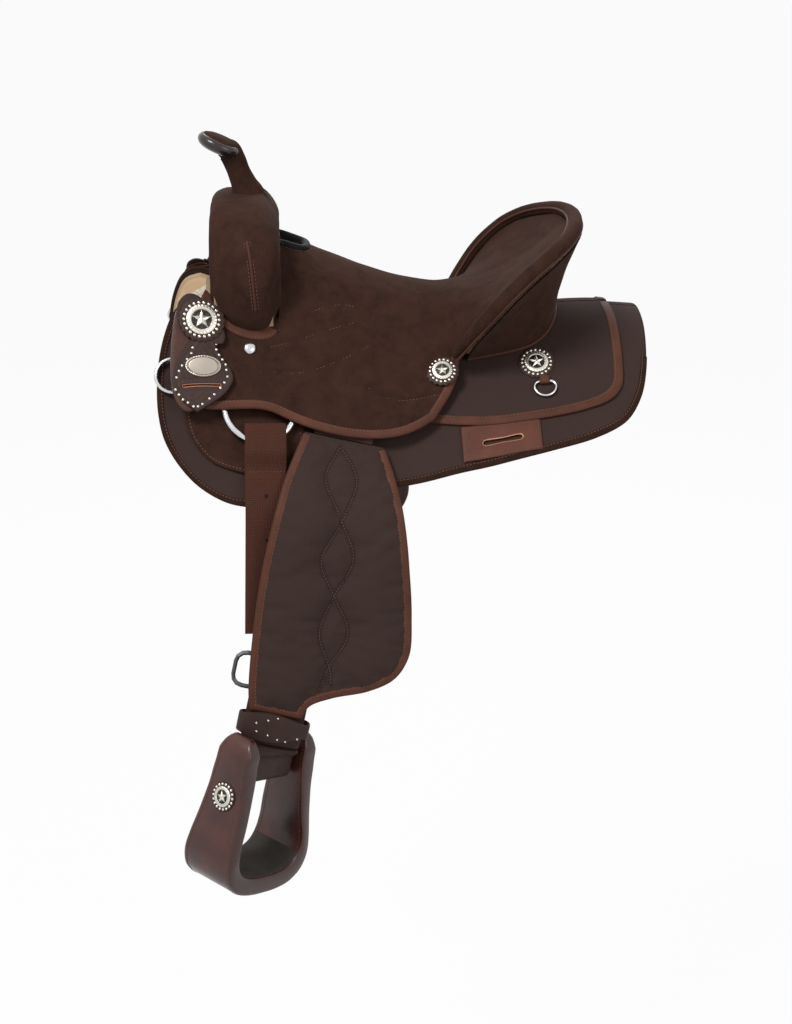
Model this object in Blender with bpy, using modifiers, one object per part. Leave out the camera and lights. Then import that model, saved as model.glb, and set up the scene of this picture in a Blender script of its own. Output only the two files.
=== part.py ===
"""Western trail saddle: tree, suede seat, padded fenders, skirts, rigging and stirrups.

Metres, +Z up. +X runs towards the horse's tail, and the near (left) side of the
saddle is at -Y. The origin is on the underside of the fleece ridge line, halfway
between the fork and the cantle. Everything that lies on the horse is a flat
pattern, drawn in x (along the back) and s (down the side, measured over the back
from the spine), which is then draped over one shared surface, so that all the
layers stay parallel with a small gap between them.
"""
import math

import bmesh
import bpy
from mathutils import Matrix, Vector

# Clearance between neighbouring pieces
GAP = 0.0004

# Horse's back, as rows of x, height of the spine line, radius over it, slope of the flank
BACK_STATIONS = (
    (-0.33, 0.1280, 0.100, 62.0),
    (-0.25, 0.1130, 0.100, 60.0),
    (-0.20, 0.0900, 0.105, 57.0),
    (-0.07, 0.0370, 0.115, 50.0),
    (0.00, 0.0175, 0.120, 47.0),
    (0.08, 0.0200, 0.120, 43.5),
    (0.16, 0.0290, 0.120, 41.5),
    (0.24, 0.0330, 0.120, 40.0),
    (0.33, 0.0270, 0.120, 39.0),
)
LATTICE_FRONT = -0.33
LATTICE_STEP = 0.055
LATTICE_DOWN = (0.0, 0.035, 0.070, 0.105, 0.150, 0.200, 0.250, 0.300, 0.350)

# Layers on the flank, measured outwards from the underside of the skirt
FLEECE_THICK = 0.0171
FLEECE_INSET = 0.0095
SKIRT_THICK = 0.0050
JOCKEY_LEATHER = 0.0036
RIGGING_LEATHER = 0.0040
BAR_THICK = 0.0146
SEAT_LEATHER = 0.0032
FRONT_LEATHER = 0.0030
KEEPER_LEATHER = 0.0032

# Seat, fork, horn and cantle
FORK_FRONT = -0.2200
FORK_REAR = -0.1520
COVER_WALL = 0.0040
COVER_REAR_PAD = 0.0100
FORK_TOP = 0.1800
GULLET_TOP = 0.1320
LINING_FRONT = -0.2560
BAR_FRONT = -0.2300
HORN_BASE_X = -0.1835
HORN_CAP_RADIUS = 0.0265
HORN_CAP_THICK = 0.0150
HORN_CAP_TILT = 24.0
HORN_NECK_RADIUS = 0.0150
HORN_CORE_RADIUS = 0.0070
SEAT_PAD = 0.0060
GROUND_SEAT = 0.0048
ROLL_RADIUS = 0.0090
CANTLE_LEATHER = 0.0030
CANTLE_WALL_TOP = 0.0045
CANTLE_WALL_FOOT = 0.0130

# Rigging, stirrup leathers and fenders
RING_RADIUS = 0.0410
RING_WIRE = 0.0037
RING_X = -0.1700
RING_DOWN = 0.2010
FRONT_DEE_X = -0.2640
FRONT_DEE_DOWN = 0.1930
FRONT_DEE_OUT = 0.0048
REAR_DEE_X = 0.1690
REAR_DEE_DOWN = 0.1370
REAR_DEE_OUT = 0.0030
LATIGO_SHIFT = 0.0040
LATIGO_WIDTH = 0.0480
LATIGO_THICK = 0.0026
LATIGO_LENGTH = 0.2220
STRAP_WIDTH = 0.0700
STRAP_THICK = 0.0042
FENDER_LIFT = 0.0120
FENDER_BACKING = 0.0040
FENDER_PUFF = 0.0090
FENDER_EDGE = 0.0050
HINGE_DROP = 0.0016
HINGE_X = -0.0750
HINGE_DOWN = 0.2080
PIVOT_UP = -0.0800
BEND_START = 0.0750
BEND_RADIUS = 0.1200
BEND_ANGLE = 30.0
BUCKLE_DOWN = LATIGO_LENGTH + 0.0680
HOBBLE_TOP = BUCKLE_DOWN + 0.0340
HOBBLE_DEPTH = 0.0340
HOBBLE_THICK = 0.0030

# Stirrup
TWIST_START = HOBBLE_TOP + HOBBLE_DEPTH + 0.0040
TWIST_LENGTH = 0.0240
BOLT_DOWN = TWIST_START + 0.0380
BOLT_RADIUS = 0.0050
STIRRUP_TURN = -48.0
OFF_STIRRUP_TURN = -70.0
OFF_LEATHER_SWING = 7.0
STIRRUP_TOP_WIDTH = 0.1080
STIRRUP_WIDTH = 0.1380
STIRRUP_ABOVE_BOLT = 0.0300
STIRRUP_BELOW_BOLT = 0.1440
STIRRUP_DEPTH_TOP = 0.0580
STIRRUP_DEPTH_TREAD = 0.0760
STIRRUP_WALL = 0.0135
STIRRUP_TREAD = 0.0240
STIRRUP_CONCHO_DOWN = 0.0420
STIRRUP_SHOULDER = 0.0200
STIRRUP_HIP = 0.1000
STIRRUP_FLARE = 0.0040

# Silver ornament
CONCHO_LARGE = 0.0205
CONCHO_SMALL = 0.0155
CONCHO_HEIGHT = 0.0040
ROSETTE_RIM = 0.0060
ROSETTE_THICK = 0.0030

NEAR = -1
OFF = 1
SIDES = ((NEAR, "near"), (OFF, "off"))


def start():
    """Empty the scene and make the collections."""
    for obj in list(bpy.data.objects):
        bpy.data.objects.remove(obj, do_unlink=True)
    made = bpy.data.collections.new("western_trail_saddle")
    tools = bpy.data.collections.new("cutters")
    bpy.context.scene.collection.children.link(made)
    bpy.context.scene.collection.children.link(tools)
    return made, tools


PARTS, CUTTERS = start()


def material(name, colour, roughness, metallic=0.0):
    mat = bpy.data.materials.new(name)
    mat.use_nodes = True
    shader = mat.node_tree.nodes["Principled BSDF"]
    shader.inputs["Base Color"].default_value = (*colour, 1.0)
    shader.inputs["Roughness"].default_value = roughness
    shader.inputs["Metallic"].default_value = metallic
    return mat


SUEDE = material("suede", (0.050, 0.024, 0.016), 0.95)
CORDURA = material("cordura", (0.065, 0.042, 0.038), 0.90)
FLEECE = material("fleece", (0.75, 0.68, 0.55), 1.0)
LEATHER = material("leather", (0.080, 0.030, 0.018), 0.55)
DARK_LEATHER = material("dark_leather", (0.030, 0.016, 0.012), 0.60)
TAN_LEATHER = material("tan_leather", (0.70, 0.45, 0.24), 0.60)
WEBBING = material("webbing", (0.095, 0.032, 0.020), 0.80)
STIRRUP_LEATHER = material("stirrup_leather", (0.080, 0.020, 0.015), 0.40)
TREE_WOOD = material("tree_wood", (0.45, 0.33, 0.20), 0.70)
FOAM = material("foam", (0.55, 0.50, 0.42), 0.95)
STEEL = material("steel", (0.55, 0.56, 0.58), 0.25, 1.0)
DARK_STEEL = material("dark_steel", (0.08, 0.08, 0.09), 0.35, 1.0)
SILVER = material("silver", (0.80, 0.76, 0.70), 0.25, 1.0)


def outward(bm):
    """Turn the faces of a closed mesh outwards."""
    if bm.calc_volume(signed=True) < 0:
        bmesh.ops.reverse_faces(bm, faces=bm.faces)


def finish_mesh(bm, name, mat, smooth=None):
    """Turn a bmesh into a part's object."""
    outward(bm)
    mesh = bpy.data.meshes.new(name)
    bm.to_mesh(mesh)
    bm.free()
    if smooth is not None:
        mesh.shade_smooth()
        mesh.set_sharp_from_angle(angle=math.radians(smooth))
    obj = bpy.data.objects.new(name, mesh)
    finish = mat.copy()
    finish.name = name + "_finish"
    obj.data.materials.append(finish)
    PARTS.objects.link(obj)
    return obj


def evaluated_bmesh(obj):
    """The object's mesh with its modifiers, in world space, loose caps welded."""
    bpy.context.view_layer.update()
    graph = bpy.context.evaluated_depsgraph_get()
    mesh = bpy.data.meshes.new_from_object(obj.evaluated_get(graph))
    bm = bmesh.new()
    bm.from_mesh(mesh)
    bm.transform(obj.matrix_world)
    bpy.data.meshes.remove(mesh)
    bmesh.ops.remove_doubles(bm, verts=bm.verts, dist=1e-6)
    return bm


def flat_bmesh(loops, low, high):
    """A flat plate between two heights, from closed outlines; inner ones are holes."""
    curve = bpy.data.curves.new("pattern", "CURVE")
    curve.dimensions = "2D"
    curve.fill_mode = "BOTH"
    curve.extrude = (high - low) / 2
    for loop in loops:
        spline = curve.splines.new("POLY")
        spline.points.add(len(loop) - 1)
        for point, place in zip(spline.points, loop):
            point.co = (place[0], place[1], 0.0, 1.0)
        spline.use_cyclic_u = True
    obj = bpy.data.objects.new("pattern", curve)
    CUTTERS.objects.link(obj)
    bm = evaluated_bmesh(obj)
    bmesh.ops.translate(bm, verts=bm.verts, vec=(0.0, 0.0, (high + low) / 2))
    bmesh.ops.dissolve_limit(bm, angle_limit=0.001, verts=bm.verts, edges=bm.edges)
    bpy.data.objects.remove(obj, do_unlink=True)
    return bm


def rounded(points, radius=0.0, turn=30.0):
    """A closed outline whose corners are arcs; a point may give its own radius."""
    outline = []
    count = len(points)
    for index, point in enumerate(points):
        here = Vector(point[:2])
        before = Vector(points[index - 1][:2]) - here
        after = Vector(points[(index + 1) % count][:2]) - here
        corner = point[2] if len(point) > 2 else radius
        opening = before.angle(after)
        if corner <= 0.0 or opening > math.radians(176):
            outline.append((here.x, here.y))
            continue
        reach = corner / math.tan(opening / 2)
        reach = min(reach, 0.49 * before.length, 0.49 * after.length)
        corner = reach * math.tan(opening / 2)
        start_at = here + before.normalized() * reach
        end_at = here + after.normalized() * reach
        middle = here + (before.normalized() + after.normalized()).normalized() * corner / math.sin(opening / 2)
        sweep = math.pi - opening
        steps = max(1, math.ceil(sweep / math.radians(turn)))
        from_middle = start_at - middle
        sign = 1.0 if from_middle.cross(end_at - middle) > 0 else -1.0
        for step in range(steps + 1):
            turned = Matrix.Rotation(sign * sweep * step / steps, 2) @ from_middle
            outline.append((middle.x + turned.x, middle.y + turned.y))
    return outline


def circle(cx, cy, radius, segments=24):
    angles = [2 * math.pi * k / segments for k in range(segments)]
    return [(cx + radius * math.cos(a), cy + radius * math.sin(a)) for a in angles]


def between(low, high, share):
    return low + (high - low) * share


def station(x):
    """Spine height, radius and flank slope of the horse's back at x."""
    rows = BACK_STATIONS
    for low, high in zip(rows, rows[1:]):
        if x <= high[0]:
            break
    share = (x - low[0]) / (high[0] - low[0])
    return tuple(between(low[k], high[k], share) for k in (1, 2, 3))


def back_point(x, s, n=0.0):
    """Point on the near side of the horse's back, at x, s down and n out."""
    spine, radius, slope = station(x)
    slope = math.radians(slope)
    angle = min(s / radius, slope)
    along = max(s - radius * slope, 0.0)
    y = (radius + n) * math.sin(angle) + along * math.cos(slope)
    z = spine - radius + (radius + n) * math.cos(angle) - along * math.sin(slope)
    return Vector((x, -y, z))


def down_index(s):
    """Place of s on the lattice that runs down the side."""
    rows = LATTICE_DOWN
    for index, (low, high) in enumerate(zip(rows, rows[1:])):
        if s <= high:
            break
    return index + (s - low) / (high - low)


def lattice_point(i, j, n):
    return back_point(LATTICE_FRONT + i * LATTICE_STEP, LATTICE_DOWN[min(j, len(LATTICE_DOWN) - 1)], n)


def draped(x, s, n):
    """Place a pattern point on the lattice, so that all layers have the same facets."""
    u = (x - LATTICE_FRONT) / LATTICE_STEP
    v = down_index(s)
    i = math.floor(u + 1e-6)
    j = math.floor(v + 1e-6)
    a = u - i
    b = v - j
    if a + b <= 1.0:
        corners = ((i, j, 1.0 - a - b), (i + 1, j, a), (i, j + 1, b))
    else:
        corners = ((i + 1, j + 1, a + b - 1.0), (i, j + 1, 1.0 - a), (i + 1, j, 1.0 - b))
    place = Vector((0.0, 0.0, 0.0))
    for column, row, weight in corners:
        place += lattice_point(column, row, n) * weight
    return place


def cut_along(bm, point, normal):
    bmesh.ops.bisect_plane(
        bm, geom=bm.verts[:] + bm.edges[:] + bm.faces[:], dist=1e-7, plane_co=point, plane_no=normal
    )


def to_side(bm, side):
    """Mirror a near-side piece to the off side."""
    if side == OFF:
        bmesh.ops.scale(bm, vec=(1.0, -1.0, 1.0), verts=bm.verts)


def drape_bmesh(loops, low, high):
    """A flat pattern made into a layer on the near side of the back."""
    warped = []
    for loop in loops:
        warped.append([((x - LATTICE_FRONT) / LATTICE_STEP, down_index(max(s, 0.0))) for x, s in loop])
    bm = flat_bmesh(warped, low, high)
    columns = range(1, 13)
    rows = range(1, len(LATTICE_DOWN))
    for column in columns:
        cut_along(bm, (column, 0, 0), (1, 0, 0))
    for row in rows:
        cut_along(bm, (0, row, 0), (0, 1, 0))
    for diagonal in range(1, len(columns) + len(rows) + 1):
        cut_along(bm, (diagonal, 0, 0), (1, 1, 0))
    for vert in bm.verts:
        i, j, n = vert.co
        x = LATTICE_FRONT + i * LATTICE_STEP
        row = min(int(j + 1e-6), len(LATTICE_DOWN) - 2)
        s = between(LATTICE_DOWN[row], LATTICE_DOWN[row + 1], j - row)
        vert.co = draped(x, s, n)
    return bm


def sheet(name, side, loops, low, high, mat):
    """A draped layer as a part."""
    bm = drape_bmesh(loops, low, high)
    to_side(bm, side)
    return finish_mesh(bm, name, mat)


class Hang:
    """A strip that lies on the flank and then bends down over the skirt's edge."""

    def __init__(self, origin, across, down, bend_at, bend_deg, bend_radius):
        self.origin = Vector(origin)
        self.down = Vector(down).normalized()
        across = Vector(across)
        self.across = (across - self.down * across.dot(self.down)).normalized()
        out = self.across.cross(self.down)
        self.out = out if out.y < 0 else -out
        self.bend_at = bend_at
        self.bend = math.radians(bend_deg)
        self.radius = bend_radius

    def bent(self, length):
        """How far down, how far out, and the angle turned, at a length along the strip."""
        if length <= self.bend_at:
            return length, 0.0, 0.0
        turn = min((length - self.bend_at) / self.radius, self.bend)
        rest = max(length - self.bend_at - self.radius * self.bend, 0.0)
        down = self.bend_at + self.radius * math.sin(turn) + rest * math.cos(turn)
        out = -self.radius * (1 - math.cos(turn)) - rest * math.sin(turn)
        return down, out, turn

    def at(self, across, length, out):
        down, shift, turn = self.bent(length)
        normal = self.out * math.cos(turn) + self.down * math.sin(turn)
        return self.origin + self.across * across + self.down * down + self.out * shift + normal * out

    def frame(self, across, length, out, turned=0.0):
        """Axes across, down and out at a place, turned about the downward one."""
        turn = self.bent(length)[2]
        normal = self.out * math.cos(turn) + self.down * math.sin(turn)
        down = self.down * math.cos(turn) - self.out * math.sin(turn)
        sideways = Matrix.Rotation(math.radians(turned), 3, down) @ self.across
        frame = Matrix((sideways, down, Matrix.Rotation(math.radians(turned), 3, down) @ normal)).transposed()
        return Matrix.Translation(self.at(across, length, out)) @ frame.to_4x4()


def fender_hang():
    """The fender lies on the flank below the jockey and hangs from the skirt's edge."""
    origin = back_point(HINGE_X, HINGE_DOWN)
    across = back_point(HINGE_X + 0.055, HINGE_DOWN - 0.003) - back_point(HINGE_X - 0.055, HINGE_DOWN + 0.003)
    down = back_point(HINGE_X, HINGE_DOWN + 0.052) - origin
    down -= across.normalized() * down.dot(across.normalized())
    return Hang(origin, across, down, BEND_START, BEND_ANGLE, BEND_RADIUS)


def latigo_hang():
    """The latigo hangs straight down from the rigging ring, inside the fender."""
    origin = back_point(RING_X + LATIGO_SHIFT, RING_DOWN + RING_RADIUS)
    down = back_point(RING_X + LATIGO_SHIFT, RING_DOWN + RING_RADIUS + 0.05) - origin
    across = back_point(RING_X + 0.024, RING_DOWN + RING_RADIUS) - back_point(RING_X - 0.016, RING_DOWN + RING_RADIUS)
    return Hang(origin, across, down, 0.055, 24.0, 0.09)


FENDER_FRAME = fender_hang()
LATIGO_FRAME = latigo_hang()


def hang_bmesh(bm, frame, cuts, twist=None):
    """Bend a flat pattern, drawn across and down, along a hanging strip."""
    for length in cuts:
        cut_along(bm, (0, length, 0), (0, 1, 0))
    for vert in bm.verts:
        across, length, out = vert.co
        if twist:
            across, out = twist(across, length, out)
        vert.co = frame.at(across, length, out)
    return bm


def add_cutter(bm, name):
    outward(bm)
    mesh = bpy.data.meshes.new(name)
    bm.to_mesh(mesh)
    bm.free()
    obj = bpy.data.objects.new(name, mesh)
    obj.display_type = "WIRE"
    obj.hide_render = True
    CUTTERS.objects.link(obj)
    return obj


def boolean(obj, cutter, operation="DIFFERENCE"):
    cut = obj.modifiers.new(cutter.name, "BOOLEAN")
    cut.operation = operation
    cut.object = cutter
    return cut


def along(points, share):
    """Point at a share of a smooth curve through the points, mirrored beyond its end."""
    count = len(points) - 1
    place = min(max(share, 0.0), 1.0) * count
    index = min(int(place), count - 1)
    t = place - index
    p1 = Vector(points[index])
    p2 = Vector(points[index + 1])
    p0 = Vector(points[index - 1]) if index > 0 else p1 * 2 - p2
    if index + 2 <= count:
        p3 = Vector(points[index + 2])
    else:
        p3 = Vector((p1.x, -p1.y, p1.z))
    return 0.5 * (
        2 * p1 + (p2 - p0) * t + (2 * p0 - 5 * p1 + 4 * p2 - p3) * t**2 + (3 * p1 - p0 - 3 * p2 + p3) * t**3
    )


def grid_solid(columns, rows, low, high):
    """A closed solid between two surfaces, each given as a function of the grid place."""
    bm = bmesh.new()
    bmesh.ops.create_grid(bm, x_segments=columns, y_segments=rows, size=1.0)
    place = bm.verts.layers.float_vector.new("place")
    for vert in bm.verts:
        i = round((vert.co.x + 1.0) / 2.0 * columns)
        j = round((vert.co.y + 1.0) / 2.0 * rows)
        vert[place] = (i, j, 0.0)
    made = bmesh.ops.extrude_face_region(bm, geom=bm.faces[:], use_keep_orig=True)
    upper = {item for item in made["geom"] if isinstance(item, bmesh.types.BMVert)}
    for vert in bm.verts:
        i, j = round(vert[place].x), round(vert[place].y)
        vert.co = (high if vert in upper else low)(i, j)
    bmesh.ops.recalc_face_normals(bm, faces=bm.faces)
    return bm


def tube(name, points, radius, mat, cyclic=False, resolution=2, radii=None):
    """A round wire along points, as one closed mesh."""
    curve = bpy.data.curves.new(name, "CURVE")
    curve.dimensions = "3D"
    curve.bevel_depth = radius
    curve.bevel_resolution = resolution
    curve.use_fill_caps = not cyclic
    spline = curve.splines.new("POLY")
    spline.points.add(len(points) - 1)
    for point, place in zip(spline.points, points):
        point.co = (*place, 1.0)
    for point, local in zip(spline.points, radii or ()):
        point.radius = local
    spline.use_cyclic_u = cyclic
    obj = bpy.data.objects.new(name, curve)
    CUTTERS.objects.link(obj)
    bm = evaluated_bmesh(obj)
    bpy.data.objects.remove(obj, do_unlink=True)
    return finish_mesh(bm, name, mat, smooth=50)


def join_bmesh(target, source):
    """Add one bmesh's geometry to another and free it."""
    outward(source)
    mesh = bpy.data.meshes.new("joined")
    source.to_mesh(mesh)
    source.free()
    target.from_mesh(mesh)
    bpy.data.meshes.remove(mesh)


SKIRT_TOP = SKIRT_THICK
ON_SKIRT = SKIRT_TOP + GAP
REAR_JOCKEY_TOP = ON_SKIRT + JOCKEY_LEATHER
RIGGING_TOP = ON_SKIRT + RIGGING_LEATHER
BAR_TOP = ON_SKIRT + BAR_THICK
JOCKEY_LOW = BAR_TOP + GAP
JOCKEY_TOP = JOCKEY_LOW + SEAT_LEATHER + GAP
RING_TOP_OUT = RIGGING_TOP + GAP + RING_WIRE
RING_FOOT_OUT = RING_TOP_OUT + LATIGO_THICK + 6 * GAP
RING_OUT = (RING_TOP_OUT + RING_FOOT_OUT) / 2
RING_TILT = math.atan((RING_FOOT_OUT - RING_TOP_OUT) / (2 * RING_RADIUS))
SEAT_CONCHO_OUT = JOCKEY_TOP + 0.0060
FRONT_TOP = JOCKEY_TOP + GAP + FRONT_LEATHER
KEEPER_TOP = FRONT_TOP + GAP + KEEPER_LEATHER


def skirt_outline(inset=0.0):
    """Skirt pattern from the gullet, round the front, along the bottom, to the rear ridge."""
    return rounded((
        (-0.246, 0.092 + inset, 0.010),
        (-0.266 + inset, 0.112 + inset, 0.060),
        (-0.289 + inset, 0.190, 0.120),
        (-0.287 + inset, 0.262 - inset, 0.100),
        (-0.235, 0.330 - inset, 0.060),
        (-0.175, 0.322 - inset, 0.120),
        (-0.003, 0.243 - inset, 0.250),
        (0.150, 0.229 - inset, 0.250),
        (0.262, 0.209 - inset, 0.060),
        (0.301 - inset, 0.120, 0.120),
        (0.303 - inset, 0.0003, 0.0),
        (0.150, 0.0003, 0.0),
        (0.080, 0.0300, 0.060),
        (-0.150, 0.0400, 0.060),
        (-0.215, 0.0850, 0.040),
    ), turn=14.0)


def skirts():
    for side, word in SIDES:
        sheet("skirt_" + word, side, [skirt_outline()], 0.0, SKIRT_TOP, CORDURA)


def fleece():
    """Fleece under both skirts, one piece that runs over the spine behind the cantle."""
    outline = [(x, max(s, 0.0) if s > 0.001 else 0.0) for x, s in skirt_outline(FLEECE_INSET)]
    bm = both_sides(outline, -FLEECE_THICK - GAP, -GAP)
    finish_mesh(bm, "fleece", FLEECE)


def both_sides(outline, low, high):
    """A layer draped over the spine: both halves made, with the wall between them taken out."""
    bm = drape_bmesh([outline], low, high)
    other = drape_bmesh([outline], low, high)
    to_side(other, OFF)
    outward(bm)
    join_bmesh(bm, other)
    bmesh.ops.remove_doubles(bm, verts=bm.verts, dist=1e-5)
    middle = [face for face in bm.faces if all(abs(vert.co.y) < 1e-5 for vert in face.verts)]
    bmesh.ops.delete(bm, geom=middle, context="FACES")
    bmesh.ops.recalc_face_normals(bm, faces=bm.faces)
    return bm


def rear_jockeys():
    outline = rounded((
        (0.1500, 0.0003, 0.0),
        (0.2640, 0.0003, 0.0),
        (0.2660, 0.0600, 0.200),
        (0.2650, 0.1480, 0.030),
        (0.2280, 0.1790, 0.040),
        (0.1500, 0.1870, 0.200),
        (0.0250, 0.1680, 0.010),
        (0.0300, 0.1300, 0.010),
        (0.0650, 0.0860, 0.010),
        (0.1480, 0.0850, 0.010),
    ), turn=20.0)
    for side, word in SIDES:
        sheet("rear_jockey_" + word, side, [outline], ON_SKIRT, REAR_JOCKEY_TOP, CORDURA)


def rear_rig_patches():
    """Leather patch under the rear jockey with the slot for the back cinch billet."""
    patch = rounded(((0.066, 0.1905), (0.160, 0.1925), (0.160, 0.2260), (0.068, 0.2280)), 0.003)
    slot = rounded(((0.092, 0.2035), (0.136, 0.2035), (0.136, 0.2085), (0.092, 0.2085)), 0.002)
    for side, word in SIDES:
        sheet("rear_rig_patch_" + word, side, [patch, slot], ON_SKIRT, ON_SKIRT + 0.0028, LEATHER)


def rigging_panels():
    outline = rounded((
        (-0.2560, 0.1280, 0.010),
        (-0.2570, 0.2450, 0.035),
        (-0.2250, 0.2870, 0.040),
        (-0.1300, 0.2760, 0.020),
        (-0.1100, 0.1280, 0.010),
    ), turn=20.0)
    for side, word in SIDES:
        sheet("rigging_panel_" + word, side, [outline], ON_SKIRT, RIGGING_TOP, SUEDE)


def bar_outline():
    return rounded((
        (BAR_FRONT, 0.0640, 0.010),
        (BAR_FRONT, 0.1240, 0.012),
        (0.0100, 0.1240, 0.012),
        (0.0450, 0.0830, 0.012),
        (0.1400, 0.0820, 0.020),
        (0.1400, 0.0340, 0.025),
        (-0.1500, 0.0340, 0.040),
    ), turn=30.0)


def tree_bars():
    """The tree's two bars, each with a groove in its edge for the stirrup leather."""
    groove = [(-0.107, 0.094), (0.003, 0.094), (0.003, 0.140), (-0.107, 0.140)]
    for side, word in SIDES:
        bar = sheet("tree_bar_" + word, side, [bar_outline()], ON_SKIRT, BAR_TOP, TREE_WOOD)
        cut = drape_bmesh([groove], ON_SKIRT + 0.005, BAR_TOP + 0.004)
        to_side(cut, side)
        boolean(bar, add_cutter(cut, "leather_groove_" + word))


# The seat's cage: rows run from the fork to the cantle, columns from the middle out
SEAT_COLUMNS = 8
PAD_COLUMNS = 4
FORK_ROWS = 4
SEAT_ROWS = 4
DISH_ROWS = 5

# Jockey rows: x and how far down its lower edge lies
FORK_STATIONS = ((-0.262, 0.1, 0.224), (-0.2345, 0.1165, 0.226), (-0.220, 0.1165, 0.2225), (-0.165, 0.1165, 0.199))
SEAT_STATIONS = ((-0.1398, 0.204, 0.130), (-0.110, 0.209, 0.1192), (-0.055, 0.208, 0.0965), (0.000, 0.1945, 0.0765))
RIM = (
    (0.062, -0.108, 0.004),
    (0.086, -0.128, 0.040),
    (0.116, -0.144, 0.080),
    (0.146, -0.143, 0.109),
    (0.172, -0.127, 0.127),
    (0.195, -0.097, 0.139),
    (0.211, -0.054, 0.147),
    (0.217, 0.000, 0.150),
)
DISH_MIDDLE = ((0.045, 0.0675), (0.090, 0.0690), (0.130, 0.0830), (0.163, 0.1040), (0.187, 0.1260))


def rim_edge(share, across, under):
    """Place beside the roll: across is + towards the dish, under runs into the cantle board."""
    centre = along(RIM, share)
    tangent = (along(RIM, share + 0.02) - along(RIM, share - 0.02)).normalized()
    inward = Vector((0.045, 0.0, 0.0)) - Vector((centre.x, centre.y, 0.0))
    inward -= tangent * inward.dot(tangent)
    inward.normalize()
    below = tangent.cross(inward)
    if below.z > 0:
        below = -below
    return centre + inward * across + below * under


DISH_EDGE = (ROLL_RADIUS + 0.0004, 0.0055)
BACK_EDGE = (-ROLL_RADIUS + 0.0006, 0.0092)


def seat_row(row):
    """Key points of a row across the seat: its middle, its side and the jockey's points."""
    if row <= SEAT_ROWS - 1:
        x, lower, height = SEAT_STATIONS[row]
        side = draped(x, 0.100, BAR_TOP + 0.0154)
        rise = 0.0 if row == 0 else 1.0
        flank = [draped(x, 0.1165 + 0.0085 * rise, JOCKEY_TOP + 0.0060 * rise)]
        flank.append(draped(x, 0.147, JOCKEY_TOP + 0.0014 * rise))
        for share in (0.5, 1.0):
            flank.append(draped(x, between(0.147, lower, share), JOCKEY_TOP))
        return Vector((x, 0.0, height)), side, flank
    middle_x, middle_z = DISH_MIDDLE[row - SEAT_ROWS]
    middle = Vector((middle_x, 0.0, middle_z))
    if row == SEAT_ROWS:
        corner = ((0.066, 0.112), (0.061, 0.130), (0.051, 0.148), (0.034, 0.172))
        flank = [draped(x, s, JOCKEY_TOP - 0.0012 * k) for k, (x, s) in enumerate(corner)]
        return middle, rim_edge(0.0, *DISH_EDGE), flank
    return middle, rim_edge((row - SEAT_ROWS) / DISH_ROWS * 0.78, *DISH_EDGE), []


def seat_point(row, column):
    """Cage point of the seat: rows 0 to 4 beside the fork, then the seat, then the dish."""
    if row < FORK_ROWS:
        x, upper, lower = FORK_STATIONS[row]
        share = max(column - PAD_COLUMNS - 1, 0) / (SEAT_COLUMNS - PAD_COLUMNS - 1)
        return draped(x, between(upper, lower, share), JOCKEY_TOP)
    row -= FORK_ROWS
    if row == SEAT_ROWS + DISH_ROWS:
        return rim_edge(between(1.0, 0.86, column / PAD_COLUMNS), *DISH_EDGE)
    middle, side, flank = seat_row(row)
    if column > PAD_COLUMNS:
        return flank[column - PAD_COLUMNS - 1] if flank else side
    share = column / PAD_COLUMNS
    place = middle.lerp(side, share)
    place.z = between(middle.z, side.z, share**2.3)
    return place


def seat_cell(row, column):
    """0 where there is no seat, 1 for the jockey alone, 2 where it is padded."""
    if row < FORK_ROWS:
        return 1 if column > PAD_COLUMNS else 0
    row -= FORK_ROWS
    if row == 0 and column < 1:
        return 0
    if row < SEAT_ROWS:
        return 2 if column < PAD_COLUMNS - (row == SEAT_ROWS - 1) else 1
    if column >= PAD_COLUMNS:
        return 0
    return 2 if row < SEAT_ROWS + DISH_ROWS - 1 and column < PAD_COLUMNS - 1 else 1


def seat_skin():
    """The seat's outer surface: a coarse cage, mirrored and subdivided once."""
    rows = FORK_ROWS + SEAT_ROWS + DISH_ROWS
    bm = bmesh.new()
    bmesh.ops.create_grid(bm, x_segments=rows, y_segments=SEAT_COLUMNS, size=1.0)
    drop = []
    for face in bm.faces:
        middle = face.calc_center_median()
        row = int((middle.x + 1.0) / 2.0 * rows)
        column = int((middle.y + 1.0) / 2.0 * SEAT_COLUMNS)
        kind = seat_cell(row, column)
        face.material_index = kind
        if kind == 0:
            drop.append(face)
    for vert in bm.verts:
        row = round((vert.co.x + 1.0) / 2.0 * rows)
        column = round((vert.co.y + 1.0) / 2.0 * SEAT_COLUMNS)
        vert.co = seat_point(row, column)
    bmesh.ops.delete(bm, geom=drop, context="FACES")
    bmesh.ops.remove_doubles(bm, verts=bm.verts, dist=1e-5)
    obj = add_cutter(bm, "seat_cage")
    for _ in range(3):
        obj.data.materials.append(SUEDE)
    mirror = obj.modifiers.new("Mirror", "MIRROR")
    mirror.use_axis = (False, True, False)
    mirror.merge_threshold = 0.0001
    smooth = obj.modifiers.new("Subdivision", "SUBSURF")
    smooth.levels = 1
    smooth.render_levels = 1
    smooth.boundary_smooth = "PRESERVE_CORNERS"
    return obj


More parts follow.
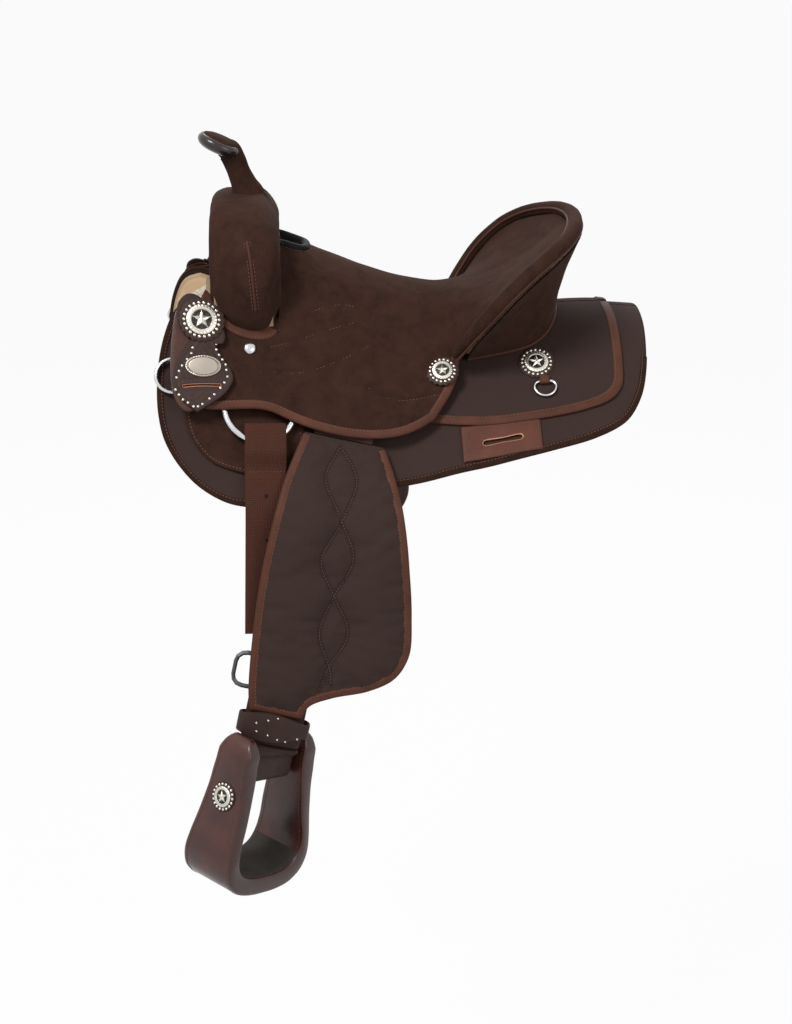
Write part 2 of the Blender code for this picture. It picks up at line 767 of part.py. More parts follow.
def seat_layer(skin, name, top, bottom, kinds, mat, front=None):
    """A layer of the seat between two depths under its surface."""
    bm = evaluated_bmesh(skin)
    bmesh.ops.recalc_face_normals(bm, faces=bm.faces)
    if sum(face.normal.z for face in bm.faces) < 0:
        bmesh.ops.reverse_faces(bm, faces=bm.faces)
    bm.normal_update()
    normal = bm.verts.layers.float_vector.new("normal")
    for vert in bm.verts:
        vert[normal] = vert.normal
    drop = [face for face in bm.faces if face.material_index not in kinds]
    bmesh.ops.delete(bm, geom=drop, context="FACES")
    made = bmesh.ops.extrude_face_region(bm, geom=bm.faces[:], use_keep_orig=True)
    upper = {item for item in made["geom"] if isinstance(item, bmesh.types.BMVert)}
    for vert in bm.verts:
        vert.co -= vert[normal] * (top if vert in upper else bottom)
    for face in bm.faces:
        face.material_index = 0
    if front is not None:
        made = bmesh.ops.bisect_plane(
            bm, geom=bm.verts[:] + bm.edges[:] + bm.faces[:], plane_co=(front, 0, 0), plane_no=(-1, 0, 0),
            clear_outer=True,
        )
        edges = [item for item in made["geom_cut"] if isinstance(item, bmesh.types.BMEdge)]
        bmesh.ops.holes_fill(bm, edges=edges, sides=0)
    bmesh.ops.recalc_face_normals(bm, faces=bm.faces)
    return finish_mesh(bm, name, mat, smooth=60)


def seat():
    skin = seat_skin()
    front = FORK_REAR + COVER_REAR_PAD + GAP
    foam_top = SEAT_LEATHER + GAP
    ground_top = foam_top + SEAT_PAD + GAP
    seat_layer(skin, "seat_cover", 0.0, SEAT_LEATHER, (1, 2), SUEDE)
    seat_layer(skin, "seat_foam", foam_top, foam_top + SEAT_PAD, (2,), FOAM, front)
    ground = seat_layer(skin, "ground_seat", ground_top, ground_top + GROUND_SEAT, (2,), LEATHER, front)
    boolean(ground, back_cutter("under_ground_seat", BAR_TOP + GAP, -0.15, 0.18))
    bpy.data.objects.remove(skin, do_unlink=True)


# Where the cantle's back meets the rear jockeys: x and how far down
CANTLE_FOOT = (
    (0.0660, -0.0930, 0.0),
    (0.0860, -0.0920, 0.0),
    (0.1120, -0.0905, 0.0),
    (0.1380, -0.0885, 0.0),
    (0.1600, -0.0825, 0.0),
    (0.1790, -0.0660, 0.0),
    (0.1920, -0.0360, 0.0),
    (0.1960, 0.0000, 0.0),
)
CANTLE_STEPS = 16
CANTLE_RISE = 3
CANTLE_START = 0.10
ROLL_START = 0.075
CANTLE_CORE_RISE = 0.93


def cantle_place(i, j, depth_top, depth_foot, rise):
    """A point of the cantle's back wall: i from one end over the top, j from foot to rim."""
    share = between(CANTLE_START, 1.0, 1.0 - abs(i / CANTLE_STEPS * 2.0 - 1.0))
    mark = along(CANTLE_FOOT, share)
    foot = draped(mark.x, abs(mark.y), REAR_JOCKEY_TOP + 5 * GAP)
    rim = rim_edge(share, *BACK_EDGE)
    inward = (Vector((0.045, 0.0, 0.0)) - Vector((rim.x, rim.y, 0.0))).normalized()
    height = j / CANTLE_RISE * rise
    place = foot.lerp(rim, height) + inward * (0.006 * math.sin(math.pi * height) * share)
    place += inward * between(depth_foot, depth_top, height)
    if i > CANTLE_STEPS / 2:
        place.y = -place.y
    return place


def cantle():
    bm = grid_solid(
        CANTLE_STEPS, CANTLE_RISE,
        lambda i, j: cantle_place(i, j, CANTLE_LEATHER, CANTLE_LEATHER, 1.0),
        lambda i, j: cantle_place(i, j, 0.0, 0.0, 1.0),
    )
    finish_mesh(bm, "cantle_back_cover", DARK_LEATHER, smooth=50)
    start = CANTLE_LEATHER + 3 * GAP
    rise = CANTLE_CORE_RISE
    bm = grid_solid(
        CANTLE_STEPS, CANTLE_RISE,
        lambda i, j: cantle_place(i, j, start + CANTLE_WALL_TOP, start + CANTLE_WALL_FOOT, rise),
        lambda i, j: cantle_place(i, j, start, start, rise),
    )
    core = finish_mesh(bm, "tree_cantle", TREE_WOOD, smooth=50)
    boolean(core, back_cutter("under_cantle", BAR_TOP + GAP, -0.06, 0.25))
    half = [along(RIM, between(ROLL_START, 1.0, k / 14)) for k in range(15)]
    whole = half + [Vector((p.x, -p.y, p.z)) for p in reversed(half[:-1])]
    tube("cantle_roll", whole, ROLL_RADIUS, SUEDE, resolution=2)


def front_view_bmesh(loops, front, rear):
    """A solid with the given outline in Y and Z, between two places along X."""
    bm = flat_bmesh(loops, front, rear)
    turn = Matrix(((0, 0, 1), (1, 0, 0), (0, 1, 0)))
    bmesh.ops.transform(bm, matrix=turn.to_4x4(), verts=bm.verts)
    return bm


def arch(half, closing):
    """A symmetric arch outline from its right half and the half of its hollow."""
    right = list(half)
    inner = list(closing)
    left = [(-y, z) for y, z in reversed(half) if y > 0]
    inner_left = [(-y, z) for y, z in inner if y > 0]
    return left + right + list(reversed(inner)) + inner_left


def fork():
    """The tree's fork, an arch over the withers that stands on the bars."""
    outer = ((0.0, FORK_TOP), (0.050, FORK_TOP - 0.005), (0.086, 0.161), (0.110, 0.138), (0.118, 0.110),
             (0.114, 0.075), (0.106, 0.040), (0.104, -0.020))
    hollow = ((0.0, GULLET_TOP), (0.036, 0.125), (0.062, 0.100), (0.075, 0.070), (0.079, 0.030), (0.080, -0.020))
    bm = front_view_bmesh([arch(outer, hollow)], FORK_FRONT, FORK_REAR)
    body = finish_mesh(bm, "tree_fork", TREE_WOOD)
    boolean(body, profile_cutter("fork_profile", 0.0, 0.0), "INTERSECT")
    boolean(body, back_cutter("under_fork", BAR_TOP + GAP))
    swell_cover(outer, hollow)
    lining(hollow)


def back_cutter(name, high, front=-0.32, rear=-0.06):
    """A block that follows the back, from deep below it up to a layer's height."""
    outline = [(front, 0.0), (rear, 0.0), (rear, 0.26), (front, 0.26)]
    return add_cutter(both_sides(outline, -0.045, high), name)


def profile_cutter(name, wall, rear_wall):
    """The swell's rounded outline seen from the side; its foot is lower where walls are thinner."""
    front = FORK_FRONT - wall - 0.001
    rear = FORK_REAR + rear_wall + 0.001
    lower = -0.060 if wall < COVER_WALL else 0.0
    side = rounded((
        (front, FORK_TOP - 0.014 + wall, 0.008),
        (HORN_BASE_X - 0.020, FORK_TOP + 0.001 + wall, 0.012),
        (HORN_BASE_X + 0.018, FORK_TOP + 0.001 + wall, 0.010),
        (rear - 0.004, FORK_TOP - 0.017 + wall, 0.016 + wall),
        (rear, FORK_TOP - 0.060, 0.030),
        (rear, 0.054 + lower, 0.014),
        (-0.166, 0.041 + lower, 0.025),
        (-0.200, 0.043 + lower, 0.020),
        (front, 0.090 + lower * 1.4, 0.004),
    ), turn=18.0)
    return side_cutter(name, side)


def side_cutter(name, outline):
    """A block across the whole part with the given outline in X and Z."""
    shape = flat_bmesh([outline], -0.20, 0.20)
    bmesh.ops.rotate(shape, verts=shape.verts, matrix=Matrix.Rotation(math.radians(90), 3, "X"))
    return add_cutter(shape, name)


def swell_cover(fork_half, hollow):
    """Suede over the fork: front, top and back, its lower edge a U over each jockey."""
    outer = ((0.0, FORK_TOP + 0.004), (0.052, FORK_TOP - 0.001), (0.092, 0.165), (0.119, 0.141), (0.128, 0.109),
             (0.127, 0.070), (0.122, 0.030), (0.122, -0.020))
    bm = front_view_bmesh([arch(outer, hollow)], FORK_FRONT - COVER_WALL, FORK_REAR + COVER_REAR_PAD)
    cover = finish_mesh(bm, "swell_cover", SUEDE)
    boolean(cover, profile_cutter("swell_profile", COVER_WALL, COVER_REAR_PAD), "INTERSECT")
    room = [(y + (GAP if y > 0 else 0.0), z + GAP) for y, z in fork_half]
    pocket = [(-room[-1][0], -0.06), *[(-y, z) for y, z in reversed(room) if y > 0], *room, (room[-1][0], -0.06)]
    inside = add_cutter(front_view_bmesh([pocket], FORK_FRONT - GAP, FORK_REAR + GAP), "fork_pocket")
    boolean(inside, profile_cutter("pocket_profile", GAP, GAP), "INTERSECT")
    boolean(cover, inside)
    boolean(cover, back_cutter("under_cover", JOCKEY_TOP + 3 * GAP))


def lining(hollow):
    """Natural leather under the arch, which flares forwards to the skirt's edge."""
    outer = [(y - GAP * (y > 0), z - GAP) for y, z in hollow[:-1]]
    outer.append((outer[-1][0], 0.010))
    inner = [(max(y - 0.0028, 0.0), z - 0.0026) for y, z in outer[:-1]]
    inner.append((inner[-1][0], 0.010))
    front = FORK_FRONT - COVER_WALL + 0.0010
    rear = FORK_REAR + COVER_REAR_PAD
    bm = front_view_bmesh([arch(outer, inner)], LINING_FRONT - 0.001, rear)
    body = finish_mesh(bm, "gullet_lining", TAN_LEATHER)
    side = rounded((
        (front, GULLET_TOP + 0.010),
        (front, GULLET_TOP - 0.024, 0.020),
        (LINING_FRONT + 0.012, 0.076, 0.030),
        (LINING_FRONT, 0.050, 0.020),
        (LINING_FRONT, -0.010),
        (rear + 0.001, -0.010),
        (rear + 0.001, GULLET_TOP + 0.010),
    ), turn=18.0)
    boolean(body, side_cutter("lining_profile", side), "INTERSECT")
    boolean(body, back_cutter("under_lining", BAR_TOP + GAP))


def horn():
    """Suede-wrapped neck on its steel stem, which stands in the fork, and the cap."""
    tilt = math.radians(HORN_CAP_TILT)
    cap_axis = Vector((math.sin(tilt), 0.0, math.cos(tilt)))
    cap_centre = Vector((HORN_BASE_X - 0.0275, 0.0, FORK_TOP + 0.0600))
    bend = (
        (HORN_BASE_X + 0.0045, FORK_TOP - 0.004, HORN_NECK_RADIUS * 1.32),
        (HORN_BASE_X + 0.0010, FORK_TOP + 0.006, HORN_NECK_RADIUS * 1.16),
        (HORN_BASE_X - 0.0030, FORK_TOP + 0.018, HORN_NECK_RADIUS * 1.00),
        (HORN_BASE_X - 0.0070, FORK_TOP + 0.031, HORN_NECK_RADIUS * 0.93),
        (HORN_BASE_X - 0.0115, FORK_TOP + 0.044, HORN_NECK_RADIUS * 0.93),
        (HORN_BASE_X - 0.0170, FORK_TOP + 0.060, HORN_NECK_RADIUS * 1.00),
    )
    neck = tube("horn_neck", [(x, 0.0, z) for x, z, _ in bend], 1.0, SUEDE, radii=[r for _, _, r in bend])
    foot = Vector((HORN_BASE_X + 0.002, 0.0, FORK_TOP + 0.004))
    low_trim = cylinder_bmesh(0.060, 0.060, foot + Vector((0.0, 0.0, GAP - 0.030)), (0, 0, 1))
    boolean(neck, add_cutter(low_trim, "neck_foot_trim"))
    high_trim = cylinder_bmesh(0.060, 0.060, cap_centre + cap_axis * (0.030 - HORN_CAP_THICK / 2 - GAP), cap_axis)
    boolean(neck, add_cutter(high_trim, "neck_top_trim"))
    stem = cylinder_bmesh(HORN_CORE_RADIUS, 0.040, foot + Vector((0.0, 0.0, -0.015)), (0, 0, 1))
    boolean(neck, add_cutter(stem, "horn_stem"), "UNION")
    pin = cylinder_bmesh(HORN_CORE_RADIUS, 0.016, cap_centre - cap_axis * 0.008, cap_axis)
    boolean(neck, add_cutter(pin, "horn_pin"), "UNION")
    bore = add_cutter(cylinder_bmesh(HORN_CORE_RADIUS + GAP, 0.041, foot + Vector((0, 0, -0.015)), (0, 0, 1)), "bore")
    for holed in (PARTS.objects["tree_fork"], PARTS.objects["swell_cover"]):
        boolean(holed, bore)
    cap = finish_mesh(
        cylinder_bmesh(HORN_CAP_RADIUS, HORN_CAP_THICK, cap_centre, cap_axis, 28), "horn_cap", DARK_LEATHER, smooth=40
    )
    soft = cap.modifiers.new("Bevel", "BEVEL")
    soft.width = 0.0045
    soft.segments = 2
    socket = cylinder_bmesh(HORN_CORE_RADIUS + GAP, 0.0168, cap_centre - cap_axis * 0.008, cap_axis)
    boolean(cap, add_cutter(socket, "cap_bore"))


def cylinder_bmesh(radius, depth, centre, axis, segments=16):
    bm = bmesh.new()
    bmesh.ops.create_cone(bm, cap_ends=True, segments=segments, radius1=radius, radius2=radius, depth=depth)
    turn = Vector(axis).to_track_quat("Z", "Y").to_matrix().to_4x4()
    bmesh.ops.transform(bm, matrix=Matrix.Translation(centre) @ turn, verts=bm.verts)
    return bm


def front_jockeys():
    """Smooth leather front of each jockey, with the tooled keeper and its blank plate."""
    low = JOCKEY_TOP + GAP
    high = FRONT_TOP
    piece = rounded((
        (-0.2470, 0.0990, 0.012),
        (-0.2640, 0.1170, 0.030),
        (-0.2680, 0.2150, 0.040),
        (-0.2500, 0.2350, 0.010),
        (-0.2300, 0.2230, 0.006),
        (-0.2300, 0.1400, 0.010),
        (-0.2110, 0.1300, 0.010),
        (-0.2375, 0.1000, 0.010),
    ), turn=25.0)
    keeper = rounded((
        (-0.2460, 0.1480, 0.002),
        (-0.2600, 0.1400, 0.020),
        (-0.2600, 0.1100, 0.020),
        (-0.2460, 0.0985, 0.020),
        (-0.2350, 0.0985, 0.012),
        (-0.2140, 0.1220, 0.012),
        (-0.2075, 0.1380, 0.012),
        (-0.2200, 0.1460, 0.002),
        (-0.2150, 0.1600, 0.010),
        (-0.2010, 0.1760, 0.012),
        (-0.2080, 0.1960, 0.012),
        (-0.2430, 0.2330, 0.006),
        (-0.2650, 0.2100, 0.012),
        (-0.2560, 0.1750, 0.020),
    ), turn=25.0)
    slot = rounded(((-0.257, 0.2070), (-0.215, 0.1920), (-0.214, 0.1942), (-0.256, 0.2092)), 0.0006)
    keeper_low = high + GAP
    keeper_high = KEEPER_TOP
    for side, word in SIDES:
        sheet("front_jockey_" + word, side, [piece], low, high, LEATHER)
        sheet("front_keeper_" + word, side, [keeper, slot], keeper_low, keeper_high, DARK_LEATHER)
        oval = [(-0.2350 + 0.0135 * x, 0.1780 + 0.0105 * y) for x, y in circle(0, 0, 1, 20)]
        sheet("name_plate_" + word, side, [oval], keeper_high + GAP, keeper_high + GAP + 0.0012, SILVER)


def on_back(x, s, n, side):
    """Frame on the flank: X along the back, Y down it and Z out of it."""
    here = draped(x, s, n)
    down = (draped(x, s + 0.01, n) - draped(x, s - 0.01, n)).normalized()
    forward = (draped(x + 0.01, s, n) - draped(x - 0.01, s, n)).normalized()
    out = forward.cross(down).normalized()
    if out.z < 0:
        out = -out
    forward = down.cross(out) if down.cross(out).x > 0 else out.cross(down)
    frame = Matrix((forward, down, out)).transposed().to_4x4()
    frame = Matrix.Translation(here) @ frame
    if side == OFF:
        frame = Matrix.Scale(-1.0, 4, (0.0, 1.0, 0.0)) @ frame
    return frame


def concho_bmesh(radius):
    """A struck silver concho: a shallow dome with a raised rim, turned about its axis."""
    profile = (
        (0.0, CONCHO_HEIGHT * 0.9),
        (radius * 0.45, CONCHO_HEIGHT * 0.75),
        (radius * 0.72, CONCHO_HEIGHT * 0.55),
        (radius * 0.82, CONCHO_HEIGHT),
        (radius, CONCHO_HEIGHT * 0.6),
        (radius, 0.0),
        (0.0, 0.0),
    )
    mesh = bpy.data.meshes.new("concho_profile")
    edges = [(k, k + 1) for k in range(len(profile) - 1)]
    mesh.from_pydata([(r, 0.0, z) for r, z in profile], edges, [])
    obj = bpy.data.objects.new("concho_profile", mesh)
    CUTTERS.objects.link(obj)
    turned = obj.modifiers.new("Screw", "SCREW")
    turned.steps = 20
    turned.render_steps = 20
    turned.use_merge_vertices = True
    turned.merge_threshold = 0.0001
    bm = evaluated_bmesh(obj)
    bpy.data.objects.remove(obj, do_unlink=True)
    return bm


def conchos():
    """Silver conchos: on the keeper's rosette, on the jockey's rear corner and on the rear jockey."""
    for side, word in SIDES:
        spots = (
            ("concho_front_", -0.2350, 0.1250, KEEPER_TOP + 3 * GAP, CONCHO_LARGE),
            ("concho_seat_", 0.0470, 0.1120, SEAT_CONCHO_OUT, CONCHO_SMALL),
            ("concho_rear_", 0.1620, 0.1080, REAR_JOCKEY_TOP + 2 * GAP, CONCHO_SMALL),
        )
        for name, x, s, n, radius in spots:
            silver = concho_bmesh(radius)
            bmesh.ops.transform(silver, matrix=on_back(x, s, n, side), verts=silver.verts)
            finish_mesh(silver, name + word, SILVER, smooth=35)


def seat_screws():
    """Domed screws that hold the jockeys to the tree."""
    for side, word in SIDES:
        head = bmesh.new()
        bmesh.ops.create_uvsphere(head, u_segments=12, v_segments=8, radius=0.0075)
        bmesh.ops.scale(head, vec=(1.0, 1.0, 0.35), verts=head.verts)
        bmesh.ops.bisect_plane(
            head, geom=head.verts[:] + head.edges[:] + head.faces[:], plane_co=(0, 0, 0), plane_no=(0, 0, -1),
            clear_outer=True,
        )
        bmesh.ops.holes_fill(head, edges=[e for e in head.edges if e.is_boundary], sides=0)
        bmesh.ops.recalc_face_normals(head, faces=head.faces)
        frame = on_back(-0.1800, 0.1340, JOCKEY_TOP + GAP, side)
        bmesh.ops.transform(head, matrix=frame, verts=head.verts)
        finish_mesh(head, "seat_screw_" + word, STEEL, smooth=50)


def ring_points(radius, count):
    return [(radius * math.cos(2 * math.pi * k / count), radius * math.sin(2 * math.pi * k / count), 0.0)
            for k in range(count)]


def dee_points(width, height, corner=0.006):
    """A dee from its straight bar at the top, round the bow below it."""
    half = width / 2
    points = [(-half + corner, 0.0), (half - corner, 0.0), (half, corner)]
    bow = height - half if height > half + corner else corner
    for k in range(9):
        angle = math.pi * k / 8
        points.append((half * math.cos(angle), bow + (height - bow) * math.sin(angle)))
    points.append((-half, corner))
    return [(x, y, 0.0) for x, y in points]


def placed_tube(name, points, frame, radius, mat):
    places = [frame @ Vector(p) for p in points]
    return tube(name, places, radius, mat, cyclic=True, resolution=1)


def rigging():
    """Rigging rings, front and rear dees and the leather tabs that carry the dees."""
    for side, word in SIDES:
        ring = on_back(RING_X, RING_DOWN, RING_OUT, side) @ Matrix.Rotation(RING_TILT, 4, "X")
        placed_tube("rigging_ring_" + word, ring_points(RING_RADIUS, 28), ring, RING_WIRE, STEEL)
        front = on_back(FRONT_DEE_X, FRONT_DEE_DOWN, ON_SKIRT + FRONT_DEE_OUT, side)
        front = front @ Matrix.Rotation(math.radians(90), 4, "Z")
        placed_tube("front_dee_" + word, dee_points(0.040, 0.026), front, 0.0020, STEEL)
        panel = PARTS.objects["rigging_panel_" + word]
        tab = add_cutter(dee_tab(front, 0.0020, 0.018, 0.014), "front_dee_loop_" + word)
        boolean(panel, tab, "UNION")
        rear = on_back(REAR_DEE_X, REAR_DEE_DOWN, REAR_JOCKEY_TOP + REAR_DEE_OUT, side)
        placed_tube("rear_dee_" + word, dee_points(0.026, 0.020), rear, 0.0016, STEEL)
        jockey = PARTS.objects["rear_jockey_" + word]
        tab = add_cutter(dee_tab(rear, 0.0016, 0.012, 0.008), "rear_dee_loop_" + word)
        boolean(jockey, tab, "UNION")


def dee_tab(frame, wire, width, length):
    """A leather loop round a dee's bar, with a tail that runs back and down into its leather."""
    inner = wire + GAP
    outer = inner + 0.0016
    bow = [(outer * math.sin(a), outer * math.cos(a)) for a in [math.radians(d) for d in range(0, 181, 30)]]
    outside = bow + [(-length, -outer), (-length, outer)]
    hole = [(inner * math.sin(a), inner * math.cos(a)) for a in [math.radians(d) for d in range(0, 360, 30)]]
    bm = flat_bmesh([outside, hole], -width / 2, width / 2)
    swap = Matrix(((0, 0, 1, 0), (1, 0, 0, 0), (0, 1, 0, 0), (0, 0, 0, 1)))
    bmesh.ops.transform(bm, matrix=frame @ swap, verts=bm.verts)
    return bm


def latigos():
    """Strap looped round the near rigging ring, and its billet on the off side."""
    low = RIGGING_TOP + GAP
    centre = RING_FOOT_OUT
    sag = RING_RADIUS - math.sqrt(RING_RADIUS**2 - (LATIGO_WIDTH / 2 + LATIGO_SHIFT) ** 2) + 0.0035
    hole_radius = RING_WIRE + 5 * GAP
    bow_radius = hole_radius + LATIGO_THICK
    turns = [math.radians(a) for a in (-90, -120, -150, 180, 150, 120, 90)]
    outline = [(-sag + bow_radius * math.cos(a), centre + bow_radius * math.sin(a)) for a in turns]
    outline += [(0.006, centre + bow_radius), (0.034, low + 2 * LATIGO_THICK), (0.036, low + LATIGO_THICK)]
    outline += [(LATIGO_LENGTH, low + LATIGO_THICK), (LATIGO_LENGTH, low)]
    hole = [(-sag + hole_radius * math.cos(a), centre + hole_radius * math.sin(a)) for a in turns]
    hole += [(0.0050, centre + hole_radius), (0.0230, low + LATIGO_THICK + 0.0008), (0.0200, low + LATIGO_THICK)]
    for side, word in ((NEAR, "latigo_near"), (OFF, "billet_off")):
        bm = flat_bmesh([outline, hole], -LATIGO_WIDTH / 2, LATIGO_WIDTH / 2)
        swap = Matrix(((0, 0, 1, 0), (1, 0, 0, 0), (0, 1, 0, 0), (0, 0, 0, 1)))
        bmesh.ops.transform(bm, matrix=swap, verts=bm.verts)
        cuts = [LATIGO_FRAME.bend_at + k * 0.0094 for k in range(5)]
        hang_bmesh(bm, LATIGO_FRAME, cuts)
        to_side(bm, side)
        finish_mesh(bm, word, WEBBING)


def fender_side(bm, side):
    """Put a fender piece on its side; the off-side leather hangs further back."""
    if side == OFF:
        pivot = Matrix.Translation(FENDER_FRAME.at(0.0, PIVOT_UP, 0.0))
        swing = pivot @ Matrix.Rotation(math.radians(OFF_LEATHER_SWING), 4, FENDER_FRAME.out) @ pivot.inverted()
        bmesh.ops.transform(bm, matrix=swing, verts=bm.verts)
    to_side(bm, side)


def side_matrix(side):
    """The same for a piece that is placed by its frame."""
    if side == NEAR:
        return Matrix.Identity(4)
    pivot = Matrix.Translation(FENDER_FRAME.at(0.0, PIVOT_UP, 0.0))
    swing = pivot @ Matrix.Rotation(math.radians(OFF_LEATHER_SWING), 4, FENDER_FRAME.out) @ pivot.inverted()
    return Matrix.Scale(-1.0, 4, (0.0, 1.0, 0.0)) @ swing


def fender_edges(length):
    """Front and rear edge of the fender at a length below the hinge."""
    front = ((0.0, -0.046), (0.069, -0.058), (0.154, -0.062), (0.225, -0.059), (0.309, -0.049), (0.335, -0.044))
    rear = ((0.0, 0.050), (0.042, 0.067), (0.124, 0.099), (0.190, 0.117), (0.232, 0.123), (0.262, 0.112),
            (0.282, 0.088), (0.300, 0.046), (0.316, 0.017), (0.335, 0.014))
    return look_up(front, length), look_up(rear, length)


def look_up(rows, where):
    for low, high in zip(rows, rows[1:]):
        if where <= high[0]:
            break
    return between(low[1], high[1], (where - low[0]) / (high[0] - low[0]))


QUILT_CROSSINGS = (0.099, 0.181, 0.262)
QUILT_TOP = 0.010
QUILT_HALF = 0.0185


def quilt_lines(length):
    """The two sewn lines of the quilting, which cross and leave lens shapes between."""
    middle = -0.002 + 0.145 * length
    marks = (QUILT_TOP, *QUILT_CROSSINGS)
    half = 0.0
    for low, high in zip(marks, marks[1:]):
        if low <= length <= high:
            half = QUILT_HALF * math.sin(math.pi * (length - low) / (high - low))
    return middle - half, middle + half


FENDER_ROWS = (0.002, 0.010, 0.030, 0.052, 0.076, 0.099, 0.119, 0.140, 0.161, 0.181,
               0.202, 0.222, 0.242, 0.262, 0.282, 0.300, 0.318, 0.333)
FENDER_COLUMNS = 14


def fender_place(i, j):
    """Across and down place on the fender, and how far into a padded panel it lies."""
    length = FENDER_ROWS[j]
    front, rear = fender_edges(length)
    left, right = quilt_lines(length)
    inset = 0.007
    marks = (front, front + inset, left, right, rear - inset, rear)
    steps = (0, 1, 5, 9, 13, 14)
    for index, (low, high) in enumerate(zip(steps, steps[1:])):
        if i <= high:
            break
    share = (i - low) / (high - low)
    across = between(marks[index], marks[index + 1], share)
    wide = marks[index + 1] - marks[index]
    puff = 0.0
    if 1 <= i <= 13 and wide > 0.001:
        puff = math.sin(math.pi * share) ** 0.7 * min(1.0, wide / 0.030)
    if length < QUILT_TOP:
        puff *= 0.3
    puff *= min(1.0, max(0.0, (0.316 - length) / 0.05))
    return across, length, puff


def fenders():
    """Padded fenders with a crown and the sewn figure-eight channels."""
    top = FENDER_LIFT + FENDER_BACKING

    def low(i, j):
        across, length, _ = fender_place(i, j)
        return FENDER_FRAME.at(across, length, FENDER_LIFT)

    def high(i, j):
        across, length, puff = fender_place(i, j)
        return FENDER_FRAME.at(across, length, top + 0.0015 + puff * FENDER_PUFF)

    for side, word in SIDES:
        bm = grid_solid(FENDER_COLUMNS, len(FENDER_ROWS) - 1, low, high)
        bmesh.ops.remove_doubles(bm, verts=bm.verts, dist=1e-5)
        fender_side(bm, side)
        finish_mesh(bm, "fender_" + word, CORDURA, smooth=50)


TURNS = {NEAR: STIRRUP_TURN, OFF: OFF_STIRRUP_TURN}
STRAP_MIDDLE = -0.0140
STRAP_LOW = FENDER_LIFT - GAP - STRAP_THICK
BOLT_OUT = STRAP_LOW + STRAP_THICK / 2


def stirrup_straps():
    """Upper leather from the tree's groove, and the lower one, looped round the stirrup's bolt."""
    upper = rounded(((-0.035, -0.1000, 0.030), (0.035, -0.1000, 0.030), (0.035, 0.0014), (-0.035, 0.0014)))
    for side, word in SIDES:
        bm = flat_bmesh([upper], FENDER_LIFT, FENDER_LIFT + STRAP_THICK)
        hang_bmesh(bm, FENDER_FRAME, ())
        fender_side(bm, side)
        finish_mesh(bm, "stirrup_leather_upper_" + word, LEATHER)
        bm = lower_strap(TURNS[side])
        fender_side(bm, side)
        finish_mesh(bm, "stirrup_leather_lower_" + word, LEATHER)


def strap_twist(turn, across, length, out):
    """The lower leather turns towards the stirrup between the hobble strap and the bolt."""
    share = min(max((length - TWIST_START) / TWIST_LENGTH, 0.0), 1.0)
    angle = math.radians(turn) * share
    sideways = across - STRAP_MIDDLE
    outwards = out - BOLT_OUT
    turned_across = sideways * math.cos(angle) - outwards * math.sin(angle)
    turned_out = outwards * math.cos(angle) + sideways * math.sin(angle)
    return STRAP_MIDDLE + turned_across, BOLT_OUT + turned_out


def lower_strap(turn):
    inner = BOLT_RADIUS + GAP
    outer = inner + STRAP_THICK
    front = STRAP_LOW + STRAP_THICK - BOLT_OUT
    arc = [math.radians(a) for a in range(90, -91, -20)]
    loop = [(BOLT_DOWN + outer * math.cos(a), BOLT_OUT + outer * math.sin(a)) for a in arc]
    straight = BOLT_DOWN - 0.0100
    outline = [(0.150, BOLT_OUT - front), (0.150, BOLT_OUT + front), (straight, BOLT_OUT + front)]
    outline += loop
    outline += [(straight, BOLT_OUT - front)]
    hole = [(BOLT_DOWN + inner * math.cos(a), BOLT_OUT + inner * math.sin(a))
            for a in [math.radians(d) for d in range(0, 360, 20)]]
    bm = flat_bmesh([outline, hole], -STRAP_WIDTH / 2, STRAP_WIDTH / 2)
    swap = Matrix(((0, 0, 1, STRAP_MIDDLE), (1, 0, 0, 0), (0, 1, 0, 0), (0, 0, 0, 1)))
    bmesh.ops.transform(bm, matrix=swap, verts=bm.verts)
    cuts = [TWIST_START + TWIST_LENGTH * k / 6 for k in range(7)]
    hang_bmesh(bm, FENDER_FRAME, cuts, lambda *place: strap_twist(turn, *place))
    split_warped(bm)
    return bm


def split_warped(bm):
    """Split the faces that a twist has left uneven into triangles."""
    bm.normal_update()
    warped = []
    for face in bm.faces:
        middle = face.calc_center_median()
        if max(abs((vert.co - middle).dot(face.normal)) for vert in face.verts) > 2e-6:
            warped.append(face)
    bmesh.ops.triangulate(bm, faces=warped)


def stirrup_buckles():
    """Dark steel buckle ring behind the lower leather."""
    for side, word in SIDES:
        frame = FENDER_FRAME.frame(-0.0400, BUCKLE_DOWN, STRAP_LOW - GAP - 0.0030)
        points = [(x, y, 0.0) for x, y in rounded(((-0.031, -0.020), (0.031, -0.020), (0.031, 0.020),
                                                    (-0.031, 0.020)), 0.012)]
        frame = side_matrix(side) @ frame
        placed_tube("stirrup_buckle_" + word, points, frame, 0.0028, DARK_STEEL)


def hobble_straps():
    """Studded strap round the fender's tongue and the leather above the stirrup."""
    inner_low = STRAP_LOW - GAP
    inner_high = FENDER_LIFT + FENDER_BACKING + 0.0015 + GAP
    half = STRAP_WIDTH / 2 + 0.0030
    ring = [(-half, inner_low), (half, inner_low), (half, inner_high), (-half, inner_high)]
    wall = HOBBLE_THICK
    around = rounded(((-half - wall, inner_low - wall), (half + wall, inner_low - wall),
                      (half + wall, inner_high + wall), (-half - wall, inner_high + wall)), 0.002)
    for side, word in SIDES:
        bm = flat_bmesh([around, ring], HOBBLE_TOP, HOBBLE_TOP + HOBBLE_DEPTH)
        swap = Matrix(((1, 0, 0, STRAP_MIDDLE), (0, 0, 1, 0), (0, 1, 0, 0), (0, 0, 0, 1)))
        bmesh.ops.transform(bm, matrix=swap, verts=bm.verts)
        hang_bmesh(bm, FENDER_FRAME, ())
        fender_side(bm, side)
        finish_mesh(bm, "hobble_strap_" + word, DARK_LEATHER)


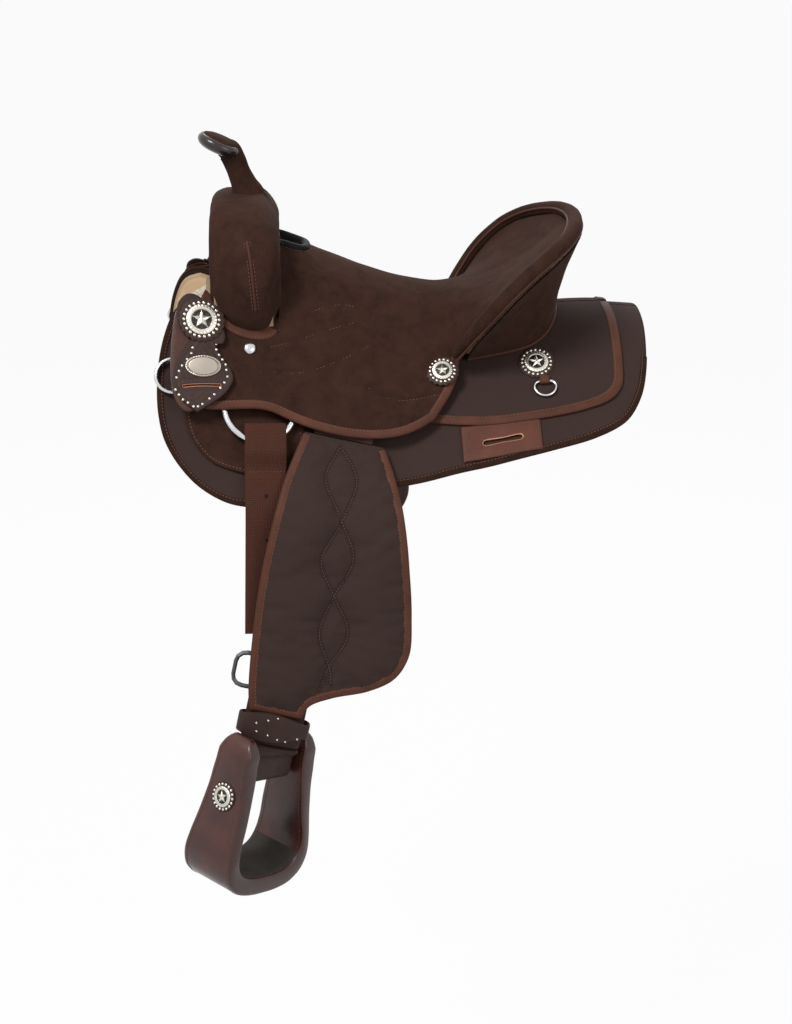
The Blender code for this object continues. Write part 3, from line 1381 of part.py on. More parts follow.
def stirrup_outline():
    """Open-topped stirrup, drawn with the bolt at the origin and Y running down."""
    top = STIRRUP_TOP_WIDTH / 2
    wide = STIRRUP_WIDTH / 2
    wall = STIRRUP_WALL
    rise = -STIRRUP_ABOVE_BOLT
    foot = STIRRUP_BELOW_BOLT
    tread = foot - STIRRUP_TREAD
    shoulder = STIRRUP_SHOULDER
    hip = STIRRUP_HIP
    flare = STIRRUP_FLARE
    return rounded((
        (-top, rise, 0.008),
        (-top - flare, shoulder, 0.100),
        (-wide, hip, 0.060),
        (-wide + flare, foot, 0.034),
        (wide - flare, foot, 0.034),
        (wide, hip, 0.060),
        (top + flare, shoulder, 0.100),
        (top, rise, 0.008),
        (top - wall, rise, 0.004),
        (top + flare / 2 - wall, shoulder, 0.100),
        (wide - wall, hip, 0.060),
        (wide - wall - flare, tread, 0.022),
        (-wide + wall + flare, tread, 0.022),
        (-wide + wall, hip, 0.060),
        (-top - flare / 2 + wall, shoulder, 0.100),
        (-top + wall, rise, 0.004),
    ), turn=18.0)


def stirrups():
    """Leather-covered stirrups on their bolts, turned as they hang."""
    for side, word in SIDES:
        frame = FENDER_FRAME.frame(STRAP_MIDDLE, BOLT_DOWN, BOLT_OUT, TURNS[side])
        frame = side_matrix(side) @ frame
        bm = flat_bmesh([stirrup_outline()], -0.5, 0.5)
        for level in (-0.010, STIRRUP_SHOULDER, 0.060, STIRRUP_HIP, 0.130):
            cut_along(bm, (0, level, 0), (0, 1, 0))
        for vert in bm.verts:
            share = min(max((vert.co.y + 0.010) / 0.120, 0.0), 1.0)
            vert.co.z *= between(STIRRUP_DEPTH_TOP, STIRRUP_DEPTH_TREAD, share)
        bmesh.ops.transform(bm, matrix=frame, verts=bm.verts)
        stirrup = finish_mesh(bm, "stirrup_" + word, STIRRUP_LEATHER, smooth=40)
        axis = frame.to_3x3() @ Vector((1.0, 0.0, 0.0))
        hole = cylinder_bmesh(BOLT_RADIUS + GAP, STIRRUP_WIDTH * 1.2, frame.translation, axis, 16)
        boolean(stirrup, add_cutter(hole, "bolt_hole_" + word))
        bolt = cylinder_bmesh(BOLT_RADIUS, STIRRUP_TOP_WIDTH + 0.0120, frame.translation, axis, 16)
        finish_mesh(bolt, "stirrup_bolt_" + word, DARK_STEEL, smooth=40)
        run = STIRRUP_HIP - STIRRUP_SHOULDER
        spread = STIRRUP_WIDTH / 2 - STIRRUP_TOP_WIDTH / 2 - STIRRUP_FLARE
        leg = STIRRUP_TOP_WIDTH / 2 + STIRRUP_FLARE + spread * (STIRRUP_CONCHO_DOWN - STIRRUP_SHOULDER) / run
        face = frame @ Matrix.Translation((-leg - GAP, STIRRUP_CONCHO_DOWN, 0.0))
        face = face @ Matrix.Rotation(math.atan2(spread, run), 4, "Z") @ Matrix.Rotation(math.radians(-90.0), 4, "Y")
        silver = concho_bmesh(CONCHO_SMALL)
        bmesh.ops.transform(silver, matrix=face, verts=silver.verts)
        finish_mesh(silver, "stirrup_concho_" + word, SILVER, smooth=35)


def shown(vector):
    return [round(value, 5) for value in vector]


def joint_places(side):
    """Point and direction of each joint's axis on one side, with the pieces that turn on it."""
    moved = side_matrix(side)
    turn = moved.to_3x3()
    mirrored = 1.0 if side == NEAR else -1.0
    hinge_out = FENDER_LIFT + FENDER_EDGE + 0.002
    bolt = moved @ FENDER_FRAME.frame(STRAP_MIDDLE, BOLT_DOWN, BOLT_OUT, TURNS[side])
    ring = on_back(RING_X, RING_DOWN, RING_OUT, side) @ Matrix.Rotation(RING_TILT, 4, "X")
    quarter = Matrix.Rotation(math.radians(90), 4, "Z")
    front = on_back(FRONT_DEE_X, FRONT_DEE_DOWN, ON_SKIRT + FRONT_DEE_OUT, side) @ quarter
    rear = on_back(REAR_DEE_X, REAR_DEE_DOWN, REAR_JOCKEY_TOP + REAR_DEE_OUT, side)
    word = dict(SIDES)[side]
    strap = "latigo_near" if side == NEAR else "billet_off"
    return (
        ("groove", moved @ FENDER_FRAME.at(0.0, PIVOT_UP, FENDER_LIFT), turn @ FENDER_FRAME.out * mirrored,
         ("stirrup_leather_upper_" + word,)),
        ("lift", moved @ FENDER_FRAME.at(0.0, HINGE_DROP, hinge_out), turn @ -FENDER_FRAME.across * mirrored,
         ("fender_" + word, "stirrup_leather_lower_" + word, "stirrup_buckle_" + word, "hobble_strap_" + word)),
        ("bolt", bolt.translation, bolt.to_3x3().col[0] * mirrored,
         ("stirrup_" + word, "stirrup_bolt_" + word, "stirrup_concho_" + word)),
        ("ring", ring.translation, ring.to_3x3().col[2] * mirrored, (strap,)),
        ("front_dee", front.translation, front.to_3x3().col[0] * mirrored, ("front_dee_" + word,)),
        ("rear_dee", rear.translation, rear.to_3x3().col[0] * mirrored, ("rear_dee_" + word,)),
    )


def set_origin(obj, place):
    """Move an object's origin and leave its shape where it is."""
    obj.data.transform(Matrix.Translation(-place))
    obj.location = place


def place_origins():
    """Give each moving piece its origin on its joint's axis, and print the axes."""
    for side, word in SIDES:
        for joint, place, axis, names in joint_places(side):
            print(word, joint, shown(place), shown(axis))
            for name in names:
                set_origin(PARTS.objects[name], place)


skirts()
fleece()
rear_jockeys()
rear_rig_patches()
rigging_panels()
tree_bars()
seat()
cantle()
fork()
horn()
front_jockeys()
conchos()
seat_screws()
rigging()
latigos()
fenders()
stirrup_straps()
stirrup_buckles()
hobble_straps()
stirrups()
place_origins()
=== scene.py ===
"""Looks of the western trail saddle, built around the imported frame."""
import math

import bmesh
import bpy
import numpy as np
from mathutils import Matrix, Vector
from mathutils.bvhtree import BVHTree
from mathutils.geometry import delaunay_2d_cdt


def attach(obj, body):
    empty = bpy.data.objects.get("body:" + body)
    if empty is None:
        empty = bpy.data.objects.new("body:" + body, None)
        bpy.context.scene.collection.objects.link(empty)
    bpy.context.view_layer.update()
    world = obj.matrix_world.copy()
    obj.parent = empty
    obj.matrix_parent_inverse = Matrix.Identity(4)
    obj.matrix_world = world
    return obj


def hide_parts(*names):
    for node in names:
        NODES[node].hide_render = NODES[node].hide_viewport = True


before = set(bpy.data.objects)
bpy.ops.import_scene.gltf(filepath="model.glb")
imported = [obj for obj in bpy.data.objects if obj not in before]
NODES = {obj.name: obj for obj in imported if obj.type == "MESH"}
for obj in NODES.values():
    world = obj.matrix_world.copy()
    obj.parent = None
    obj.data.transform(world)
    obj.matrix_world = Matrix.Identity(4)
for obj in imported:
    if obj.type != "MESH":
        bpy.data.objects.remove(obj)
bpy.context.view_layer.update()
NEAR, OFF = -1, 1
SIDES = ((NEAR, "near"), (OFF, "off"))

# The back and its layers, as in the part's source, in metres
GAP = 0.0004
BACK = np.array((
    (-0.33, 0.1280, 0.100, 62.0), (-0.25, 0.1130, 0.100, 60.0), (-0.20, 0.0900, 0.105, 57.0),
    (-0.07, 0.0370, 0.115, 50.0), (0.00, 0.0175, 0.120, 47.0), (0.08, 0.0200, 0.120, 43.5),
    (0.16, 0.0290, 0.120, 41.5), (0.24, 0.0330, 0.120, 40.0), (0.33, 0.0270, 0.120, 39.0),
))
SKIRT_TOP = 0.0050
ON_SKIRT = SKIRT_TOP + GAP
REAR_JOCKEY_TOP = ON_SKIRT + 0.0036
RIGGING_TOP = ON_SKIRT + 0.0040
BAR_TOP = ON_SKIRT + 0.0146
JOCKEY_TOP = BAR_TOP + 0.0032 + 2 * GAP
FRONT_TOP = JOCKEY_TOP + GAP + 0.0030
KEEPER_TOP = FRONT_TOP + GAP + 0.0032


# ---- Materials
WEAVE_PITCH = 0.0014
RIB_PITCH, RIB_TURN = 0.0030, 0.0022


class Shader:
    """A Principled material with short calls for its nodes."""

    def __init__(self, name, colour, roughness, metallic=0.0, sheen=0.0, coat=0.0, shine=0.5):
        self.mat = bpy.data.materials.new(name)
        self.mat.use_nodes = True
        self.tree = self.mat.node_tree
        self.bsdf = self.tree.nodes["Principled BSDF"]
        self.colour = colour
        self.set(self.bsdf, "Base Color", (*colour, 1.0))
        self.set(self.bsdf, "Roughness", roughness)
        self.set(self.bsdf, "Metallic", metallic)
        self.set(self.bsdf, "Specular IOR Level", shine)
        if sheen:
            self.set(self.bsdf, "Sheen Weight", sheen)
            self.set(self.bsdf, "Sheen Roughness", 0.45)
            self.set(self.bsdf, "Sheen Tint", (*[min(1.0, c * 5 + 0.12) for c in colour], 1.0))
        if coat:
            self.set(self.bsdf, "Coat Weight", coat)
            self.set(self.bsdf, "Coat Roughness", 0.18)
        self.bumped = None

    def set(self, node, socket, value):
        if isinstance(value, bpy.types.NodeSocket):
            self.tree.links.new(value, node.inputs[socket])
        else:
            node.inputs[socket].default_value = value

    def node(self, kind, output=0, values=None, **sockets):
        made = self.tree.nodes.new("ShaderNode" + kind)
        for key, value in (values or {}).items():
            setattr(made, key, value)
        for socket, value in sockets.items():
            name = socket.replace("_", " ")
            self.set(made, int(name[1:]) if name[0] == "i" and name[1:].isdigit() else name, value)
        return made.outputs[output]

    def local(self):
        return self.node("TexCoord", "Object")

    def pattern(self):
        return self.node("Attribute", "Vector", {"attribute_name": "pattern"})

    def noise(self, scale, detail=3.0, where=None, distortion=0.0):
        return self.node("TexNoise", "Fac", None, Vector=where or self.local(), Scale=scale, Detail=detail,
                         Roughness=0.55, Distortion=distortion)

    def math(self, operation, a, b=0.0):
        return self.node("Math", 0, {"operation": operation}, i0=a, i1=b)

    def ramp(self, fac, low, high):
        """Fac, taken from low to high, as 0 to 1."""
        return self.node("MapRange", 0, None, Value=fac, From_Min=low, From_Max=high)

    def mix(self, fac, a, b):
        made = self.tree.nodes.new("ShaderNodeMix")
        made.data_type = "RGBA"
        self.set(made, 0, fac)
        self.set(made, 6, a if isinstance(a, bpy.types.NodeSocket) else (*a, 1.0))
        self.set(made, 7, b if isinstance(b, bpy.types.NodeSocket) else (*b, 1.0))
        return made.outputs[2]

    def base(self, socket):
        self.set(self.bsdf, "Base Color", socket)

    def bump(self, height, strength, distance):
        made = self.tree.nodes.new("ShaderNodeBump")
        self.set(made, "Strength", strength)
        self.set(made, "Distance", distance)
        self.set(made, "Height", height)
        if self.bumped is not None:
            self.tree.links.new(self.bumped, made.inputs["Normal"])
        self.bumped = made.outputs[0]
        self.tree.links.new(self.bumped, self.bsdf.inputs["Normal"])


def scaled(colour, factor):
    return tuple(min(1.0, c * factor) for c in colour)


def suede(name, colour, mottle=1.0):
    """Napped suede: brushed patches, a fine nap and a soft sheen."""
    sh = Shader(name, colour, 0.96, sheen=0.06, shine=0.08)
    patches = sh.ramp(sh.noise(26.0, 4.0, distortion=1.2), 0.32, 0.70)
    brushed = sh.ramp(sh.noise(95.0, 3.0, distortion=0.6), 0.30, 0.72)
    nap = sh.noise(1100.0, 2.0)
    tone = sh.mix(patches, scaled(colour, 1.0 - 0.32 * mottle), scaled(colour, 1.0 + 0.38 * mottle))
    tone = sh.mix(sh.math("MULTIPLY", brushed, 0.50 * mottle), tone, scaled(colour, 1.75))
    sh.base(sh.mix(sh.math("MULTIPLY", nap, 0.55), tone, scaled(colour, 0.55)))
    sh.bump(nap, 0.30, 0.0006)
    sh.bump(brushed, 0.12, 0.0012)
    return sh.mat


def woven(name, colour):
    """Woven nylon: a plain weave along the pattern, slightly uneven, a faint sheen, and painted shade at edges and
    seams.
    """
    sh = Shader(name, colour, 0.85, sheen=0.03, shine=0.12)
    split = sh.tree.nodes.new("ShaderNodeSeparateXYZ")
    sh.tree.links.new(sh.pattern(), split.inputs[0])
    turns = 2 * math.pi / WEAVE_PITCH
    warp = sh.math("SINE", sh.math("MULTIPLY", split.outputs[0], turns))
    weft = sh.math("SINE", sh.math("MULTIPLY", split.outputs[1], turns))
    weave = sh.math("MULTIPLY", warp, weft)
    yarn = sh.noise(900.0, 2.0)
    cloud = sh.noise(14.0, 3.0)
    tone = sh.mix(sh.ramp(cloud, 0.3, 0.7), scaled(colour, 0.90), scaled(colour, 1.12))
    tone = sh.mix(sh.ramp(weave, -1.0, 1.0), scaled(colour, 0.68), tone)
    tone = sh.mix(sh.math("MULTIPLY", yarn, 0.30), tone, scaled(colour, 1.5))
    # Painted shade: darker within 4 mm of the pattern's third value, which is the distance to an edge or a sewn line
    sh.base(sh.mix(sh.ramp(split.outputs[2], 0.0, 0.0038), scaled(colour, 0.50), tone))
    sh.bump(weave, 0.35, 0.0003)
    return sh.mat


def leather(name, colour, roughness=0.5, grain=1.0, coat=0.0, edge=0.7, spread=0.25, shine=0.25):
    """Smooth leather: fine grain, uneven dye, and a darker burnished edge."""
    sh = Shader(name, colour, roughness, coat=coat, shine=shine)
    cells = sh.node("TexVoronoi", "Distance", {"feature": "DISTANCE_TO_EDGE"}, Vector=sh.local(), Scale=650.0)
    dye = sh.ramp(sh.noise(30.0, 5.0), 0.30, 0.72)
    tone = sh.mix(dye, scaled(colour, 1.0 - spread), scaled(colour, 1.0 + spread))
    split = sh.tree.nodes.new("ShaderNodeSeparateXYZ")
    sh.tree.links.new(sh.pattern(), split.inputs[0])
    rim = sh.ramp(split.outputs[2], 0.0, 0.0035)
    sh.base(sh.mix(rim, scaled(colour, edge), tone))
    rough = sh.node("MapRange", 0, None, Value=sh.noise(160.0, 3.0), To_Min=roughness - 0.10, To_Max=roughness + 0.14)
    sh.set(sh.bsdf, "Roughness", rough)
    sh.bump(sh.ramp(cells, 0.0, 0.12), 0.10 * grain, 0.0004)
    sh.bump(sh.noise(420.0, 3.0), 0.10 * grain, 0.0006)
    return sh.mat


def webbing(name, colour):
    """Ribbed strap webbing, ribs along its length."""
    sh = Shader(name, colour, 0.78, sheen=0.04, shine=0.15)
    split = sh.tree.nodes.new("ShaderNodeSeparateXYZ")
    sh.tree.links.new(sh.pattern(), split.inputs[0])
    across = sh.math("SINE", sh.math("MULTIPLY", split.outputs[0], 2 * math.pi / RIB_PITCH))
    slant = sh.math("ADD", sh.math("MULTIPLY", split.outputs[1], 2 * math.pi / RIB_TURN),
                    sh.math("MULTIPLY", across, 1.2))
    weave = sh.math("SINE", slant)
    tone = sh.mix(sh.ramp(weave, -1.0, 1.0), scaled(colour, 0.62), scaled(colour, 1.25))
    sh.base(sh.mix(sh.math("MULTIPLY", sh.noise(700.0, 2.0), 0.5), tone, scaled(colour, 0.7)))
    sh.bump(weave, 0.5, 0.0005)
    sh.bump(across, 0.25, 0.0005)
    return sh.mat


def fleece_wool(name, colour):
    sh = Shader(name, colour, 1.0, sheen=0.5)
    curl = sh.noise(230.0, 5.0, distortion=1.5)
    tuft = sh.noise(60.0, 3.0)
    tone = sh.mix(sh.ramp(tuft, 0.3, 0.7), scaled(colour, 0.80), colour)
    sh.base(sh.mix(sh.ramp(curl, 0.30, 0.65), scaled(colour, 0.72), tone))
    sh.bump(curl, 0.9, 0.004)
    return sh.mat


def metal(name, colour, roughness, recess=None):
    """Plated metal; where recess is given, the pattern's third value says how raised a place is."""
    sh = Shader(name, colour, roughness, metallic=1.0)
    wear = sh.noise(500.0, 4.0, distortion=0.4)
    tone = sh.mix(sh.ramp(sh.noise(40.0, 3.0), 0.3, 0.7), scaled(colour, 0.92), colour)
    if recess:
        split = sh.tree.nodes.new("ShaderNodeSeparateXYZ")
        sh.tree.links.new(sh.pattern(), split.inputs[0])
        raised = sh.math("ADD", sh.ramp(split.outputs[2], 0.1, 0.75), sh.math("MULTIPLY", wear, 0.25))
        tone = sh.mix(sh.ramp(raised, 0.10, 0.85), recess, tone)
    sh.base(tone)
    sh.set(sh.bsdf, "Roughness", sh.node("MapRange", 0, None, Value=wear, To_Min=roughness, To_Max=roughness + 0.15))
    sh.bump(wear, 0.08, 0.0002)
    return sh.mat


def wood(name, colour):
    sh = Shader(name, colour, 0.6)
    stretch = sh.node("Mapping", 0, None, Vector=sh.local(), Scale=(1.0, 7.0, 7.0))
    grain = sh.noise(14.0, 6.0, where=stretch, distortion=1.6)
    sh.base(sh.mix(sh.ramp(grain, 0.35, 0.65), scaled(colour, 0.72), colour))
    sh.bump(grain, 0.15, 0.0008)
    return sh.mat


def thread(name, colour):
    sh = Shader(name, colour, 0.65, sheen=0.1)
    twist = sh.node("TexWave", "Fac", {"bands_direction": "DIAGONAL"}, Vector=sh.local(), Scale=900.0)
    sh.base(sh.mix(twist, scaled(colour, 0.7), scaled(colour, 1.2)))
    sh.bump(twist, 0.4, 0.0002)
    return sh.mat


BROWN = (0.0415, 0.0192, 0.0136)
SUEDE = suede("brown_suede", BROWN)
DARK_SUEDE = suede("dark_suede", scaled(BROWN, 0.82), 0.8)
CORDURA = woven("dark_brown_cordura", (0.0500, 0.0300, 0.0260))
BINDING = leather("brown_binding", (0.088, 0.029, 0.016), 0.66, 0.8, edge=0.75)
FRONT_LEATHER = leather("front_leather", (0.060, 0.021, 0.013), 0.42, coat=0.12)
KEEPER_LEATHER = leather("keeper_leather", (0.036, 0.017, 0.013), 0.52, 1.6)
PATCH_LEATHER = leather("patch_leather", (0.100, 0.030, 0.017), 0.55)
STIRRUP_LEATHER = leather("stirrup_leather", (0.056, 0.0140, 0.0095), 0.33, 0.6, coat=0.22, spread=0.45, shine=0.4)
STRAP_LEATHER = leather("strap_leather", (0.055, 0.026, 0.019), 0.6)
TAN = leather("natural_leather", (0.86, 0.60, 0.36), 0.5, 0.7, edge=0.6, spread=0.06)
HORN_CAP = leather("horn_cap_leather", (0.018, 0.012, 0.010), 0.30, 0.5, coat=0.5)
WEBBING = webbing("strap_webbing", (0.078, 0.027, 0.017))
FLEECE = fleece_wool("cream_fleece", (0.80, 0.72, 0.58))
NICKEL = metal("bright_nickel", (0.66, 0.66, 0.67), 0.16)
SILVER = metal("antique_silver", (0.66, 0.62, 0.55), 0.26, recess=(0.030, 0.024, 0.020))
BLACK_STEEL = metal("black_steel", (0.10, 0.10, 0.11), 0.30)
COPPER = metal("slot_copper", (0.34, 0.15, 0.09), 0.40)
PEWTER = metal("pewter_plate", (0.40, 0.35, 0.30), 0.34, recess=(0.10, 0.08, 0.07))
WOOD = wood("sealed_wood", (0.45, 0.32, 0.19))
THREAD = thread("brown_thread", (0.120, 0.055, 0.036))
PALE_THREAD = thread("pale_thread", (0.26, 0.20, 0.16))
BLACK = leather("black_lip", (0.007, 0.006, 0.006), 0.70, 0.8, shine=0.15)
RUBBER = leather("tread_leather", (0.050, 0.042, 0.038), 0.75, 2.0)


# ---- Shapes
ROUND_EDGE = 0.0012
STITCH_PITCH, CLOSE_PITCH = 0.0042, 0.0036
THREAD_RADIUS, THIN_THREAD = 0.00055, 0.0005
TURNED = np.array((1.0, -1.0, 1.0))


def hermite(rows, column, where):
    """Smooth curve through the rows of a table, at many places."""
    xs, ys = rows[:, 0], rows[:, column]
    slopes = np.gradient(ys, xs)
    index = np.clip(np.searchsorted(xs, where) - 1, 0, len(xs) - 2)
    step = xs[index + 1] - xs[index]
    t = np.clip((where - xs[index]) / step, 0.0, 1.0)
    return ((2 * t**3 - 3 * t**2 + 1) * ys[index] + (t**3 - 2 * t**2 + t) * step * slopes[index]
            + (3 * t**2 - 2 * t**3) * ys[index + 1] + (t**3 - t**2) * step * slopes[index + 1])


def flank(x, s, n):
    """Near-side points of the horse's back: x along it, s down the side, n out of it."""
    x, s, n = (np.asarray(value, float) + np.zeros(np.shape(x)) for value in (x, s, n))
    spine, radius = hermite(BACK, 1, x), hermite(BACK, 2, x)
    slope = np.radians(hermite(BACK, 3, x))
    angle = np.minimum(s / radius, slope)
    along = np.maximum(s - radius * slope, 0.0)
    y = (radius + n) * np.sin(angle) + along * np.cos(slope)
    z = spine - radius + (radius + n) * np.cos(angle) - along * np.sin(slope)
    return np.stack([x, -y, z], -1)


class Hang:
    """A strip that lies on the flank and then bends down over the skirt's edge."""

    def __init__(self, origin, across, down, bend_at, bend_deg, bend_radius):
        self.origin = np.array(origin)
        self.down = down / np.linalg.norm(down)
        across = across - self.down * (across @ self.down)
        self.across = across / np.linalg.norm(across)
        out = np.cross(self.across, self.down)
        self.out = out if out[1] < 0 else -out
        self.bend_at, self.bend, self.radius = bend_at, math.radians(bend_deg), bend_radius

    def __call__(self, across, length, out):
        across, length, out = (np.asarray(v, float) + np.zeros(np.shape(across)) for v in (across, length, out))
        turn = np.clip((length - self.bend_at) / self.radius, 0.0, self.bend)
        rest = np.maximum(length - self.bend_at - self.radius * self.bend, 0.0)
        down = np.where(length <= self.bend_at, length,
                        self.bend_at + self.radius * np.sin(turn) + rest * np.cos(turn))
        shift = -self.radius * (1 - np.cos(turn)) - rest * np.sin(turn)
        normal = np.outer(np.cos(turn), self.out) + np.outer(np.sin(turn), self.down)
        return (self.origin + np.outer(across, self.across) + np.outer(down, self.down)
                + np.outer(shift, self.out) + normal * out.reshape(-1, 1))


def flank_at(x, s, n=0.0):
    return flank(np.array([x]), np.array([s]), np.array([n]))[0]


def fender_hang():
    x, s = -0.0750, 0.2080
    origin = flank_at(x, s)
    across = flank_at(x + 0.055, s - 0.003) - flank_at(x - 0.055, s + 0.003)
    across /= np.linalg.norm(across)
    down = flank_at(x, s + 0.052) - origin
    return Hang(origin, across, down - across * (down @ across), 0.0750, 30.0, 0.1200)


def latigo_hang():
    x, s = -0.1700 + 0.0040, 0.2010 + 0.0410
    origin = flank_at(x, s)
    return Hang(origin, flank_at(-0.146, s) - flank_at(-0.186, s), flank_at(x, s + 0.05) - origin, 0.055, 24.0, 0.09)


FENDER = fender_hang()
LATIGO = latigo_hang()
MIRROR = np.diag((1.0, -1.0, 1.0, 1.0))


def fender_side(side):
    """Matrix that puts a fender piece on its side; the off-side leather hangs further back."""
    if side == NEAR:
        return np.eye(4)
    pivot = Matrix.Translation(FENDER(np.array([0.0]), np.array([-0.080]), np.array([0.0]))[0])
    swing = pivot @ Matrix.Rotation(math.radians(7.0), 4, Vector(FENDER.out)) @ pivot.inverted()
    return MIRROR @ np.array(swing)


def flank_side(side):
    return np.eye(4) if side == NEAR else MIRROR


def closed_curve(points, spacing=0.003, sharp=()):
    """A smooth closed outline through the points; those in sharp keep their corner."""
    pts = np.array([p[:2] for p in points], float)
    count = len(pts)
    out = []
    for k in range(count):
        p1, p2 = pts[k], pts[(k + 1) % count]
        p0, p3 = pts[k - 1], pts[(k + 2) % count]
        if k in sharp:
            p0 = 2 * p1 - p2
        if (k + 1) % count in sharp:
            p3 = 2 * p2 - p1
        length = np.linalg.norm(p2 - p1)
        steps = max(1, int(round(length / spacing)))
        k1 = np.linalg.norm(p1 - p0) ** 0.5 or 1e-6
        k2 = length ** 0.5
        k3 = np.linalg.norm(p3 - p2) ** 0.5 or 1e-6
        m1 = k2 * ((p1 - p0) / k1 - (p2 - p0) / (k1 + k2) + (p2 - p1) / k2)
        m2 = k2 * ((p2 - p1) / k2 - (p3 - p1) / (k2 + k3) + (p3 - p2) / k3)
        for t in np.arange(steps) / steps:
            out.append((2 * t**3 - 3 * t**2 + 1) * p1 + (t**3 - 2 * t**2 + t) * m1
                       + (3 * t**2 - 2 * t**3) * p2 + (t**3 - t**2) * m2)
    return np.array(out)


def open_curve(points, spacing=0.003):
    """A smooth open line through the points, in two or three dimensions, evenly spaced."""
    pts = np.array(points, float)
    rows = np.vstack([2 * pts[0] - pts[1], pts, 2 * pts[-1] - pts[-2]])
    out = []
    for k in range(1, len(rows) - 2):
        p0, p1, p2, p3 = rows[k - 1:k + 3]
        for t in np.linspace(0, 1, 16, endpoint=False):
            out.append(0.5 * (2 * p1 + (p2 - p0) * t + (2 * p0 - 5 * p1 + 4 * p2 - p3) * t**2
                              + (3 * p1 - p0 - 3 * p2 + p3) * t**3))
    out.append(pts[-1])
    return resampled(np.array(out), spacing)


def resampled(line, spacing, closed=False):
    if closed:
        line = np.vstack([line, line[:1]])
    steps = np.r_[0.0, np.cumsum(np.linalg.norm(np.diff(line, axis=0), axis=1))]
    count = max(2, int(round(steps[-1] / spacing)) + 1)
    marks = np.linspace(0.0, steps[-1], count)
    out = np.stack([np.interp(marks, steps, line[:, k]) for k in range(line.shape[1])], -1)
    return out[:-1] if closed else out


def circle(radius, count):
    turn = np.arange(count) * 2 * math.pi / count
    return np.stack([radius * np.cos(turn), radius * np.sin(turn)], -1)


def inside(points, loops):
    """Which points lie inside the outline and outside its holes."""
    hit = np.zeros(len(points), bool)
    for loop in loops:
        a, b = loop, np.roll(loop, -1, axis=0)
        for (x0, y0), (x1, y1) in zip(a, b):
            if y0 == y1:
                continue
            crosses = (points[:, 1] < max(y0, y1)) & (points[:, 1] >= min(y0, y1))
            where = x0 + (points[:, 1] - y0) * (x1 - x0) / (y1 - y0)
            hit ^= crosses & (points[:, 0] < where)
    return hit


def distance(points, line, closed=True):
    """Distance of each point to a polyline."""
    a = line if closed else line[:-1]
    b = np.roll(line, -1, axis=0) if closed else line[1:]
    best = np.full(len(points), 1e9)
    for start, end in zip(a, b):
        d = end - start
        t = np.clip(((points - start) @ d) / max(d @ d, 1e-16), 0.0, 1.0)
        best = np.minimum(best, np.linalg.norm(points - (start + t[:, None] * d), axis=1))
    return best


def inward(loop):
    """Unit normals of a closed outline, pointing into it."""
    tangent = np.roll(loop, -1, axis=0) - np.roll(loop, 1, axis=0)
    tangent /= np.linalg.norm(tangent, axis=1)[:, None] + 1e-12
    normal = np.stack([-tangent[:, 1], tangent[:, 0]], -1)
    area = np.sum(loop[:, 0] * np.roll(loop[:, 1], -1) - np.roll(loop[:, 0], -1) * loop[:, 1])
    return normal if area > 0 else -normal


def triangulated(loops, step, rings=(0.0012,), lines=()):
    """Even triangles that fill a pattern: its points, faces and distance to the edge.

    Edges of the triangles follow the lines, with a row of points close on both sides of each."""
    points, edges = [], []
    for loop in loops:
        start = len(points)
        points += [tuple(p) for p in loop]
        edges += [(start + k, start + (k + 1) % len(loop)) for k in range(len(loop))]
    for line in lines:
        start = len(points)
        points += [tuple(p) for p in line]
        edges += [(start + k, start + k + 1) for k in range(len(line) - 1)]
    extra = []
    for index, loop in enumerate(loops):
        normal = inward(loop) * (1 if index == 0 else -1)
        for ring in rings:
            extra.append(loop + normal * ring)
    low, high = loops[0].min(0), loops[0].max(0)
    rows = np.arange(low[1], high[1], step * 0.866)
    grid = [np.stack([np.arange(low[0], high[0], step) + (k % 2) * step / 2,
                      np.full(len(np.arange(low[0], high[0], step)), row)], -1) for k, row in enumerate(rows)]
    far = max(rings) if rings else 0.0
    grid = np.vstack(grid)
    reach = np.min([distance(grid, loop) for loop in loops], axis=0)
    grid = grid[inside(grid, loops) & (reach > far + step * 0.5)]
    for index, line in enumerate(lines):
        along = np.gradient(line, axis=0)
        along /= np.linalg.norm(along, axis=1)[:, None]
        beside = np.stack([-along[:, 1], along[:, 0]], -1) * step * 0.5
        grid = grid[distance(grid, line, False) > step * 0.8]
        rows = np.vstack([line + beside, line - beside])
        clear = inside(rows, loops)
        for other in range(len(lines)):
            clear &= distance(rows, lines[other], False) > step * (0.40 if other <= index else 0.75)
        grid = np.vstack([grid, rows[clear]])
    for ring, line in zip(list(rings) * len(loops), extra):
        reach = np.min([distance(line, loop) for loop in loops], axis=0)
        points += [tuple(p) for p in line[inside(line, loops) & (reach > ring * 0.93)]]
    points += [tuple(p) for p in grid]
    made = delaunay_2d_cdt([Vector(p) for p in points], edges, [], 0, 1e-7)
    verts = np.array([tuple(v) for v in made[0]])
    faces = np.array([f for f in made[2]])
    faces = faces[inside(verts[faces].mean(1), loops)]
    used = np.unique(faces)
    renumber = np.full(len(verts), -1)
    renumber[used] = np.arange(len(used))
    verts, faces = verts[used], renumber[faces]
    edge = np.min([distance(verts, loop) for loop in loops], axis=0)
    return verts, faces, edge


def boundary(faces):
    """Edges that only one triangle uses, in its direction."""
    pairs = np.vstack([faces[:, [0, 1]], faces[:, [1, 2]], faces[:, [2, 0]]])
    seen = {(a, b) for a, b in pairs}
    return [(a, b) for a, b in pairs if (b, a) not in seen]


def volume(verts, faces):
    total = 0.0
    for face in faces:
        a = verts[face[0]]
        for k in range(1, len(face) - 1):
            total += a @ np.cross(verts[face[k]], verts[face[k + 1]])
    return total


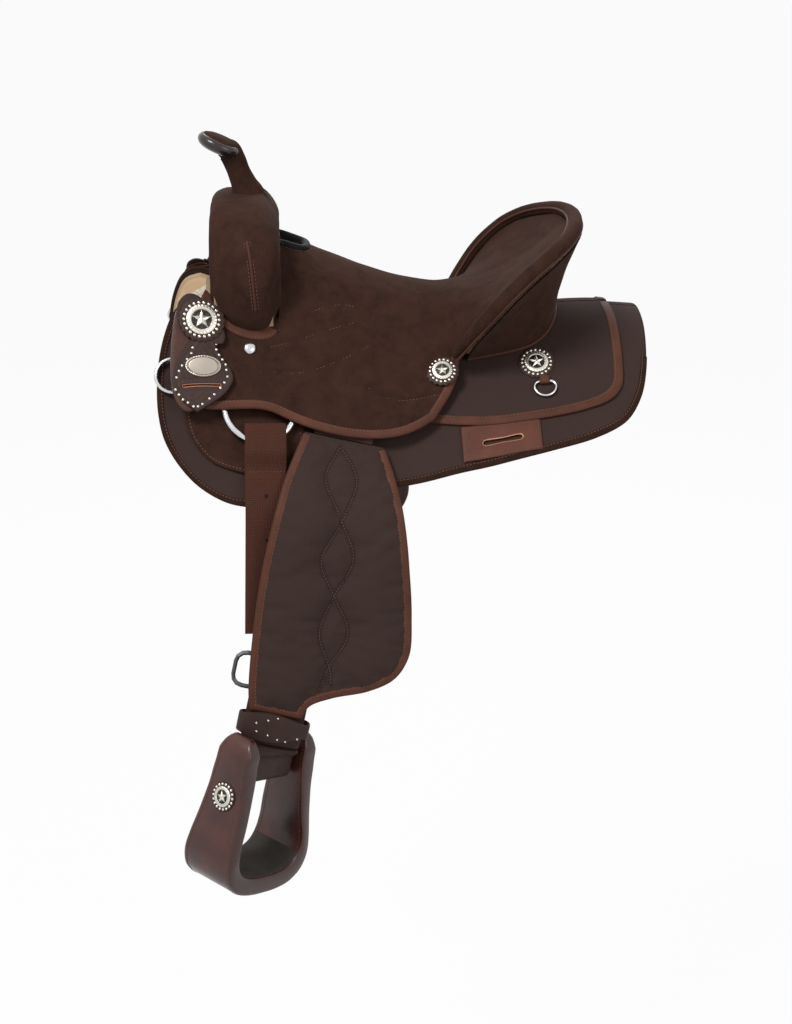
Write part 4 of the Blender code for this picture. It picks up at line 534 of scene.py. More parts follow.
def add_piece(name, verts, faces, mat, body, pattern=None, replaces=(), matrix=None, smooth=45):
    """A mesh object that rides on a body, faces turned outwards."""
    verts = np.asarray(verts, float)
    if matrix is not None:
        verts = verts @ np.asarray(matrix)[:3, :3].T + np.asarray(matrix)[:3, 3]
    if volume(verts - verts.mean(0), faces) < 0:
        faces = [tuple(reversed(face)) for face in faces]
    mesh = bpy.data.meshes.new(name)
    mesh.from_pydata([tuple(v) for v in verts], [], [tuple(int(i) for i in f) for f in faces])
    if pattern is not None:
        layer = mesh.attributes.new("pattern", "FLOAT_VECTOR", "POINT")
        layer.data.foreach_set("vector", np.asarray(pattern, np.float32).ravel())
    mesh.shade_smooth()
    mesh.set_sharp_from_angle(angle=math.radians(smooth))
    obj = bpy.data.objects.new(name, mesh)
    bpy.context.scene.collection.objects.link(obj)
    mesh.materials.append(mat)
    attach(obj, body)
    if replaces:
        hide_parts(*replaces)
    return obj


def panel_mesh(place, verts, faces, edge, low, high, round_edge=ROUND_EDGE, relief=None, moved=None):
    """Close a filled pattern into a body between two heights, its upper edge rounded."""
    share = np.clip(edge / round_edge, 0.0, 1.0)
    top = high - round_edge * (1 - np.sqrt(np.maximum(1 - (1 - share) ** 2, 0.0)))
    if relief is not None:
        top = top + relief(verts[:, 0], verts[:, 1], edge)
    upper = verts if moved is None else moved
    bottom = low + 0.4 * round_edge * (1 - share)
    points = np.vstack([place(upper[:, 0], upper[:, 1], top), place(verts[:, 0], verts[:, 1], bottom)])
    count = len(verts)
    solid = [tuple(f) for f in faces] + [tuple(reversed(f + count)) for f in faces]
    solid += [(b, a, a + count, b + count) for a, b in boundary(faces)]
    flat = np.column_stack([verts, edge])
    return points, solid, np.vstack([flat, flat])


def panel(name, loops, place, low, high, mat, body, side_matrix, step=0.006, replaces=()):
    """A sheet of leather or cloth cut to a pattern, laid between two heights."""
    verts, faces, edge = triangulated(loops, step, (ROUND_EDGE * 0.4, ROUND_EDGE))
    points, solid, flat = panel_mesh(place, verts, faces, edge, low, high)
    return add_piece(name, points, solid, mat, body, flat, replaces, side_matrix)


def swept(sections, closed):
    """Faces that join a row of equal closed sections, with caps where the row is open."""
    count, size = sections.shape[:2]
    points = sections.reshape(-1, 3)
    faces = []
    for k in range(count if closed else count - 1):
        a, b = k * size, ((k + 1) % count) * size
        faces += [(a + j, a + (j + 1) % size, b + (j + 1) % size, b + j) for j in range(size)]
    if not closed:
        faces.append(tuple(reversed(range(size))))
        faces.append(tuple(range((count - 1) * size, count * size)))
    return points, faces


def strip(name, loop, place, profile, mat, body, side_matrix, keep=None):
    """A strip along an outline: profile points are (in from the edge, height)."""
    normal = inward(loop)
    closed = keep is None
    chosen = np.arange(len(loop)) if closed else keep
    rows = []
    for d, n in profile:
        flat = loop[chosen] + normal[chosen] * d
        rows.append(place(flat[:, 0], flat[:, 1], np.full(len(chosen), n)))
    sections = np.stack(rows, 1)
    points, faces = swept(sections, closed)
    run = np.r_[0.0, np.cumsum(np.linalg.norm(np.diff(loop[chosen], axis=0), axis=1))]
    flat = np.array([[r, d, min(d - profile[-1][0] + 0.002, 0.01)] for r in run for d, _ in profile])
    return add_piece(name, points, faces, mat, body, flat, (), side_matrix)


def binding_profile(width, low, high, thick=0.0011):
    """Folded binding: flat on top, wrapped round the edge."""
    return [(width, high - 0.0006), (width, high + thick * 0.55), (width - 0.0010, high + thick),
            (width * 0.5, high + thick * 1.15), (0.0012, high + thick * 0.9), (-thick * 0.7, high - 0.0002),
            (-thick, (low + high) / 2), (-thick * 0.7, low + 0.0004), (0.0006, low + 0.0001)]


def ring_section(radius, count=8):
    turn = np.arange(count) * 2 * math.pi / count
    return np.cos(turn) * radius, np.sin(turn) * radius


def frames_along(line, closed=False, up=None):
    """Tangent, side and up at each point of a line."""
    if closed:
        tangent = np.roll(line, -1, axis=0) - np.roll(line, 1, axis=0)
    else:
        tangent = np.gradient(line, axis=0)
    tangent /= np.linalg.norm(tangent, axis=1)[:, None] + 1e-12
    if up is None:
        up = np.zeros_like(line)
        guide = np.array((0.0, 0.0, 1.0)) if abs(tangent[0][2]) < 0.9 else np.array((0.0, 1.0, 0.0))
        for k, t in enumerate(tangent):
            guide = guide - t * (guide @ t)
            guide /= np.linalg.norm(guide)
            up[k] = guide
    side = np.cross(tangent, up)
    side /= np.linalg.norm(side, axis=1)[:, None] + 1e-12
    return tangent, side, np.cross(side, tangent)


def tube(name, line, radius, mat, body, closed=False, sides=10, matrix=None, replaces=()):
    """A round cord or wire along a line; radius may vary along it."""
    line = np.asarray(line, float)
    _, side, above = frames_along(line, closed)
    reach = np.asarray(radius, float) + np.zeros(len(line))
    a, b = ring_section(1.0, sides)
    sections = (line[:, None] + side[:, None] * a[None, :, None] * reach[:, None, None]
                + above[:, None] * b[None, :, None] * reach[:, None, None])
    points, faces = swept(sections, closed)
    return add_piece(name, points, faces, mat, body, None, replaces, matrix)


STITCH_RINGS = ((-0.72, 0.75), (0.0, 1.0), (0.72, 0.75))
STITCH_SHARE = 0.68
STITCH_SIDES = 5


def stitch_mesh(lines, pitch, radius):
    """Thread stitches along lines; each line is points and their up directions."""
    points, faces = [], []
    for line, up in lines:
        run = np.r_[0.0, np.cumsum(np.linalg.norm(np.diff(line, axis=0), axis=1))]
        count = max(1, int(run[-1] / pitch))
        for k in range(count):
            middle = (k + 0.5) * run[-1] / count
            ends = [np.array([np.interp(middle + sign * pitch * STITCH_SHARE / 2, run, line[:, j])
                              for j in range(3)]) for sign in (-1, 1)]
            above = np.array([np.interp(middle, run, up[:, j]) for j in range(3)])
            axis = ends[1] - ends[0]
            half = np.linalg.norm(axis) / 2
            axis /= half * 2 + 1e-12
            side = np.cross(axis, above)
            side /= np.linalg.norm(side) + 1e-12
            centre = (ends[0] + ends[1]) / 2
            start = len(points)
            points.append(centre - axis * half - above * radius * 0.5)
            for place, wide in STITCH_RINGS:
                for turn in range(STITCH_SIDES):
                    angle = 2 * math.pi * turn / STITCH_SIDES
                    points.append(centre + axis * half * place + side * radius * wide * math.cos(angle)
                                  + above * radius * (wide * math.sin(angle) * 0.8 - (1 - wide) * 0.8))
            points.append(centre + axis * half - above * radius * 0.5)
            tip = start + 1 + STITCH_SIDES * len(STITCH_RINGS)
            for turn in range(STITCH_SIDES):
                after = (turn + 1) % STITCH_SIDES
                faces.append((start, start + 1 + after, start + 1 + turn))
                for ring in range(len(STITCH_RINGS) - 1):
                    low = start + 1 + ring * STITCH_SIDES
                    faces.append((low + turn, low + after, low + STITCH_SIDES + after, low + STITCH_SIDES + turn))
                faces.append((tip, tip - STITCH_SIDES + turn, tip - STITCH_SIDES + after))
    return np.array(points), faces


def seam(name, lines, pitch, radius, mat, body="saddle", matrix=None):
    """Thread stitches along lines in space, as one piece."""
    points, faces = stitch_mesh(lines, pitch, radius)
    return add_piece(name, points, faces, mat, body, None, (), matrix)


def stitches(name, flat_lines, place, height, mat, body, matrix, pitch=STITCH_PITCH):
    """Stitches along lines drawn on a pattern."""
    lines = []
    for flat in flat_lines:
        low = place(flat[:, 0], flat[:, 1], np.full(len(flat), height))
        high = place(flat[:, 0], flat[:, 1], np.full(len(flat), height + 0.001))
        lines.append((low, (high - low) / np.linalg.norm(high - low, axis=1)[:, None]))
    return seam(name, lines, pitch, THREAD_RADIUS, mat, body, matrix)


def inset_line(loop, inset, keep=None):
    line = loop + inward(loop) * inset
    return line if keep is None else line[keep]


# ---- Skirts, jockeys and rigging leather
def skirt_loop(inset=0.0):
    return closed_curve((
        (-0.2470, 0.0935 + inset), (-0.2580, 0.1020 + inset), (-0.2690 + inset, 0.1180), (-0.2790 + inset, 0.1450),
        (-0.2855 + inset, 0.1750), (-0.2885 + inset, 0.2080), (-0.2875 + inset, 0.2400),
        (-0.2810 + inset, 0.2700 - inset * 0.5), (-0.2660 + inset * 0.7, 0.2960 - inset * 0.7),
        (-0.2440, 0.3160 - inset), (-0.2160, 0.3240 - inset), (-0.1850, 0.3210 - inset),
        (-0.1300, 0.3020 - inset), (-0.0700, 0.2730 - inset), (-0.0150, 0.2510 - inset),
        (0.0450, 0.2390 - inset), (0.1100, 0.2330 - inset), (0.1700, 0.2260 - inset), (0.2250, 0.2140 - inset),
        (0.2620 - inset * 0.6, 0.1930 - inset * 0.8), (0.2830 - inset, 0.1600), (0.2950 - inset, 0.1180),
        (0.3010 - inset, 0.0620), (0.3030 - inset, 0.0004), (0.2200, 0.0004), (0.1500, 0.0004),
        (0.1000, 0.0220), (0.0400, 0.0320), (-0.0500, 0.0370), (-0.1500, 0.0420), (-0.2150, 0.0840),
    ), sharp=(23, 25))


def off_ridge(loop):
    """Indices of an outline that don't lie on the spine, in one run."""
    away = loop[:, 1] > 0.004
    start = next(k for k in range(len(loop)) if not away[k - 1] and away[k])
    return np.array([(start + k) % len(loop) for k in range(int(away.sum()))])


for side, word in SIDES:
    where = flank_side(side)
    loop = skirt_loop()
    keep = off_ridge(loop)
    panel("skirt_" + word + "_cloth", [loop], flank, 0.0, SKIRT_TOP, CORDURA, "saddle", where,
          step=0.0075, replaces=("skirt_" + word,))
    lower = np.array([k for k in keep if loop[k][0] < -0.235 or loop[k][1] > 0.100])
    strip("skirt_" + word + "_binding", loop, flank, binding_profile(0.0070, 0.0, SKIRT_TOP, 0.0009),
          DARK_SUEDE, "saddle", where, keep=lower)
    stitches("skirt_" + word + "_stitching", [inset_line(loop, 0.0052, lower)], flank, SKIRT_TOP + 0.0011,
             THREAD, "saddle", where)

fleece_loop = closed_curve([(x, s) for x, s in skirt_loop(0.012)[::9] if s > 0.012 and (x > -0.215 or s > 0.150)],
                           0.006)
FLEECE_THICK = 0.0171


for side, word in SIDES:
    verts, faces, edge = triangulated([fleece_loop], 0.006, (0.003,))
    rng = np.random.default_rng(11)
    share = np.clip(edge / 0.009, 0.0, 1.0)
    depth = -GAP - FLEECE_THICK * (0.35 + 0.65 * np.sqrt(share)) + rng.normal(0, 0.0009, len(verts)) * share
    top = flank(verts[:, 0], verts[:, 1], np.full(len(verts), -GAP))
    low = flank(verts[:, 0], verts[:, 1], depth)
    count = len(verts)
    solid = [tuple(f) for f in faces] + [tuple(reversed(f + count)) for f in faces]
    solid += [(b, a, a + count, b + count) for a, b in boundary(faces)]
    add_piece("fleece_" + word + "_wool", np.vstack([top, low]), solid, FLEECE, "saddle",
              np.vstack([np.column_stack([verts, edge])] * 2), ("fleece",), flank_side(side))

REAR_JOCKEY = closed_curve((
    (0.1500, 0.0004), (0.2100, 0.0004), (0.2640, 0.0004), (0.2660, 0.0560), (0.2655, 0.1100), (0.2600, 0.1480),
    (0.2450, 0.1660), (0.2180, 0.1770), (0.1800, 0.1830), (0.1200, 0.1840), (0.0700, 0.1780), (0.0270, 0.1680),
    (0.0300, 0.1300), (0.0650, 0.0860), (0.1480, 0.0850), (0.1495, 0.0450),
), sharp=(0, 2, 11, 13, 14))
PATCH = closed_curve(((0.0660, 0.1800), (0.1600, 0.1850), (0.1602, 0.2255), (0.0665, 0.2275)), sharp=(0, 1, 2, 3))
PATCH_SLOT = closed_curve(((0.0920, 0.2040), (0.1140, 0.2035), (0.1360, 0.2030), (0.1375, 0.2055),
                           (0.1360, 0.2080), (0.1140, 0.2085), (0.0920, 0.2090), (0.0905, 0.2065)), 0.002)
RIGGING_PANEL = closed_curve((
    (-0.2560, 0.1280), (-0.2575, 0.1900), (-0.2565, 0.2400), (-0.2480, 0.2660), (-0.2280, 0.2830), (-0.2000, 0.2850),
    (-0.1600, 0.2800), (-0.1300, 0.2740), (-0.1180, 0.2000), (-0.1100, 0.1280),
), sharp=(0, 9))
for side, word in SIDES:
    where = flank_side(side)
    panel("rear_jockey_" + word + "_cloth", [REAR_JOCKEY], flank, ON_SKIRT, REAR_JOCKEY_TOP, CORDURA, "saddle",
          where, step=0.0065, replaces=("rear_jockey_" + word,))
    keep = np.array([k for k in off_ridge(REAR_JOCKEY) if REAR_JOCKEY[k][0] > 0.155 or REAR_JOCKEY[k][1] > 0.150])
    keep = np.array([k for k in keep if REAR_JOCKEY[k][1] > 0.004])
    strip("rear_jockey_" + word + "_binding", REAR_JOCKEY, flank,
          binding_profile(0.0105, ON_SKIRT, REAR_JOCKEY_TOP, 0.0010), BINDING, "saddle", where, keep=keep)
    stitches("rear_jockey_" + word + "_stitching", [inset_line(REAR_JOCKEY, 0.0085, keep)], flank,
             REAR_JOCKEY_TOP + 0.0012, THREAD, "saddle", where)
    panel("rear_rig_patch_" + word + "_leather", [PATCH, PATCH_SLOT], flank, ON_SKIRT - 0.0002, ON_SKIRT + 0.0026,
          PATCH_LEATHER, "saddle", where, step=0.005, replaces=("rear_rig_patch_" + word,))
    stitches("rear_rig_patch_" + word + "_stitching",
             [resampled(inset_line(PATCH, 0.003), 0.002), resampled(inset_line(PATCH_SLOT, -0.003), 0.002)], flank,
             ON_SKIRT + 0.0026, THREAD, "saddle", where, pitch=CLOSE_PITCH)
    strip("rear_rig_slot_" + word, PATCH_SLOT, flank,
          [(0.0, ON_SKIRT + 0.0004), (0.0, ON_SKIRT + 0.0030), (-0.0012, ON_SKIRT + 0.0032),
           (-0.0016, ON_SKIRT + 0.0026)], COPPER, "saddle", where)
    panel("rigging_panel_" + word + "_suede", [RIGGING_PANEL], flank, ON_SKIRT, RIGGING_TOP, SUEDE, "saddle",
          where, step=0.006, replaces=("rigging_panel_" + word,))
    lower = np.array([k for k in range(len(RIGGING_PANEL)) if RIGGING_PANEL[k][1] > 0.150
                      and RIGGING_PANEL[k][0] < -0.119])
    stitches("rigging_panel_" + word + "_stitching", [inset_line(RIGGING_PANEL, 0.004, lower)], flank, RIGGING_TOP,
             THREAD, "saddle", where)


# ---- Fenders
def simulated(verts, faces, pinned, pressure, cap):
    """Blow up a flat sheet between its sewn lines with a short cloth simulation; heights up to the cap."""
    mesh = bpy.data.meshes.new("pad")
    mesh.from_pydata([(x, y, 0.0) for x, y in verts], [], [tuple(int(i) for i in f) for f in faces])
    pad = bpy.data.objects.new("pad", mesh)
    scene = bpy.context.scene
    scene.collection.objects.link(pad)
    held = pad.vertex_groups.new(name="sewn")
    held.add([int(k) for k in np.nonzero(pinned)[0]], 1.0, "REPLACE")
    cloth = pad.modifiers.new("Cloth", "CLOTH")
    cloth.settings.vertex_group_mass = "sewn"
    cloth.settings.use_pressure = True
    cloth.settings.uniform_pressure_force = pressure
    cloth.settings.quality = 6
    cloth.settings.mass = 0.010
    cloth.settings.tension_stiffness = 12.0
    cloth.settings.compression_stiffness = 12.0
    cloth.settings.shear_stiffness = 4.0
    cloth.settings.bending_stiffness = 0.25
    cloth.settings.shrink_min = -0.05
    cloth.settings.effector_weights.gravity = 0.0
    cloth.collision_settings.use_self_collision = False
    cloth.point_cache.frame_start = 1
    cloth.point_cache.frame_end = 20
    for number in range(1, 21):
        scene.frame_set(number)
    graph = bpy.context.evaluated_depsgraph_get()
    result = pad.evaluated_get(graph)
    places = np.empty(len(verts) * 3)
    result.data.vertices.foreach_get("co", places)
    scene.frame_set(1)
    bpy.data.objects.remove(pad, do_unlink=True)
    bpy.data.meshes.remove(mesh)
    places = places.reshape(-1, 3)
    shift = np.clip(places[:, :2] - verts, -0.002, 0.002)
    height = np.abs(places[:, 2])
    return shift, cap * np.tanh(height / cap)


FENDER_LIFT = 0.0120
FENDER_TOP = FENDER_LIFT + 0.0040
FENDER_PUFF = 0.0105
FENDER_LOOP = closed_curve((
    (-0.0460, 0.0020), (-0.0580, 0.0690), (-0.0625, 0.1540), (-0.0595, 0.2250), (-0.0500, 0.3090), (-0.0440, 0.3330),
    (0.0150, 0.3330), (0.0220, 0.3160), (0.0460, 0.3010), (0.0870, 0.2840), (0.1130, 0.2640), (0.1235, 0.2350),
    (0.1170, 0.1900), (0.0990, 0.1240), (0.0690, 0.0420), (0.0490, 0.0020),
), sharp=(0, 5, 6, 15))
QUILT_LINES = [open_curve(points, 0.0045) for points in (
    ((-0.0020, 0.0130), (-0.0120, 0.0560), (0.0150, 0.0985), (0.0370, 0.1350), (0.0240, 0.1810), (0.0160, 0.2270),
     (0.0350, 0.2640), (0.0420, 0.2850)),
    ((-0.0010, 0.0120), (0.0240, 0.0500), (0.0155, 0.0990), (0.0010, 0.1430), (0.0245, 0.1815), (0.0490, 0.2210),
     (0.0355, 0.2650), (0.0300, 0.2950)),
)]


def padded_fender():
    """The fender's upper sheet: triangles that follow the quilting, blown up between its lines."""
    verts, faces, edge = triangulated([FENDER_LOOP], 0.0050, (0.0006, 0.0020, 0.0050), QUILT_LINES)
    sewn = np.min([distance(verts, line, False) for line in QUILT_LINES], axis=0)
    pinned = (edge < 0.0085) | (sewn < 0.0004)
    shift, height = simulated(verts, faces, pinned, 300.0, FENDER_PUFF)
    return verts, faces, edge, shift, height


fender_verts, fender_faces, fender_edge, fender_shift, fender_height = padded_fender()
for side, word in SIDES:
    where = fender_side(side)
    body = word + "_fender"
    points, solid, flat = panel_mesh(FENDER, fender_verts, fender_faces, fender_edge, FENDER_LIFT, FENDER_TOP,
                                     ROUND_EDGE, lambda u, v, edge: fender_height, fender_verts + fender_shift)
    # The pattern's third value becomes the distance to the quilting, with the edge distance raised 3 mm, so the
    # cordura paints its shade in the sewn grooves
    sewn = np.min([distance(flat[:, :2], line, False) for line in QUILT_LINES], axis=0)
    flat[:, 2] = np.minimum(flat[:, 2] + 0.0030, sewn)
    cloth = add_piece("fender_" + word + "_padded", points, solid, CORDURA, body, flat,
                      ("fender_" + word,), where, smooth=60)
    sides = np.array([k for k in range(len(FENDER_LOOP)) if FENDER_LOOP[k][1] > 0.004])
    start = int(np.argmin(np.abs(FENDER_LOOP[sides][:, 0] + 0.046) + FENDER_LOOP[sides][:, 1]))
    sides = np.roll(sides, -start)
    strip("fender_" + word + "_binding", FENDER_LOOP, FENDER,
          binding_profile(0.0088, FENDER_LIFT, FENDER_TOP, 0.0013), BINDING, body, where, keep=sides)
    stitches("fender_" + word + "_edge_stitching", [inset_line(FENDER_LOOP, 0.0068, sides)], FENDER,
             FENDER_TOP + 0.0014, THREAD, body, where)
    stitches("fender_" + word + "_quilting", [resampled(line, 0.002) for line in QUILT_LINES], FENDER,
             FENDER_TOP + 0.0003, THREAD, body, where, pitch=CLOSE_PITCH)


# ---- The photograph's view, to place fine lines where they are seen
TARGET = Vector((0.0, 0.0, -0.235))
AZIMUTH, ELEVATION, DISTANCE = math.radians(-4.0), math.radians(21.0), 2.2
LENS = 59.5
SENSOR = 36.0
WIDE, HIGH = 792, 1024
PIXEL_STEP = 6.0
BACKWARDS = Vector((math.sin(AZIMUTH) * math.cos(ELEVATION), -math.cos(AZIMUTH) * math.cos(ELEVATION),
                    math.sin(ELEVATION)))
EYE = TARGET + BACKWARDS * DISTANCE
VIEW_TURN = (-BACKWARDS).to_track_quat("-Z", "Y")


def surface_tree(verts, faces):
    return BVHTree.FromPolygons([Vector(v) for v in verts], [tuple(int(i) for i in f) for f in faces])


def seen_on(tree, pixels, lift=0.0):
    """Places on a surface, and its normals there, under points of the photograph."""
    places, normals = [], []
    for px, py in pixels:
        ray = VIEW_TURN @ Vector(((px - WIDE / 2) / HIGH * SENSOR / LENS,
                                  (HIGH / 2 - py) / HIGH * SENSOR / LENS, -1.0))
        hit, normal, _, _ = tree.ray_cast(EYE, ray.normalized())
        if hit is None:
            continue
        if normal.dot(ray) > 0:
            normal = -normal
        places.append(np.array(hit + normal * lift))
        normals.append(np.array(normal))
    return np.array(places), np.array(normals)


def drawn_on(tree, pixels, lift=0.0):
    """The same for a smooth line through the points."""
    return seen_on(tree, open_curve(pixels, PIXEL_STEP), lift)


def mirrored(points):
    return np.asarray(points) * TURNED


def between(low, high, share):
    return low + (high - low) * share


def along(points, share):
    """Point at a share of a smooth curve through the points, mirrored beyond its end."""
    count = len(points) - 1
    place = min(max(share, 0.0), 1.0) * count
    index = min(int(place), count - 1)
    t = place - index
    p1, p2 = np.array(points[index]), np.array(points[index + 1])
    p0 = np.array(points[index - 1]) if index > 0 else p1 * 2 - p2
    p3 = np.array(points[index + 2]) if index + 2 <= count else p1 * TURNED
    return 0.5 * (2 * p1 + (p2 - p0) * t + (2 * p0 - 5 * p1 + 4 * p2 - p3) * t**2
                  + (3 * p1 - p0 - 3 * p2 + p3) * t**3)


def unit(vector):
    return vector / (np.linalg.norm(vector) + 1e-12)


def height_over(points):
    """How far points of the near side stand out of the horse's back, and how far down it they lie."""
    spine, radius = hermite(BACK, 1, points[:, 0]), hermite(BACK, 2, points[:, 0])
    slope = np.radians(hermite(BACK, 3, points[:, 0]))
    y, z = np.abs(points[:, 1]), points[:, 2] - (spine - radius)
    turn = np.arctan2(y, z)
    steep = turn > slope
    out = np.where(steep, y * np.sin(slope) + z * np.cos(slope), np.hypot(y, z)) - radius
    down = np.where(steep, radius * slope + y * np.cos(slope) - z * np.sin(slope), radius * turn)
    return out, down


# ---- Seat
SEAT_COLUMNS, PAD_COLUMNS = 8, 4
FORK_ROWS, SEAT_ROWS, DISH_ROWS = 4, 4, 5
SEAT_LEATHER, SEAT_PAD = 0.0032, 0.0060
SEAT_LEVELS = 3
FORK_STATIONS = ((-0.2620, 0.1200, 0.2240), (-0.2345, 0.1020, 0.2260), (-0.2200, 0.0980, 0.2225),
                 (-0.1650, 0.0985, 0.1990))
SEAT_STATIONS = ((-0.1440, 0.2040, 0.1315), (-0.1100, 0.2090, 0.1192), (-0.0550, 0.2080, 0.0965),
                 (0.0000, 0.1945, 0.0765))
RIM = ((0.062, -0.108, 0.004), (0.086, -0.128, 0.040), (0.116, -0.144, 0.080), (0.146, -0.143, 0.109),
       (0.172, -0.127, 0.127), (0.195, -0.097, 0.139), (0.211, -0.054, 0.147), (0.217, 0.000, 0.150))
DISH_MIDDLE = ((0.045, 0.0675), (0.090, 0.0690), (0.130, 0.0830), (0.163, 0.1040), (0.187, 0.1260))
ROLL_RADIUS = 0.0090
DISH_EDGE = (ROLL_RADIUS + 0.0004, 0.0055)
BACK_EDGE = (-ROLL_RADIUS + 0.0006, 0.0092)
DISH_FOCUS = np.array((0.045, 0.0, 0.0))
CORNER = ((0.066, 0.112), (0.061, 0.130), (0.051, 0.148), (0.034, 0.172))


def rim_edge(share, across, under):
    """Place beside the roll: across is + towards the dish, under runs into the cantle board."""
    centre = along(RIM, share)
    tangent = unit(along(RIM, share + 0.02) - along(RIM, share - 0.02))
    towards = DISH_FOCUS - centre * np.array((1.0, 1.0, 0.0))
    towards = unit(towards - tangent * (towards @ tangent))
    below = np.cross(tangent, towards)
    return centre + towards * across + (below if below[2] <= 0 else -below) * under


def seat_row(row):
    """Key points of a row across the seat: its middle, its side and the jockey's points."""
    if row < SEAT_ROWS:
        x, lower, height = SEAT_STATIONS[row]
        rise = 0.0 if row == 0 else 1.0
        points = [flank_at(x, 0.1165 + 0.0085 * rise, JOCKEY_TOP + 0.0060 * rise),
                  flank_at(x, 0.147, JOCKEY_TOP + 0.0014 * rise)]
        points += [flank_at(x, between(0.147, lower, share), JOCKEY_TOP) for share in (0.5, 1.0)]
        return np.array((x, 0.0, height)), flank_at(x, 0.100, BAR_TOP + 0.0154), points
    middle_x, middle_z = DISH_MIDDLE[row - SEAT_ROWS]
    middle = np.array((middle_x, 0.0, middle_z))
    if row == SEAT_ROWS:
        points = [flank_at(x, s, JOCKEY_TOP - 0.0012 * k) for k, (x, s) in enumerate(CORNER)]
        return middle, rim_edge(0.0, *DISH_EDGE), points
    return middle, rim_edge((row - SEAT_ROWS) / DISH_ROWS * 0.78, *DISH_EDGE), []


def seat_point(row, column):
    """Cage point of the seat: rows 0 to 4 beside the fork, then the seat, then the dish."""
    if row < FORK_ROWS:
        x, upper, lower = FORK_STATIONS[row]
        if column <= PAD_COLUMNS:
            return flank_at(-0.1530, 0.0800, JOCKEY_TOP + 0.0030)
        share = (column - PAD_COLUMNS - 1) / (SEAT_COLUMNS - PAD_COLUMNS - 1)
        return flank_at(x, between(upper, lower, share), JOCKEY_TOP)
    row -= FORK_ROWS
    if row == SEAT_ROWS + DISH_ROWS:
        return rim_edge(between(1.0, 0.86, column / PAD_COLUMNS), *DISH_EDGE)
    middle, side, points = seat_row(row)
    if column > PAD_COLUMNS:
        return points[column - PAD_COLUMNS - 1] if points else side
    share = column / PAD_COLUMNS
    place = between(middle, side, share)
    place[2] = between(middle[2], side[2], share**2.3)
    return place


def seat_cell(row, column):
    """0 where there is no seat, 1 for the jockey alone, 2 where it is padded."""
    if row < FORK_ROWS:
        return 1 if column > PAD_COLUMNS - (row == FORK_ROWS - 1) else 0
    row -= FORK_ROWS
    if row == 0 and column < 1:
        return 0
    if row < SEAT_ROWS:
        return 2 if column < PAD_COLUMNS - (row == SEAT_ROWS - 1) else 1
    if column >= PAD_COLUMNS:
        return 0
    return 2 if row < SEAT_ROWS + DISH_ROWS - 1 and column < PAD_COLUMNS - 1 else 1


def seat_surface():
    """The seat's outer surface, mirrored and subdivided: its points, normals, faces and padding."""
    rows, wide = FORK_ROWS + SEAT_ROWS + DISH_ROWS, SEAT_COLUMNS + 1
    cage = bmesh.new()
    grid = [[cage.verts.new(seat_point(i, j)) for j in range(wide)] for i in range(rows + 1)]
    for i in range(rows):
        for j in range(SEAT_COLUMNS):
            kind = seat_cell(i, j)
            if kind:
                cage.faces.new((grid[i][j], grid[i + 1][j], grid[i + 1][j + 1], grid[i][j + 1])).material_index = kind
    bmesh.ops.delete(cage, geom=[v for v in cage.verts if not v.link_faces], context="VERTS")
    mesh = bpy.data.meshes.new("seat_cage")
    cage.to_mesh(mesh)
    cage.free()
    obj = bpy.data.objects.new("seat_cage", mesh)
    bpy.context.scene.collection.objects.link(obj)
    for _ in range(3):
        mesh.materials.append(SUEDE)
    turned = obj.modifiers.new("Mirror", "MIRROR")
    turned.use_axis = (False, True, False)
    turned.merge_threshold = 0.0001
    smooth = obj.modifiers.new("Subdivision", "SUBSURF")
    smooth.levels = SEAT_LEVELS
    smooth.render_levels = SEAT_LEVELS
    smooth.boundary_smooth = "PRESERVE_CORNERS"
    shape = obj.evaluated_get(bpy.context.evaluated_depsgraph_get()).to_mesh()
    count = len(shape.vertices)
    verts, normals, faces = np.empty(count * 3), np.empty(count * 3), np.empty(len(shape.loops), int)
    kinds = np.empty(len(shape.polygons), int)
    shape.vertices.foreach_get("co", verts)
    shape.vertices.foreach_get("normal", normals)
    shape.loops.foreach_get("vertex_index", faces)
    shape.polygons.foreach_get("material_index", kinds)
    verts, normals, faces = verts.reshape(-1, 3), normals.reshape(-1, 3), faces.reshape(-1, 4)
    bpy.data.objects.remove(obj, do_unlink=True)
    bpy.data.meshes.remove(mesh)
    if normals[:, 2].sum() < 0:
        normals, faces = -normals, faces[:, ::-1]
    pad, uses = np.zeros(count), np.zeros(count)
    for corner in range(4):
        np.add.at(pad, faces[:, corner], kinds == 2)
        np.add.at(uses, faces[:, corner], 1)
    pad /= uses
    for _ in range(6):
        total = np.zeros(count)
        for corner in range(4):
            np.add.at(total, faces[:, corner], pad[faces].mean(1))
        pad = total / uses
    return verts, normals, faces, pad


def edge_loop(faces):
    """Vertices along the one open edge of a surface, in order."""
    after = {}
    seen = set()
    for face in faces:
        for a, b in zip(face, np.roll(face, -1)):
            seen.add((int(a), int(b)))
    for a, b in seen:
        if (b, a) not in seen:
            after[a] = b
    start = next(iter(after))
    loop = [start]
    while after[loop[-1]] != start:
        loop.append(after[loop[-1]])
    return np.array(loop)


seat_verts, seat_normals, seat_faces, seat_pad = seat_surface()
SEAT_TREE = surface_tree(seat_verts, seat_faces)
FEATHER_PIXELS = (
    ((265, 335), (290, 325), (315, 310), (340, 304), (355, 306)),
    ((270, 347), (297, 340), (327, 330), (355, 322)),
    ((255, 370), (277, 372), (305, 372), (335, 362), (357, 352), (370, 345)),
    ((365, 385), (380, 395), (400, 400), (425, 397), (447, 392)),
)
feather_lines = []
for pixels in FEATHER_PIXELS:
    places, ups = drawn_on(SEAT_TREE, pixels)
    feather_lines += [(places, ups), (mirrored(places), mirrored(ups))]
feather_reach = np.min([distance(seat_verts, places, False) for places, _ in feather_lines], axis=0)


